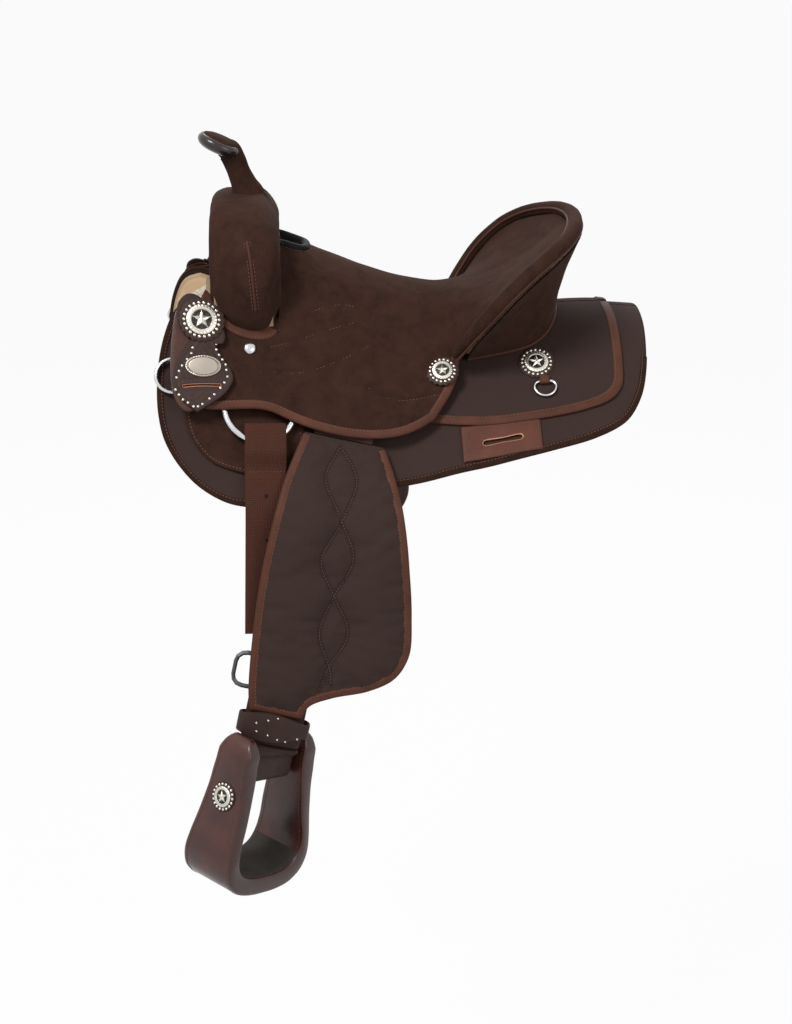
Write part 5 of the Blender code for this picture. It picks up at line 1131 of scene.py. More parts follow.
def ripples(points, seed=3, count=9, low=0.030, high=0.095):
    """Slow unevenness of leather over padding, between about -1 and 1."""
    rng = np.random.default_rng(seed)
    total = np.zeros(len(points))
    for _ in range(count):
        direction = unit(rng.normal(size=3))
        total += np.sin(points @ direction * 2 * math.pi / rng.uniform(low, high) + rng.uniform(0, 6.28))
    return total / count**0.5 / 1.5


fold_line, _ = drawn_on(SEAT_TREE, ((404, 300), (428, 322), (448, 342)))
fold_two, _ = drawn_on(SEAT_TREE, ((420, 290), (440, 312), (456, 330)))
folds = np.zeros(len(seat_verts))
for line, deep in ((fold_line, 0.0016), (fold_two, 0.0012)):
    for mirror in (line, mirrored(line)):
        folds -= deep * np.exp(-(distance(seat_verts, mirror, False) / 0.0045) ** 2)
relief = (0.0007 * ripples(seat_verts) * (0.4 + 0.6 * seat_pad) + folds
          - 0.0022 * np.exp(-(feather_reach / 0.0026) ** 2)
          + 0.0006 * np.exp(-((feather_reach - 0.006) / 0.004) ** 2))
seat_edge = edge_loop(seat_faces)
rim_reach = distance(seat_verts, seat_verts[seat_edge])
relief *= np.clip(rim_reach / 0.012, 0.0, 1.0)
seat_top = seat_verts + seat_normals * relief[:, None]
seat_low = seat_verts - seat_normals * (SEAT_LEATHER + SEAT_PAD * seat_pad)[:, None]
count = len(seat_verts)
edge_pairs = list(zip(seat_edge, np.roll(seat_edge, -1)))
solid = [tuple(f) for f in seat_faces] + [tuple(f[::-1] + count) for f in seat_faces]
solid += [(b, a, a + count, b + count) for a, b in edge_pairs]
seat_flat = np.column_stack([seat_verts[:, 0], np.abs(seat_verts[:, 1]), np.full(count, 0.02)])
seat_piece = add_piece("seat_suede", np.vstack([seat_top, seat_low]), solid, SUEDE, "saddle",
                       np.vstack([seat_flat, seat_flat]), ("seat_cover", "seat_foam"), smooth=60)
seam("seat_feather_stitching", [(p + u * (0.0002 - 0.0020), u) for p, u in feather_lines], STITCH_PITCH, THIN_THREAD,
     THREAD)


def edge_band(name, loop_points, normals, towards, profile, mat):
    """A band along an edge in space: profile points are (in from the edge, height)."""
    rows = [loop_points + towards * d + normals * n for d, n in profile]
    points, faces = swept(np.stack(rows, 1), False)
    run = np.r_[0.0, np.cumsum(np.linalg.norm(np.diff(loop_points, axis=0), axis=1))]
    flat = np.array([[r, d, 0.004] for r in run for d, _ in profile])
    return add_piece(name, points, faces, mat, "saddle", flat)


def smoothed(values, times, closed=True):
    for _ in range(times):
        ahead, behind = np.roll(values, -1, axis=0), np.roll(values, 1, axis=0)
        if not closed:
            ahead[-1], behind[0] = values[-1], values[0]
        values = (values * 2 + ahead + behind) / 4
    return values


edge_points = seat_verts[seat_edge]
edge_normals = seat_normals[seat_edge]
edge_tangent = np.roll(edge_points, -1, axis=0) - np.roll(edge_points, 1, axis=0)
edge_tangent = edge_tangent / np.linalg.norm(edge_tangent, axis=1)[:, None]
edge_inward = np.cross(edge_normals, edge_tangent)
edge_inward /= np.linalg.norm(edge_inward, axis=1)[:, None]
edge_inward = smoothed(edge_inward, 3)
out, down = height_over(edge_points)
in_jockey = (down > 0.060) & (edge_points[:, 2] < 0.055) & (out < JOCKEY_TOP + 0.0075)
jockey_runs = []
current = []
start = int(np.nonzero(~in_jockey)[0][0])
for step in range(1, len(seat_edge) + 1):
    index = (start + step) % len(seat_edge)
    if in_jockey[index]:
        current.append(index)
    elif current:
        jockey_runs.append(np.array(current))
        current = []
for run in (r for r in jockey_runs if len(r) > 12):
    word = "near" if edge_points[run][:, 1].mean() < 0 else "off"
    edge_band("jockey_" + word + "_binding", edge_points[run], edge_normals[run], edge_inward[run],
              binding_profile(0.0092, -SEAT_LEATHER, 0.0, 0.0012), BINDING)
    line = edge_points[run] + edge_inward[run] * 0.0072 + edge_normals[run] * 0.0013
    seam("jockey_" + word + "_stitching", [(line, edge_normals[run])], STITCH_PITCH, THREAD_RADIUS, THREAD)

# ---- Hand hole
hole_run = (np.abs(edge_points[:, 1]) < 0.036) & (edge_points[:, 0] < -0.09)
hole_index = np.nonzero(hole_run)[0]
gaps = np.nonzero(np.diff(hole_index) > 1)[0]
if len(gaps):
    hole_index = np.roll(hole_index, -(gaps[0] + 1))
hole_line = smoothed(edge_points[hole_index] - edge_normals[hole_index] * 0.0012, 2, False)
tube("hand_hole_lip", hole_line, 0.0056, BLACK, "saddle", sides=14)
hole_seam = edge_points[hole_index] + edge_inward[hole_index] * 0.0062 + edge_normals[hole_index] * 0.0004
seam("hand_hole_stitching", [(hole_seam, edge_normals[hole_index])], 0.0040, THIN_THREAD, THREAD)

# ---- Swell
SWELL_FRONT, SWELL_REAR = -0.2240, -0.1420
SWELL_FACE_ROUND, SWELL_REAR_ROUND = 0.0085, 0.0260
FRONT_FALL, REAR_FALL = 0.0100, 0.0150
FOOT_LINE = np.array(((-0.2315, 0.0890), (-0.2250, 0.0930), (-0.2120, 0.1060), (-0.2000, 0.1130), (-0.1850, 0.1140),
                      (-0.1680, 0.1090), (-0.1540, 0.0970), (-0.1440, 0.0810), (-0.1380, 0.0680)))
FOOT_EASE = 0.0200
SWELL_OUTER = open_curve(((0.0, 0.184), (0.052, 0.179), (0.092, 0.165), (0.119, 0.141), (0.128, 0.109),
                          (0.127, 0.070), (0.122, 0.030), (0.116, -0.020)), 0.002)
SWELL_HOLLOW = open_curve(((0.0, 0.132), (0.036, 0.125), (0.062, 0.100), (0.075, 0.070), (0.079, 0.030),
                           (0.080, -0.020)), 0.002)
ARCH_STEPS = 60


def at_share(line, shares):
    run = np.r_[0.0, np.cumsum(np.linalg.norm(np.diff(line, axis=0), axis=1))]
    return np.stack([np.interp(shares * run[-1], run, line[:, k]) for k in range(line.shape[1])], -1)


def swell_profile():
    """Closed outline of the swell's section: along the saddle and inwards from its surface."""
    deep = 0.050
    rows = [(SWELL_FRONT + 0.001, deep), (SWELL_FRONT + 0.0004, deep * 0.62), (SWELL_FRONT, deep * 0.40)]
    for k in range(9):
        turn = math.pi / 2 * k / 8
        rows.append((SWELL_FRONT + SWELL_FACE_ROUND * (1 - math.cos(turn)), SWELL_FACE_ROUND * (1 - math.sin(turn))))
    rows += [(x, 0.0) for x in np.linspace(SWELL_FRONT + SWELL_FACE_ROUND, SWELL_REAR - SWELL_REAR_ROUND, 10)[1:-1]]
    for k in range(11):
        turn = math.pi / 2 * k / 10
        rows.append((SWELL_REAR - SWELL_REAR_ROUND * (1 - math.sin(turn)), SWELL_REAR_ROUND * (1 - math.cos(turn))))
    rows += [(SWELL_REAR - 0.0004, deep * 0.75), (SWELL_REAR - 0.001, deep)]
    rows += [(x, deep) for x in np.linspace(SWELL_REAR - 0.001, SWELL_FRONT + 0.001, 8)[1:-1]]
    return np.array(rows)


def half_swell():
    """Near half of the swell, from its top down to where it meets the jockey."""
    profile = swell_profile()
    steps = np.linspace(0.0, 1.0, 240)
    outer, hollow = at_share(SWELL_OUTER, steps), at_share(SWELL_HOLLOW, steps)
    reach = np.linalg.norm(hollow - outer, axis=1)
    down = (hollow - outer) / reach[:, None]
    columns = []
    for x, deep in profile:
        ahead = np.clip((-0.2040 - x) / 0.020, 0.0, 1.0)
        behind = np.clip((x + 0.1660) / 0.024, 0.0, 1.0)
        sunk = (FRONT_FALL * ahead**1.5 + REAR_FALL * behind**1.6) * (1 - np.clip(steps / 0.42, 0, 1) ** 2)
        depth = np.where(deep >= 0.0499, reach, deep + sunk * np.clip(1 - deep / 0.05, 0, 1))
        bulge = 0.0024 * math.sin(math.pi * np.clip((x - SWELL_FRONT) / (SWELL_REAR - SWELL_FRONT), 0, 1))
        depth = depth - bulge * (deep < 0.0499) * np.clip(steps / 0.3, 0, 1)
        place = outer + down * depth[:, None]
        line = np.column_stack([np.full(len(steps), x), -place[:, 0], place[:, 1]])
        out, _ = height_over(line)
        limit = JOCKEY_TOP - 0.0006 if deep < 0.0499 else BAR_TOP + 0.001
        if deep < 0.0499:
            out, down_back = height_over(line)
            foot = np.interp(x, FOOT_LINE[:, 0], FOOT_LINE[:, 1])
            share = np.clip((down_back - foot + FOOT_EASE) / FOOT_EASE, 0.0, 1.0)
            eased = limit + 0.0002 + (out - limit) * np.sqrt(1.0 - share**2)
            shaped = flank(line[:, 0], down_back, np.where(share < 1.0, eased, limit - 0.002))
            line = np.where((share > 0)[:, None] & (out > limit)[:, None], shaped, line)
            out, _ = height_over(line)
        below = np.nonzero((out < limit) & (steps > 0.3))[0]
        end = steps[below[0]] if len(below) else 1.0
        if len(below):
            k = below[0]
            end = between(steps[k - 1], steps[k], (out[k - 1] - limit) / (out[k - 1] - out[k]))
        shares = np.linspace(0.0, end, ARCH_STEPS)
        columns.append(np.stack([np.interp(shares, steps, line[:, axis]) for axis in range(3)], -1))
    return profile, np.stack(columns, 1)


profile, near_half = half_swell()
off_half = near_half * TURNED
sections = np.vstack([near_half[::-1], off_half[1:]])
swell_points, swell_faces = swept(sections, False)
wave = ripples(swell_points, 5, 7, 0.03, 0.08)
swell_middle = np.array((-0.183, 0.0, 0.09))
swell_points = swell_points + 0.0005 * wave[:, None] * (swell_points - swell_middle) / 0.1
SWELL_TREE = surface_tree(swell_points, swell_faces)
run = np.linspace(-1, 1, len(sections))
swell_flat = np.array([[t * 0.22, p[1] + p[0], 0.02] for t in run for p in profile])
swell_piece = add_piece("swell_suede", swell_points, swell_faces, SUEDE, "saddle", swell_flat,
                        ("swell_cover",), smooth=70)

WELT_PIXELS = ((246, 238), (249, 253), (252, 275), (254, 295), (256, 314))
places, ups = drawn_on(SWELL_TREE, WELT_PIXELS, 0.0006)
places = smoothed(places, 3, False)
for mirror, word in ((1.0, "near"), (-1.0, "off")):
    turned = np.array((1.0, mirror, 1.0))
    tube("swell_welt_" + word, places * turned, 0.0016, BINDING, "saddle", sides=8)
    side_line = np.cross(np.gradient(places, axis=0), ups)
    side_line /= np.linalg.norm(side_line, axis=1)[:, None]
    lines = [((places + side_line * sign * 0.0034 - ups * 0.0002) * turned, ups * turned) for sign in (-1, 1)]
    seam("swell_welt_stitching_" + word, lines, STITCH_PITCH, THIN_THREAD, THREAD)

# U-shaped binding on the jockey, round the swell's foot
u_line = open_curve(FOOT_LINE, 0.0025)
UNDER_SWELL = closed_curve(((-0.2250, 0.0800), (-0.1340, 0.0520), (-0.1340, 0.1080), (-0.2250, 0.1240)),
                           sharp=(0, 1, 2, 3))
slant = np.gradient(u_line, axis=0)
slant /= np.linalg.norm(slant, axis=1)[:, None]
outside = np.column_stack([-slant[:, 1], slant[:, 0]])
if outside[len(outside) // 2][1] < 0:
    outside = -outside
U_PROFILE = ((-0.0030, 0.0002), (-0.0030, 0.0018), (0.0010, 0.0021), (0.0050, 0.0020), (0.0084, 0.0017),
             (0.0094, 0.0009), (0.0092, -0.0004), (0.0040, -0.0010))
for side, word in SIDES:
    rows = []
    for d, n in U_PROFILE:
        flat = u_line + outside * d
        rows.append(flank(flat[:, 0], flat[:, 1], np.full(len(flat), JOCKEY_TOP + n)))
    points, faces = swept(np.stack(rows, 1), False)
    run = np.linspace(0, 0.18, len(u_line))
    flat = np.array([[r, d, 0.003] for r in run for d, _ in U_PROFILE])
    add_piece("swell_foot_binding_" + word, points, faces, BINDING, "saddle", flat, (), flank_side(side))
    panel("seat_suede_under_swell_" + word, [UNDER_SWELL], flank, JOCKEY_TOP - 0.0034, JOCKEY_TOP - 0.0012, SUEDE,
          "saddle", flank_side(side), step=0.008)
    line = u_line + outside * 0.0070
    stitches("swell_foot_stitching_" + word, [line], flank, JOCKEY_TOP + 0.0020, THREAD, "saddle",
             flank_side(side))

# ---- Gullet
LINING_THICK = 0.0026
LINING_FRONT_ROWS = np.array(((-0.02, -0.2560), (0.050, -0.2560), (0.062, -0.2520), (0.076, -0.2440),
                              (0.095, -0.2330), (0.108, -0.2250), (0.140, -0.2235)))
LINING_ACROSS = 15
steps = np.linspace(0.0, 1.0, 200)
hollow = at_share(SWELL_HOLLOW, steps)
slope = np.gradient(hollow, axis=0)
slope /= np.linalg.norm(slope, axis=1)[:, None]
inwards = np.column_stack([-np.abs(slope[:, 1]), -np.abs(slope[:, 0])])
front_edge = np.interp(hollow[:, 1], LINING_FRONT_ROWS[:, 0], LINING_FRONT_ROWS[:, 1])
columns = []
for depth in (GAP, GAP + LINING_THICK):
    for share in (np.linspace(0, 1, LINING_ACROSS) if depth == GAP else np.linspace(1, 0, LINING_ACROSS)):
        x = between(front_edge, SWELL_REAR, share)
        place = hollow + inwards * depth
        line = np.column_stack([x, -place[:, 0], place[:, 1]])
        out, _ = height_over(line)
        below = np.nonzero((out < BAR_TOP) & (steps > 0.3))[0]
        end = steps[below[0]] if len(below) else 1.0
        shares = np.linspace(0.0, end, 40)
        columns.append(np.stack([np.interp(shares, steps, line[:, axis]) for axis in range(3)], -1))
half = np.stack(columns, 1)
sections = np.vstack([half[::-1], (half * TURNED)[1:]])
points, faces = swept(sections, False)
lining_flat = np.array([[t, (k % (2 * LINING_ACROSS)) * 0.004, min(0.02, 0.0008 + 0.006 * min(
    k, 2 * LINING_ACROSS - 1 - k))] for t in np.linspace(0, 0.3, len(sections)) for k in range(2 * LINING_ACROSS)])
add_piece("gullet_leather", points, faces, TAN, "saddle", lining_flat, ("gullet_lining",))
edge = (sections[:, 0] + sections[:, -1]) / 2
tube("gullet_edge", smoothed(edge, 2, False), 0.0024, BLACK, "saddle", sides=8)

for side, word in SIDES:
    flange = closed_curve(((-0.2440, 0.0970), (-0.2640, 0.1150), (-0.2760, 0.1450), (-0.2830, 0.1800),
                           (-0.2840, 0.2150), (-0.2640, 0.2200), (-0.2400, 0.1900), (-0.2180, 0.1300),
                           (-0.2180, 0.0950)), sharp=(0, 8))
    panel("front_lining_" + word, [flange], flank, -0.0066, -0.0008, TAN, "saddle", flank_side(side),
          step=0.008)


# ---- Horn
def lathe(name, profile, matrix, mat, turns=48, replaces=(), smooth=35):
    """A turned piece: profile points are (radius, height), from the axis out and back to it."""
    rows = np.array(profile, float)
    rings = rows[1:-1]
    angle = np.arange(turns) * 2 * math.pi / turns
    points = [np.array([0.0, 0.0, rows[0][1]]), np.array([0.0, 0.0, rows[-1][1]])]
    for radius, height in rings:
        points += list(np.column_stack([radius * np.cos(angle), radius * np.sin(angle), np.full(turns, height)]))
    faces = []
    for t in range(turns):
        after = (t + 1) % turns
        faces.append((0, 2 + after, 2 + t))
        last = 2 + (len(rings) - 1) * turns
        faces.append((1, last + t, last + after))
        for ring in range(len(rings) - 1):
            low = 2 + ring * turns
            faces.append((low + t, low + after, low + turns + after, low + turns + t))
    flat = np.array([[0.0, rows[0][1], 0.02], [0.0, rows[-1][1], 0.02]]
                    + [[radius, t * 0.002, 0.02] for radius, _ in rings for t in range(turns)])
    return add_piece(name, np.array(points), faces, mat, "saddle", flat, replaces, matrix, smooth)


FORK_TOP, HORN_BASE_X = 0.1800, -0.1835
NECK_RADIUS = 0.0150
NECK = ((0.0060, -0.0090, 1.72, 1.60), (0.0050, -0.0020, 1.45, 1.42), (0.0036, 0.0040, 1.26, 1.24),
        (0.0005, 0.0120, 1.06, 1.10), (-0.0035, 0.0220, 0.95, 1.02), (-0.0075, 0.0330, 0.92, 0.98),
        (-0.0112, 0.0430, 0.94, 0.98), (-0.0165, 0.0520, 0.94, 1.02), (-0.0240, 0.0570, 0.72, 1.00))
key = np.array([(HORN_BASE_X + x, FORK_TOP + z, a * NECK_RADIUS, b * NECK_RADIUS) for x, z, a, b in NECK])
marks = np.linspace(0, len(key) - 1, 46)
smooth_rows = np.column_stack([np.arange(len(key)), key])
neck_rows = np.stack([hermite(smooth_rows, k + 1, marks) for k in range(4)], -1)
centre = np.column_stack([neck_rows[:, 0], np.zeros(len(marks)), neck_rows[:, 1]])
tangent, sideways, above = frames_along(centre, False, np.tile((1.0, 0.0, 0.0), (len(marks), 1)))
angle = np.arange(28) * 2 * math.pi / 28
sections = (centre[:, None] + above[:, None] * np.cos(angle)[None, :, None] * neck_rows[:, None, 2:3]
            + sideways[:, None] * np.sin(angle)[None, :, None] * neck_rows[:, None, 3:4])
points, faces = swept(sections, False)
points = points + 0.00035 * ripples(points, 8, 8, 0.010, 0.035)[:, None] * (points - points.mean(0)) / 0.02
add_piece("horn_neck_suede", points, faces, SUEDE, "saddle", None, ("horn_neck",))
CAP_TILT = math.radians(24.0)
cap_place = (Matrix.Translation((HORN_BASE_X - 0.0275, 0.0, FORK_TOP + 0.0600))
             @ Matrix.Rotation(CAP_TILT, 4, "Y"))
CAP_PROFILE = ((0.0, -0.0100), (0.0130, -0.0098), (0.0190, -0.0088), (0.0236, -0.0066), (0.0262, -0.0034),
               (0.0268, -0.0002), (0.0262, 0.0026), (0.0246, 0.0046), (0.0226, 0.0056), (0.0205, 0.0060),
               (0.0, 0.0080))
lathe("horn_cap_leather", CAP_PROFILE, np.array(cap_place), HORN_CAP, 56, replaces=("horn_cap",),
      smooth=60)
lathe("horn_cap_top", ((0.0, 0.0040), (0.0218, 0.0044), (0.0226, 0.0058), (0.0212, 0.0074), (0.0160, 0.0092),
                       (0.0080, 0.0103), (0.0, 0.0106)), np.array(cap_place), SUEDE, 48, smooth=60)
ring = circle(0.0240, 60)
ring = np.column_stack([ring, np.full(60, 0.0050)])
ring = ring @ np.array(cap_place)[:3, :3].T + np.array(cap_place)[:3, 3]
cap_up = np.tile(np.array(cap_place)[:3, 2], (60, 1))
seam("horn_cap_stitching", [(np.vstack([ring, ring[:1]]), np.vstack([cap_up, cap_up[:1]]))], 0.0030, 0.00045, THREAD)
angle = np.linspace(0, 2 * math.pi, 60)
low_ring = neck_rows[8]
base = np.column_stack([low_ring[0] + 0.0003 + low_ring[2] * 1.02 * np.cos(angle), low_ring[3] * 1.02 * np.sin(angle),
                        np.full(60, low_ring[1] + 0.0010)])
seam("horn_base_stitching", [(base, np.column_stack([np.cos(angle), np.sin(angle), np.full(60, 0.35)]))], 0.0034,
     THREAD_RADIUS, PALE_THREAD)

# ---- Cantle
CANTLE_FOOT = ((0.0660, -0.0930, 0.0), (0.0860, -0.0920, 0.0), (0.1120, -0.0905, 0.0), (0.1380, -0.0885, 0.0),
               (0.1600, -0.0825, 0.0), (0.1790, -0.0660, 0.0), (0.1920, -0.0360, 0.0), (0.1960, 0.0000, 0.0))
CANTLE_LEATHER = 0.0030
CANTLE_START, ROLL_START = 0.10, 0.0
RIM_STEPS = 64


def cantle_place(i, height, depth):
    """A point of the cantle's back wall: i from -1 at the near end to 1, height from foot to rim."""
    share = between(CANTLE_START, 1.0, 1.0 - abs(i))
    mark = along(CANTLE_FOOT, share)
    foot = flank_at(mark[0], abs(mark[1]), REAR_JOCKEY_TOP + 2 * GAP)
    rim = rim_edge(share, *BACK_EDGE)
    towards = unit(DISH_FOCUS - rim * np.array((1.0, 1.0, 0.0)))
    place = between(foot, rim, height) + towards * (0.006 * math.sin(math.pi * height) * share + depth)
    return place * np.array((1.0, -1.0 if i > 0 else 1.0, 1.0))


CANTLE_STEPS, CANTLE_RISE = 96, 14
rows = []
for i in np.linspace(-1, 1, CANTLE_STEPS + 1):
    ring = [cantle_place(i, h, 0.0) for h in np.linspace(0, 1, CANTLE_RISE + 1)]
    ring += [cantle_place(i, h, CANTLE_LEATHER) for h in np.linspace(1, 0, CANTLE_RISE + 1)]
    rows.append(ring)
sections = np.array(rows)
points, faces = swept(sections, False)
points = points + 0.0006 * ripples(points, 13, 9, 0.02, 0.07)[:, None] * np.array((0.7, 0.0, 0.0))
size = sections.shape[1]
flat = np.array([[i * 0.004, (k % size) * 0.008, 0.02] for i in range(len(sections)) for k in range(size)])
add_piece("cantle_back_suede", points, faces, SUEDE, "saddle", flat, ("cantle_back_cover",), smooth=60)


def rim_line(offset):
    """A line along the cantle's rim, from the near end to the off end."""
    half = [rim_edge(between(ROLL_START, 1.0, k / RIM_STEPS), *offset) for k in range(RIM_STEPS + 1)]
    return np.array(half + [p * TURNED for p in reversed(half[:-1])])


roll = rim_line((0.0, 0.0))
ends = np.minimum(np.arange(len(roll)), np.arange(len(roll))[::-1])
roll_radius = ROLL_RADIUS * (0.45 + 0.55 * np.sqrt(np.clip(ends / 12.0, 0.0, 1.0)))
roll_radius = roll_radius * (1 + 0.02 * ripples(roll, 21, 7, 0.015, 0.05))
tube("cantle_roll_suede", roll, roll_radius, SUEDE, "saddle", sides=18, replaces=("cantle_roll",))
inner = rim_line((ROLL_RADIUS * 0.96, -0.0006))
tube("cantle_inner_piping", inner, 0.0019, BINDING, "saddle", sides=8)
outer = rim_line((-ROLL_RADIUS * 0.90, 0.0030))
tube("cantle_outer_piping", outer, 0.0017, BINDING, "saddle", sides=8)
base = np.array([cantle_place(i, 0.0, -0.0012) for i in np.linspace(-1, 1, 130)])
tube("cantle_base_piping", base + np.array((0.0, 0.0, 0.0016)), 0.0021, BINDING, "saddle", sides=8)


# ---- Front leather, keepers and silver
def flank_frame(x, s, n):
    """Axes along the back, down it and out of it at a place of the near side."""
    down = unit(flank_at(x, s + 0.01, n) - flank_at(x, s - 0.01, n))
    ahead = unit(flank_at(x + 0.01, s, n) - flank_at(x - 0.01, s, n))
    out = unit(np.cross(ahead, down))
    out = out if out[2] > 0 else -out
    ahead = np.cross(down, out)
    made = np.eye(4)
    made[:3, 0], made[:3, 1], made[:3, 2] = (ahead if ahead[0] > 0 else -ahead), down, out
    made[:3, 3] = flank_at(x, s, n)
    return made


FRONT_PIECE = closed_curve((
    (-0.2410, 0.0980), (-0.2530, 0.1050), (-0.2640, 0.1190), (-0.2690, 0.1450), (-0.2715, 0.1720), (-0.2720, 0.2000),
    (-0.2695, 0.2180), (-0.2620, 0.2330), (-0.2540, 0.2370), (-0.2430, 0.2320), (-0.2300, 0.2240), (-0.2260, 0.1900),
    (-0.2220, 0.1550), (-0.2150, 0.1330), (-0.2120, 0.1220), (-0.2200, 0.1080), (-0.2290, 0.0990),
))
KEEPER = closed_curve((
    (-0.2460, 0.1480), (-0.2560, 0.1440), (-0.2625, 0.1330), (-0.2635, 0.1200), (-0.2600, 0.1070), (-0.2510, 0.0985),
    (-0.2390, 0.0970), (-0.2260, 0.1040), (-0.2140, 0.1170), (-0.2080, 0.1310), (-0.2110, 0.1420), (-0.2200, 0.1465),
    (-0.2140, 0.1570), (-0.2030, 0.1690), (-0.1995, 0.1790), (-0.2030, 0.1900), (-0.2130, 0.2060), (-0.2280, 0.2220),
    (-0.2415, 0.2350), (-0.2560, 0.2270), (-0.2675, 0.2140), (-0.2695, 0.2020), (-0.2660, 0.1870), (-0.2580, 0.1690),
), 0.002, sharp=(0, 11, 18))
KEEPER_SLOT = closed_curve(((-0.2580, 0.2078), (-0.2360, 0.2000), (-0.2145, 0.1925), (-0.2138, 0.1944),
                            (-0.2355, 0.2020), (-0.2573, 0.2098)), 0.002, sharp=(0, 2, 3, 5))
KEEPER_LOW = FRONT_TOP + GAP


def keeper_relief(x, s, edge):
    """A cut border line, and soft tooled scrolls inside it."""
    plane = np.column_stack([x, s, np.zeros(len(x))])
    scroll = np.abs(ripples(plane, 41, 6, 0.006, 0.013)) - 0.35
    field = np.clip((edge - 0.0060) / 0.0015, 0.0, 1.0)
    return -0.0006 * np.exp(-((edge - 0.0055) / 0.0006) ** 2) + 0.0006 * np.clip(scroll, -0.5, 0.5) * field


def off_front(x, s, n):
    """The off-side front leather sits a little lower, as it is hidden in the photograph."""
    return flank(x, s + 0.0065 * np.clip((0.165 - s) / 0.060, 0.0, 1.0), n)


STUD_CROPS = (
    (213, 288), (207, 316), (186, 346), (160, 378), (145, 405), (133, 438), (128, 498), (145, 523), (165, 548),
    (190, 563), (218, 582), (240, 582), (262, 570), (297, 543), (322, 522), (352, 490), (372, 463), (387, 433),
    (382, 400), (378, 373), (362, 348), (345, 325), (332, 298), (330, 272),
)
CROP_CORNER, CROP_ZOOM = (150, 290), 5
STUD_PIXELS = [(CROP_CORNER[0] + x / CROP_ZOOM, CROP_CORNER[1] + y / CROP_ZOOM) for x, y in STUD_CROPS]
for side, word in SIDES:
    where = flank_side(side)
    front = flank if side == NEAR else off_front
    panel("front_jockey_" + word + "_leather", [FRONT_PIECE], front, JOCKEY_TOP + GAP, FRONT_TOP, FRONT_LEATHER,
          "saddle", where, step=0.0055, replaces=("front_jockey_" + word,))
    stitches("front_jockey_" + word + "_stitching", [resampled(inset_line(FRONT_PIECE, 0.0035), 0.002)], front,
             FRONT_TOP, THREAD, "saddle", where)
    verts, faces, edge = triangulated([KEEPER, KEEPER_SLOT], 0.0016, (0.0006, 0.0012))
    points, solid, flat = panel_mesh(front, verts, faces, edge, KEEPER_LOW, KEEPER_TOP, 0.0010, keeper_relief)
    add_piece("front_keeper_" + word + "_tooled", points, solid, KEEPER_LEATHER, "saddle", flat,
              ("front_keeper_" + word,), where)
    if side == NEAR:
        KEEPER_TREE = surface_tree(points, solid)
    strip("keeper_slot_" + word, KEEPER_SLOT, flank,
          [(0.0001, KEEPER_TOP - 0.0020), (0.0001, KEEPER_TOP + 0.0001), (-0.0007, KEEPER_TOP + 0.0002),
           (-0.0009, KEEPER_TOP - 0.0006)], COPPER, "saddle", where)


def domes(name, places, normals, radius, mat, body, matrix=None, tall=0.75):
    """Domed studs in one mesh."""
    rings, turns = ((1.0, -0.10), (0.95, 0.35), (0.70, 0.75), (0.35, 0.95)), 10
    points, faces = [], []
    for place, normal in zip(places, normals):
        side = unit(np.cross(normal, (0.31, 0.83, 0.46)))
        other = np.cross(normal, side)
        start = len(points)
        for wide, high in rings:
            for turn in range(turns):
                angle = 2 * math.pi * turn / turns
                points.append(place + radius * (wide * (side * math.cos(angle) + other * math.sin(angle))
                                                + normal * high * tall))
        points += [place + normal * radius * tall, place - normal * radius * 0.1]
        for turn in range(turns):
            after = (turn + 1) % turns
            for ring in range(len(rings) - 1):
                low = start + ring * turns
                faces.append((low + turn, low + after, low + turns + after, low + turns + turn))
            last = start + (len(rings) - 1) * turns
            faces.append((last + turn, last + after, start + len(rings) * turns))
            faces.append((start + after, start + turn, start + len(rings) * turns + 1))
    flat = np.tile((0.0, 0.0, 1.0), (len(points), 1))
    return add_piece(name, np.array(points), faces, mat, body, flat, (), matrix, 60)


STRUCK_BASE = 0.0012


def struck(name, matrix, wide, high, relief, mat, body, replaces=(), rings=26, turns=80, rim=None):
    """A struck ornament: relief gives a height and how raised it is, from the share out and the angle."""
    base = STRUCK_BASE
    angle = np.arange(turns) * 2 * math.pi / turns
    shares = np.linspace(0.0, 1.0, rings + 1)[1:]
    points, flat = [(0.0, 0.0, base + relief(0.0, 0.0)[0])], [(0.0, 0.0, relief(0.0, 0.0)[1])]
    for share in shares:
        for turn in angle:
            reach = share * (rim(turn) if rim else 1.0)
            height, raised = relief(share, turn)
            points.append((wide * reach * math.cos(turn), high * reach * math.sin(turn), base + height))
            flat.append((points[-1][0], points[-1][1], raised))
    for turn in angle:
        reach = 0.99 * (rim(turn) if rim else 1.0)
        points.append((wide * reach * math.cos(turn), high * reach * math.sin(turn), 0.0))
        flat.append((0.0, 0.0, 0.2))
    points.append((0.0, 0.0, 0.0))
    flat.append((0.0, 0.0, 0.0))
    faces = []
    for t in range(turns):
        after = (t + 1) % turns
        faces.append((0, 1 + t, 1 + after))
        for ring in range(rings):
            low = 1 + ring * turns
            faces.append((low + t, low + turns + t, low + turns + after, low + after))
        last = 1 + rings * turns
        faces.append((last + t, len(points) - 1, last + after))
    return add_piece(name, np.array(points), faces, mat, body, flat, replaces, matrix, 40)


STAR_TIP, STAR_NOTCH = 0.60, 0.25


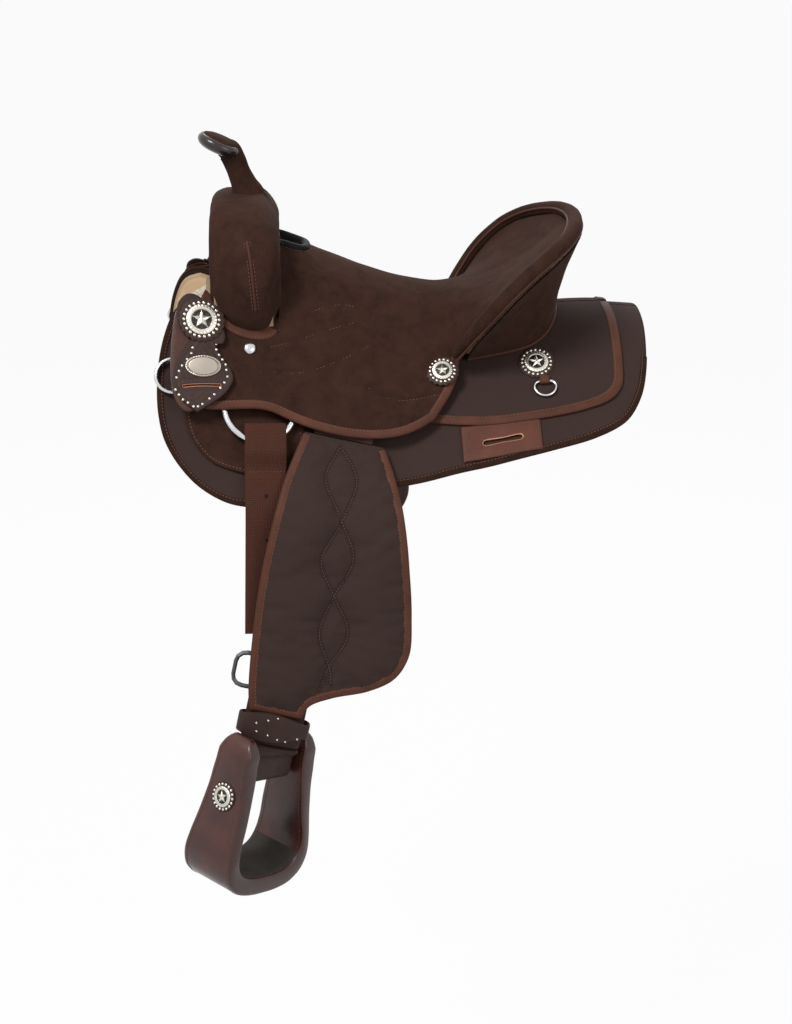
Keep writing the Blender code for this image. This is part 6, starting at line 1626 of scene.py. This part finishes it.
def star_relief(share, turn):
    """A five-pointed star in a plain ring, inside a fine roped border."""
    step = (turn / (2 * math.pi) * 5 + 0.25) % 1.0
    towards = abs(step - 0.5) * 2 * math.pi / 5
    tip = np.array((STAR_TIP, 0.0))
    notch = STAR_NOTCH * np.array((math.cos(math.pi / 5), math.sin(math.pi / 5)))
    place = share * np.array((math.cos(math.pi / 5 - towards), math.sin(math.pi / 5 - towards)))
    normal = np.array((notch[1] - tip[1], tip[0] - notch[0]))
    star = -float((place - tip) @ normal) / np.linalg.norm(normal)
    dome = 0.0012 * (1 - share * share)
    if star > 0:
        return dome + 0.0004 + min(star, 0.16) * 0.0075, 1.0
    if share > 0.66:
        rope = 0.5 + 0.5 * math.sin(26 * turn + share * 9) if share > 0.86 else 1.0
        bank = min(1.0, (share - 0.66) / 0.04) * min(1.0, (1.0 - share) / 0.05 + 0.25)
        return dome + 0.0011 * bank * (0.55 + 0.45 * rope), 0.55 + 0.45 * rope
    return dome, 0.0


def oval_relief(share, turn):
    """A plain domed plate inside a corded border."""
    dome = 0.0010 * (1 - share * share)
    if share > 0.84:
        cord = 0.5 + 0.5 * math.sin(38 * turn)
        return dome + 0.0008 * (0.4 + 0.6 * cord) * min(1.0, (1.0 - share) / 0.04 + 0.3), 0.4 + 0.6 * cord
    if share > 0.80:
        return dome - 0.0002, 0.0
    return dome, 0.62


def leather_relief(share, turn):
    return 0.0008 * min(1.0, (1.0 - share) * 9), 0.5


def scallops(count):
    return lambda turn: 1.0 + 0.035 * math.cos(count * turn)


def concho(name, matrix, radius, berries, body, replaces, rosette=0.0, count=20):
    """Dark rosette, struck star disc and a ring of berries, in a frame whose Z points out."""
    inner = np.asarray(matrix) @ np.array(Matrix.Translation((0.0, 0.0, 0.0012)))
    if rosette:
        struck(name + "_rosette", matrix, rosette, rosette, leather_relief, KEEPER_LEATHER, body, rings=10, turns=96,
               rim=scallops(count))
    struck(name + "_star", inner, radius, radius, star_relief, SILVER, body, replaces, rings=34, turns=120)
    angle = np.arange(count) * 2 * math.pi / count
    ring = np.column_stack([berries * np.cos(angle), berries * np.sin(angle), np.full(count, 0.0014), np.ones(count)])
    places = (ring @ np.asarray(matrix).T)[:, :3]
    normals = np.tile(np.asarray(matrix)[:3, 2], (count, 1))
    domes(name + "_berries", places, normals, berries * math.pi / count * 0.72, SILVER, body)


stud_places, stud_normals = seen_on(KEEPER_TREE, STUD_PIXELS)
for side, word in SIDES:
    where = flank_side(side)
    down = 0.1230 if side == NEAR else 0.1275
    concho("concho_front_" + word, where @ flank_frame(-0.2350, down, KEEPER_TOP), 0.0180, 0.0205, "saddle",
           ("concho_front_" + word,), 0.0262, 22)
    concho("concho_seat_" + word, where @ flank_frame(0.0470, 0.1130, JOCKEY_TOP + 0.0035), 0.0122, 0.0148, "saddle",
           ("concho_seat_" + word,), 0.0195, 18)
    concho("concho_rear_" + word, where @ flank_frame(0.1620, 0.1080, REAR_JOCKEY_TOP), 0.0145, 0.0172, "saddle",
           ("concho_rear_" + word,), 0.0212, 20)
    struck("name_plate_" + word + "_oval", where @ flank_frame(-0.2340, 0.1780, KEEPER_TOP), 0.0205, 0.0128,
           oval_relief, PEWTER, "saddle", ("name_plate_" + word,), rings=24, turns=152)
    domes("keeper_studs_" + word, stud_places, stud_normals, 0.0017, SILVER, "saddle", matrix=where)
    lathe("seat_screw_" + word + "_head", ((0.0, -0.0008), (0.0068, -0.0008), (0.0072, 0.0004), (0.0062, 0.0019),
                                          (0.0040, 0.0028), (0.0018, 0.0031), (0.0, 0.0031)),
          where @ flank_frame(-0.1800, 0.1340, JOCKEY_TOP + 0.0006), NICKEL, 32,
          replaces=("seat_screw_" + word,))


# ---- Rings, dees and their leather
RING_X, RING_DOWN, RING_RADIUS, RING_WIRE = -0.1700, 0.2010, 0.0410, 0.0037
LATIGO_THICK, LATIGO_WIDTH, LATIGO_LENGTH = 0.0026, 0.0480, 0.2220
DEE_CORNER = 0.006
RING_TOP_OUT = RIGGING_TOP + GAP + RING_WIRE
RING_FOOT_OUT = RING_TOP_OUT + LATIGO_THICK + 6 * GAP
RING_OUT = (RING_TOP_OUT + RING_FOOT_OUT) / 2
RING_TILT = math.atan((RING_FOOT_OUT - RING_TOP_OUT) / (2 * RING_RADIUS))


def moved(points, matrix):
    matrix = np.asarray(matrix)
    return np.asarray(points, float) @ matrix[:3, :3].T + matrix[:3, 3]


def dee_line(width, height):
    """A dee from its straight bar at the top, round the bow below it."""
    half, corner = width / 2, DEE_CORNER
    bow = height - half if height > half + corner else corner
    points = [(-half + corner, 0.0), (half - corner, 0.0), (half - 0.0018, 0.0018), (half, corner)]
    for k in range(13):
        angle = math.pi * k / 12
        points.append((half * math.cos(angle), bow + (height - bow) * math.sin(angle)))
    points += [(-half, corner), (-half + 0.0018, 0.0018)]
    line = resampled(np.array(points), 0.0012, True)
    return np.column_stack([smoothed(line, 4), np.zeros(len(line))])


def ribbon(name, line, across, width, thick, mat, body, matrix=None, replaces=()):
    """A flat strap along a line; its pattern runs across it and along it."""
    line = np.asarray(line, float)
    across = np.asarray(across, float) + np.zeros_like(line)
    above = np.cross(np.gradient(line, axis=0), across)
    above /= np.linalg.norm(above, axis=1)[:, None]
    half, deep = width / 2, thick / 2
    soft = min(deep, 0.0011)
    outline = [(-half, 0.0), (-half + soft * 0.3, deep * 0.7), (-half + soft, deep), (-half * 0.5, deep), (0.0, deep),
               (half * 0.5, deep), (half - soft, deep), (half - soft * 0.3, deep * 0.7), (half, 0.0),
               (half - soft * 0.3, -deep * 0.7), (half - soft, -deep), (0.0, -deep), (-half + soft, -deep),
               (-half + soft * 0.3, -deep * 0.7)]
    sections = np.stack([line + across * a + above * u for a, u in outline], 1)
    points, faces = swept(sections, False)
    run = np.r_[0.0, np.cumsum(np.linalg.norm(np.diff(line, axis=0), axis=1))]
    flat = np.array([[a, r, half - abs(a)] for r in run for a, _ in outline])
    return add_piece(name, points, faces, mat, body, flat, replaces, matrix, 50)


def dee_loop(name, place, wire, width, length, mat, body):
    """Leather folded round a dee's bar, with both ends sewn down behind it."""
    reach = wire + GAP + 0.0008
    turns = np.linspace(0.0, math.pi, 13)
    path = [(-length, -reach * 0.2 - 0.0006)] + [(-length * 0.7, reach * 0.9)] + [(-0.001, reach)]
    path += [(reach * math.sin(a), reach * math.cos(a)) for a in turns] + [(-length, -reach)]
    line = open_curve([(0.0, a, b) for a, b in path], 0.0010)
    across = np.asarray(place)[:3, 0]
    ribbon(name, moved(line, place), across, width, 0.0016, mat, body)


quarter = np.array(Matrix.Rotation(math.radians(90), 4, "Z"))
for side, word in SIDES:
    where = flank_side(side)
    ring = np.column_stack([circle(RING_RADIUS, 96), np.zeros(96)])
    place = flank_frame(RING_X, RING_DOWN, RING_OUT) @ np.array(Matrix.Rotation(RING_TILT, 4, "X"))
    tube("rigging_ring_" + word + "_wire", moved(ring, place), RING_WIRE, NICKEL, "saddle", True, 14, where,
         ("rigging_ring_" + word,))
    place = flank_frame(-0.2640, 0.1930, ON_SKIRT + 0.0058) @ quarter
    tube("front_dee_" + word + "_wire", moved(dee_line(0.040, 0.026), place), 0.0022, NICKEL, word + "_front_dee",
         True, 12, where, ("front_dee_" + word,))
    dee_loop("front_dee_loop_" + word, where @ place, 0.0022, 0.018, 0.014, FRONT_LEATHER, "saddle")
    place = flank_frame(0.1690, 0.1370, REAR_JOCKEY_TOP + 0.0034)
    tube("rear_dee_" + word + "_wire", moved(dee_line(0.026, 0.020), place), 0.0016, NICKEL, word + "_rear_dee",
         True, 12, where, ("rear_dee_" + word,))
    dee_loop("rear_dee_loop_" + word, where @ place, 0.0016, 0.012, 0.008, BINDING, "saddle")

# ---- Latigo and billet
latigo_low = RIGGING_TOP + GAP
latigo_sag = RING_RADIUS - math.sqrt(RING_RADIUS**2 - (LATIGO_WIDTH / 2 + 0.0040) ** 2) + 0.0035
bow = RING_WIRE + 5 * GAP + LATIGO_THICK / 2
path = [(0.0400, latigo_low + LATIGO_THICK * 0.5), (0.0200, latigo_low + LATIGO_THICK * 0.5),
        (0.0050, latigo_low + LATIGO_THICK * 0.5)]
path += [(-latigo_sag + bow * math.cos(a), RING_FOOT_OUT + bow * math.sin(a))
         for a in np.radians(np.arange(270, 89, -15))]
path += [(0.0040, RING_FOOT_OUT + bow), (0.0140, RING_FOOT_OUT + bow * 0.80),
         (0.0300, latigo_low + 1.75 * LATIGO_THICK), (0.0430, latigo_low + 1.55 * LATIGO_THICK),
         (0.0600, latigo_low + 0.90 * LATIGO_THICK), (0.0800, latigo_low + 0.50 * LATIGO_THICK)]
path = np.vstack([open_curve(path, 0.0016), [(length, latigo_low + LATIGO_THICK / 2)
                                             for length in np.arange(0.0840, LATIGO_LENGTH + 1e-6, 0.004)]])
latigo_line = LATIGO(np.zeros(len(path)), path[:, 0], path[:, 1])
for side, word, node in ((NEAR, "near", "latigo_near"), (OFF, "off", "billet_off")):
    where = flank_side(side)
    body = word + "_strap"
    ribbon(node + "_webbing", latigo_line, LATIGO.across, LATIGO_WIDTH, LATIGO_THICK, WEBBING, body, where,
           (node,))
    lines = []
    for length in (0.0290, 0.0350):
        flat = np.column_stack([np.linspace(-0.019, 0.019, 12), np.full(12, length)])
        lines.append((LATIGO(flat[:, 0], flat[:, 1], np.full(12, latigo_low + 2.26 * LATIGO_THICK)),
                      np.tile(LATIGO.out, (12, 1))))
    seam(node + "_stitching", lines, CLOSE_PITCH, THIN_THREAD, THREAD, body, where)
    # The strap's holes are flat black discs laid on it: painted shade where the holes are
    heights = np.array((2.32, 1.42, 1.02)) * LATIGO_THICK + latigo_low
    places = LATIGO(np.zeros(3), np.array((0.0200, 0.0620, 0.1080)), heights)
    domes(node + "_hole_painted_shade", places, np.tile(LATIGO.out, (3, 1)), 0.0024, BLACK, body, where, 0.14)

# ---- Stirrup leathers, their wraps and hobble straps
STRAP_THICK, STRAP_WIDTH, STRAP_MIDDLE = 0.0042, 0.0700, -0.0140
STRAP_LOW = FENDER_LIFT - GAP - STRAP_THICK
BOLT_OUT = STRAP_LOW + STRAP_THICK / 2
BUCKLE_DOWN = LATIGO_LENGTH + 0.0680
SOLID_HOBBLE_TOP = BUCKLE_DOWN + 0.0340
HOBBLE_DEPTH, HOBBLE_THICK = 0.0340, 0.0030
SOLID_TWIST_START = SOLID_HOBBLE_TOP + HOBBLE_DEPTH + 0.0040
BOLT_DOWN = SOLID_TWIST_START + 0.0380
TWIST_START, TWIST_LENGTH = SOLID_TWIST_START + 0.0060, 0.0210
HOBBLE_TOP = SOLID_HOBBLE_TOP + 0.0080
STIRRUP_TURNS = {NEAR: -48.0, OFF: -70.0}


def twisted(turn, across, length, out):
    """The lower leather turns towards the stirrup between the hobble strap and the bolt."""
    share = np.clip((length - TWIST_START) / TWIST_LENGTH, 0.0, 1.0)
    angle = math.radians(turn) * share * share * (3 - 2 * share)
    sideways, outwards = across - STRAP_MIDDLE, out - BOLT_OUT
    return FENDER(STRAP_MIDDLE + sideways * np.cos(angle) - outwards * np.sin(angle), length,
                  BOLT_OUT + outwards * np.cos(angle) + sideways * np.sin(angle))


def bent_frame(across, length, out, turned):
    """Axes across, down and out of the fender's strip, turned about the downward one."""
    turn = float(np.clip((length - FENDER.bend_at) / FENDER.radius, 0.0, FENDER.bend))
    normal = FENDER.out * math.cos(turn) + FENDER.down * math.sin(turn)
    down = FENDER.down * math.cos(turn) - FENDER.out * math.sin(turn)
    spin = np.array(Matrix.Rotation(math.radians(turned), 3, Vector(down)))
    made = np.eye(4)
    made[:3, 0], made[:3, 1], made[:3, 2] = spin @ FENDER.across, down, spin @ normal
    made[:3, 3] = FENDER(np.array([across]), np.array([length]), np.array([out]))[0]
    return made


def loft(name, sections, mat, body, flat, matrix, replaces=()):
    """A solid through a row of sections."""
    points, faces = swept(np.asarray(sections), False)
    return add_piece(name, points, faces, mat, body, flat, replaces, matrix, 50)


def rounded_box(half, deep, soft, per=4):
    """A rectangle with round corners, as (across, out) points."""
    rows = []
    for quarter_turn, (cx, cy) in enumerate(((1, 1), (-1, 1), (-1, -1), (1, -1))):
        for k in range(per + 1):
            angle = math.pi / 2 * (quarter_turn + k / per)
            rows.append((cx * (half - soft) + soft * math.cos(angle), cy * (deep - soft) + soft * math.sin(angle)))
    return np.array(rows)


HOBBLE_PIXELS = (
    (256.3, 723.0), (268.3, 720.8), (278.0, 718.8), (286.3, 717.0), (293.8, 718.0), (298.8, 719.5),
    (256.3, 731.3), (267.5, 735.5), (277.0, 740.0), (285.0, 742.0), (290.8, 742.5), (297.0, 739.5),
)
for side, word in SIDES:
    where = fender_side(side)
    turn = STIRRUP_TURNS[side]
    lengths = np.linspace(-0.100, 0.0014, 26)
    line = FENDER(np.zeros(26), lengths, np.full(26, FENDER_LIFT + STRAP_THICK / 2))
    ribbon("stirrup_leather_upper_" + word + "_strap", line, FENDER.across, STRAP_WIDTH, STRAP_THICK, STRAP_LEATHER,
           word + "_leather", where, ("stirrup_leather_upper_" + word,))
    body = word + "_fender"
    outline = rounded_box(STRAP_WIDTH / 2, STRAP_THICK / 2, 0.0012)
    lengths = np.r_[np.linspace(0.150, TWIST_START, 26), np.linspace(TWIST_START, BOLT_DOWN, 22)[1:]]
    sections, flat = [], []
    for length in lengths:
        narrow = 1.0 - 0.10 * np.clip((length - TWIST_START) / 0.02, 0.0, 1.0)
        rows = np.full(len(outline), length)
        sections.append(twisted(turn, STRAP_MIDDLE + outline[:, 0] * narrow, rows, BOLT_OUT + outline[:, 1]))
        flat += [(a, length, STRAP_WIDTH / 2 - abs(a)) for a, _ in outline]
    loft("stirrup_leather_lower_" + word + "_strap", sections, STRAP_LEATHER, body, flat, where,
         ("stirrup_leather_lower_" + word,))
    sections, flat = [], []
    for k in range(23):
        share = k / 22
        length = between(BOLT_DOWN - 0.0270, BOLT_DOWN + 0.0150, share)
        full = min(1.0, math.sqrt(max(1 - ((share - 0.5) / 0.5) ** 6, 0.0)) + 0.02)
        block = rounded_box(0.0345 * between(0.93, 1.0, full), 0.0128 * max(full, 0.25), 0.0030 * max(full, 0.2))
        rows = np.full(len(block), length)
        sections.append(twisted(turn, STRAP_MIDDLE + block[:, 0], rows, BOLT_OUT + block[:, 1]))
        flat += [(a, length, 0.02) for a, _ in block]
    loft("stirrup_wrap_" + word, sections, KEEPER_LEATHER, body, flat, where)

    # Hobble strap: a band round the leather, its front a broad tongue
    half, wall = STRAP_WIDTH / 2 + 0.0045, HOBBLE_THICK
    low, high = STRAP_LOW - GAP - wall / 2, FENDER_TOP + 0.0030 + wall / 2
    ring = rounded_box(half + wall / 2, (high - low) / 2, 0.0070, 6)
    ring = resampled(ring, 0.0028, True)
    ring = ring + np.array((STRAP_MIDDLE, (high + low) / 2))
    sections, flat, run = [], [], 0.0
    for index, (across, out) in enumerate(ring):
        front = np.clip((out - low) / (high - low), 0.0, 1.0)
        share = np.clip((across - STRAP_MIDDLE + half) / (2 * half), 0.0, 1.0)
        wide = math.sin(math.pi * np.clip(share * 0.80 + 0.16, 0.0, 1.0)) ** 1.2
        top = HOBBLE_TOP + between(0.0040, between(0.0080, 0.0, wide), front)
        foot = HOBBLE_TOP + HOBBLE_DEPTH - between(0.0050, between(0.0120, -0.0020, wide), front)
        middle = ring.mean(0)
        outward = unit(np.array((across, out)) - middle) if abs(across - middle[0]) > half * 0.96 else np.array(
            (0.0, math.copysign(1.0, out - middle[1])))
        rows = []
        for along_share, push in ((0.0, -0.4), (0.03, 0.35), (0.10, 0.5), (0.30, 0.5), (0.50, 0.5), (0.70, 0.5),
                                  (0.90, 0.5), (0.97, 0.35), (1.0, -0.4), (0.5, -0.5)):
            place = np.array((across, out)) + outward * push * wall
            rows.append((place[0], between(top, foot, along_share), place[1]))
        rows = np.array(rows)
        sections.append(FENDER(rows[:, 0], rows[:, 1], rows[:, 2]))
        flat += [(across, a, 0.02) for a in rows[:, 1]]
    points, faces = swept(np.array(sections), True)
    add_piece("hobble_strap_" + word + "_leather", points, faces, KEEPER_LEATHER, body, flat,
              ("hobble_strap_" + word,), where, 50)
    if side == NEAR:
        hobble_tree = surface_tree(points, faces)
        hobble_places, hobble_normals = seen_on(hobble_tree, HOBBLE_PIXELS)
    domes("hobble_studs_" + word, hobble_places, hobble_normals, 0.0013, SILVER, body, matrix=where)

# ---- Stirrups
STIRRUP_HALF = ((-0.0500, -0.0430), (-0.0560, -0.0370), (-0.0600, -0.0220), (-0.0615, 0.0000), (-0.0610, 0.0220),
                (-0.0640, 0.0550), (-0.0685, 0.0850), (-0.0690, 0.1050), (-0.0620, 0.1260), (-0.0450, 0.1395),
                (-0.0230, 0.1448))
OPENING_HALF = ((-0.0440, -0.0430), (-0.0410, -0.0370), (-0.0400, -0.0220), (-0.0405, 0.0000), (-0.0430, 0.0220),
                (-0.0480, 0.0550), (-0.0540, 0.0820), (-0.0535, 0.0980), (-0.0460, 0.1130), (-0.0320, 0.1215),
                (-0.0160, 0.1245))


def both_halves(half, middle):
    return open_curve([*half, middle, *[(-x, y) for x, y in reversed(half)]], 0.0028)


STIRRUP_OUTER = both_halves(STIRRUP_HALF, (0.0, 0.1458))
STIRRUP_INNER = both_halves(OPENING_HALF, (0.0, 0.1250))


def stirrup_depth(y):
    """Half depth of the stirrup, narrower at its rounded tops and broad at the tread."""
    share = np.clip((y + 0.010) / 0.110, 0.0, 1.0)
    top = np.sqrt(np.clip((y + 0.0445) / 0.0200, 0.02, 1.0))
    return between(0.0250, 0.0380, share) * (1 - (1 - top) * 0.62)


def stirrup_sections():
    marks = np.linspace(0.0, 1.0, 110)
    outer, inner = at_share(STIRRUP_OUTER, marks), at_share(STIRRUP_INNER, marks)
    sections, flat = [], []
    for o, i, mark in zip(outer, inner, marks):
        wall = np.linalg.norm(o - i)
        axis = (o - i) / wall
        deep = float(stirrup_depth((o[1] + i[1]) / 2))
        box = rounded_box(wall / 2, deep, min(0.0030, wall * 0.3), 3)
        rows = [(*(between(i, o, 0.5) + axis * a), z) for a, z in box]
        sections.append(rows)
        flat += [(z, mark * 0.36, deep - abs(z)) for a, z in box]
    return np.array(sections), flat, outer, inner


sections, stirrup_flat, stirrup_outer, stirrup_inner = stirrup_sections()
tread_rows = np.abs(np.linspace(-1, 1, len(stirrup_inner))) < 0.30
for side, word in SIDES:
    body = word + "_stirrup"
    frame_of = np.asarray(fender_side(side)) @ bent_frame(STRAP_MIDDLE, BOLT_DOWN, BOLT_OUT, STIRRUP_TURNS[side])
    points, faces = swept(sections, False)
    add_piece("stirrup_" + word + "_leather", points, faces, STIRRUP_LEATHER, body, stirrup_flat,
              ("stirrup_" + word,), frame_of, 60)
    tread = []
    for place, deep in zip(stirrup_inner[tread_rows], stirrup_depth(stirrup_inner[tread_rows][:, 1])):
        slab = rounded_box(0.0010, deep - 0.0030, 0.0008, 2)
        tread.append([(place[0], place[1] + a, z) for a, z in slab])
    loft("stirrup_tread_" + word, np.array(tread), RUBBER, body,
         [(p[2], p[0], 0.02) for row in tread for p in row], frame_of)
    lines = []
    for outline, push in ((stirrup_outer, 0.0004), (stirrup_inner, 0.0004)):
        slope = np.gradient(outline, axis=0)
        slope /= np.linalg.norm(slope, axis=1)[:, None]
        out = np.column_stack([slope[:, 1], -slope[:, 0]])
        other = stirrup_inner if outline is stirrup_outer else stirrup_outer
        if ((outline - other) * out).sum() < 0:
            out = -out
        for sign in (-1, 1):
            deep = stirrup_depth(outline[:, 1]) - 0.0052
            line = np.column_stack([outline + out * push, sign * deep])[3:-3]
            lines.append((line, np.column_stack([out, np.zeros(len(out))])[3:-3]))
    seam("stirrup_stitching_" + word, lines, 0.0040, THIN_THREAD, THREAD, body, frame_of)
    down = 0.0285
    at = int(np.argmin(np.abs(stirrup_outer[:len(stirrup_outer) // 2, 1] - down)))
    lean = unit(stirrup_outer[at + 2] - stirrup_outer[at - 2])
    face = np.eye(4)
    outwards = unit(np.array((-lean[1], lean[0], 0.0)))
    outwards = outwards if outwards[0] < 0 else -outwards
    face[:3, 2] = outwards
    face[:3, 1] = (0.0, 0.0, 1.0)
    face[:3, 0] = np.cross(face[:3, 1], face[:3, 2])
    face[:3, 3] = (*stirrup_outer[at], 0.0)
    concho("stirrup_concho_" + word, frame_of @ face, 0.0122, 0.0146, body, ("stirrup_concho_" + word,), 0.0175, 18)

# ---- Pieces carried over from the frame
CARRIED = {
    "stirrup_buckle_near": BLACK_STEEL, "stirrup_buckle_off": BLACK_STEEL, "stirrup_bolt_near": BLACK_STEEL,
    "stirrup_bolt_off": BLACK_STEEL, "tree_bar_near": WOOD, "tree_bar_off": WOOD, "tree_fork": WOOD,
    "tree_cantle": WOOD, "ground_seat": STRAP_LEATHER,
}
for name, mat in CARRIED.items():
    node = NODES[name]
    if len(node.material_slots):
        for spot in node.material_slots:
            spot.material = mat
    else:
        node.data.materials.append(mat)
    if "buckle" in name or "bolt" in name:
        rounder = node.modifiers.new("Bevel", "BEVEL")
        rounder.width = 0.0008
        rounder.segments = 2


# ---- Camera, lights and floor
camera = bpy.data.objects.new("camera", bpy.data.cameras.new("camera"))
camera.data.lens = LENS
camera.data.clip_end = 1000.0
camera.location = EYE
camera.rotation_mode = "QUATERNION"
camera.rotation_quaternion = VIEW_TURN
bpy.context.scene.collection.objects.link(camera)
bpy.context.scene.camera = camera


LAMP_AIM = Vector((0.0, 0.0, -0.1))


def lamp(name, place, size, power):
    light = bpy.data.lights.new(name, "AREA")
    light.shape = "DISK"
    light.size = size
    light.energy = power
    obj = bpy.data.objects.new(name, light)
    obj.location = place
    obj.rotation_mode = "QUATERNION"
    obj.rotation_quaternion = (LAMP_AIM - Vector(place)).to_track_quat("-Z", "Y")
    bpy.context.scene.collection.objects.link(obj)


lamp("key", (-1.5, -1.5, 2.5), 1.1, 76.0)
lamp("fill", (1.9, -2.2, 0.9), 1.8, 20.0)
lamp("rear", (0.5, 2.6, 1.8), 1.8, 40.0)


def seen_directly(tree):
    """1 for rays that see the backdrop itself, or see it in metal or glass."""
    rays = tree.nodes.new("ShaderNodeLightPath")
    first = tree.nodes.new("ShaderNodeMath")
    first.operation = "MAXIMUM"
    tree.links.new(rays.outputs["Is Camera Ray"], first.inputs[0])
    tree.links.new(rays.outputs["Is Glossy Ray"], first.inputs[1])
    second = tree.nodes.new("ShaderNodeMath")
    second.operation = "MAXIMUM"
    tree.links.new(first.outputs[0], second.inputs[0])
    tree.links.new(rays.outputs["Is Transmission Ray"], second.inputs[1])
    return second.outputs[0]


world = bpy.data.worlds.new("studio")
bpy.context.scene.world = world
world.use_nodes = True
tree = world.node_tree
sky = tree.nodes["Background"]
sky.inputs["Color"].default_value = (1.0, 1.0, 1.0, 1.0)
level = tree.nodes.new("ShaderNodeMapRange")
level.inputs["To Min"].default_value = 0.34
level.inputs["To Max"].default_value = 1.0
tree.links.new(seen_directly(tree), level.inputs["Value"])
tree.links.new(level.outputs[0], sky.inputs["Strength"])

paper = bpy.data.materials.new("pale_floor")
paper.use_nodes = True
tree = paper.node_tree
plain = tree.nodes["Principled BSDF"]
plain.inputs["Base Color"].default_value = (0.92, 0.92, 0.92, 1.0)
plain.inputs["Roughness"].default_value = 0.9
bright = tree.nodes.new("ShaderNodeEmission")
bright.inputs["Color"].default_value = (1.0, 1.0, 1.0, 1.0)
join = tree.nodes.new("ShaderNodeMixShader")
share = tree.nodes.new("ShaderNodeMath")
share.operation = "MULTIPLY"
share.inputs[1].default_value = 0.93
tree.links.new(seen_directly(tree), share.inputs[0])
tree.links.new(share.outputs[0], join.inputs[0])
tree.links.new(plain.outputs[0], join.inputs[1])
tree.links.new(bright.outputs[0], join.inputs[2])
tree.links.new(join.outputs[0], tree.nodes["Material Output"].inputs["Surface"])
bpy.ops.mesh.primitive_plane_add(size=400.0, location=(0.0, 0.0, -1.30))
floor = bpy.context.object
floor.name = "floor"
floor.data.materials.append(paper)

bpy.context.scene.view_settings.view_transform = "Standard"
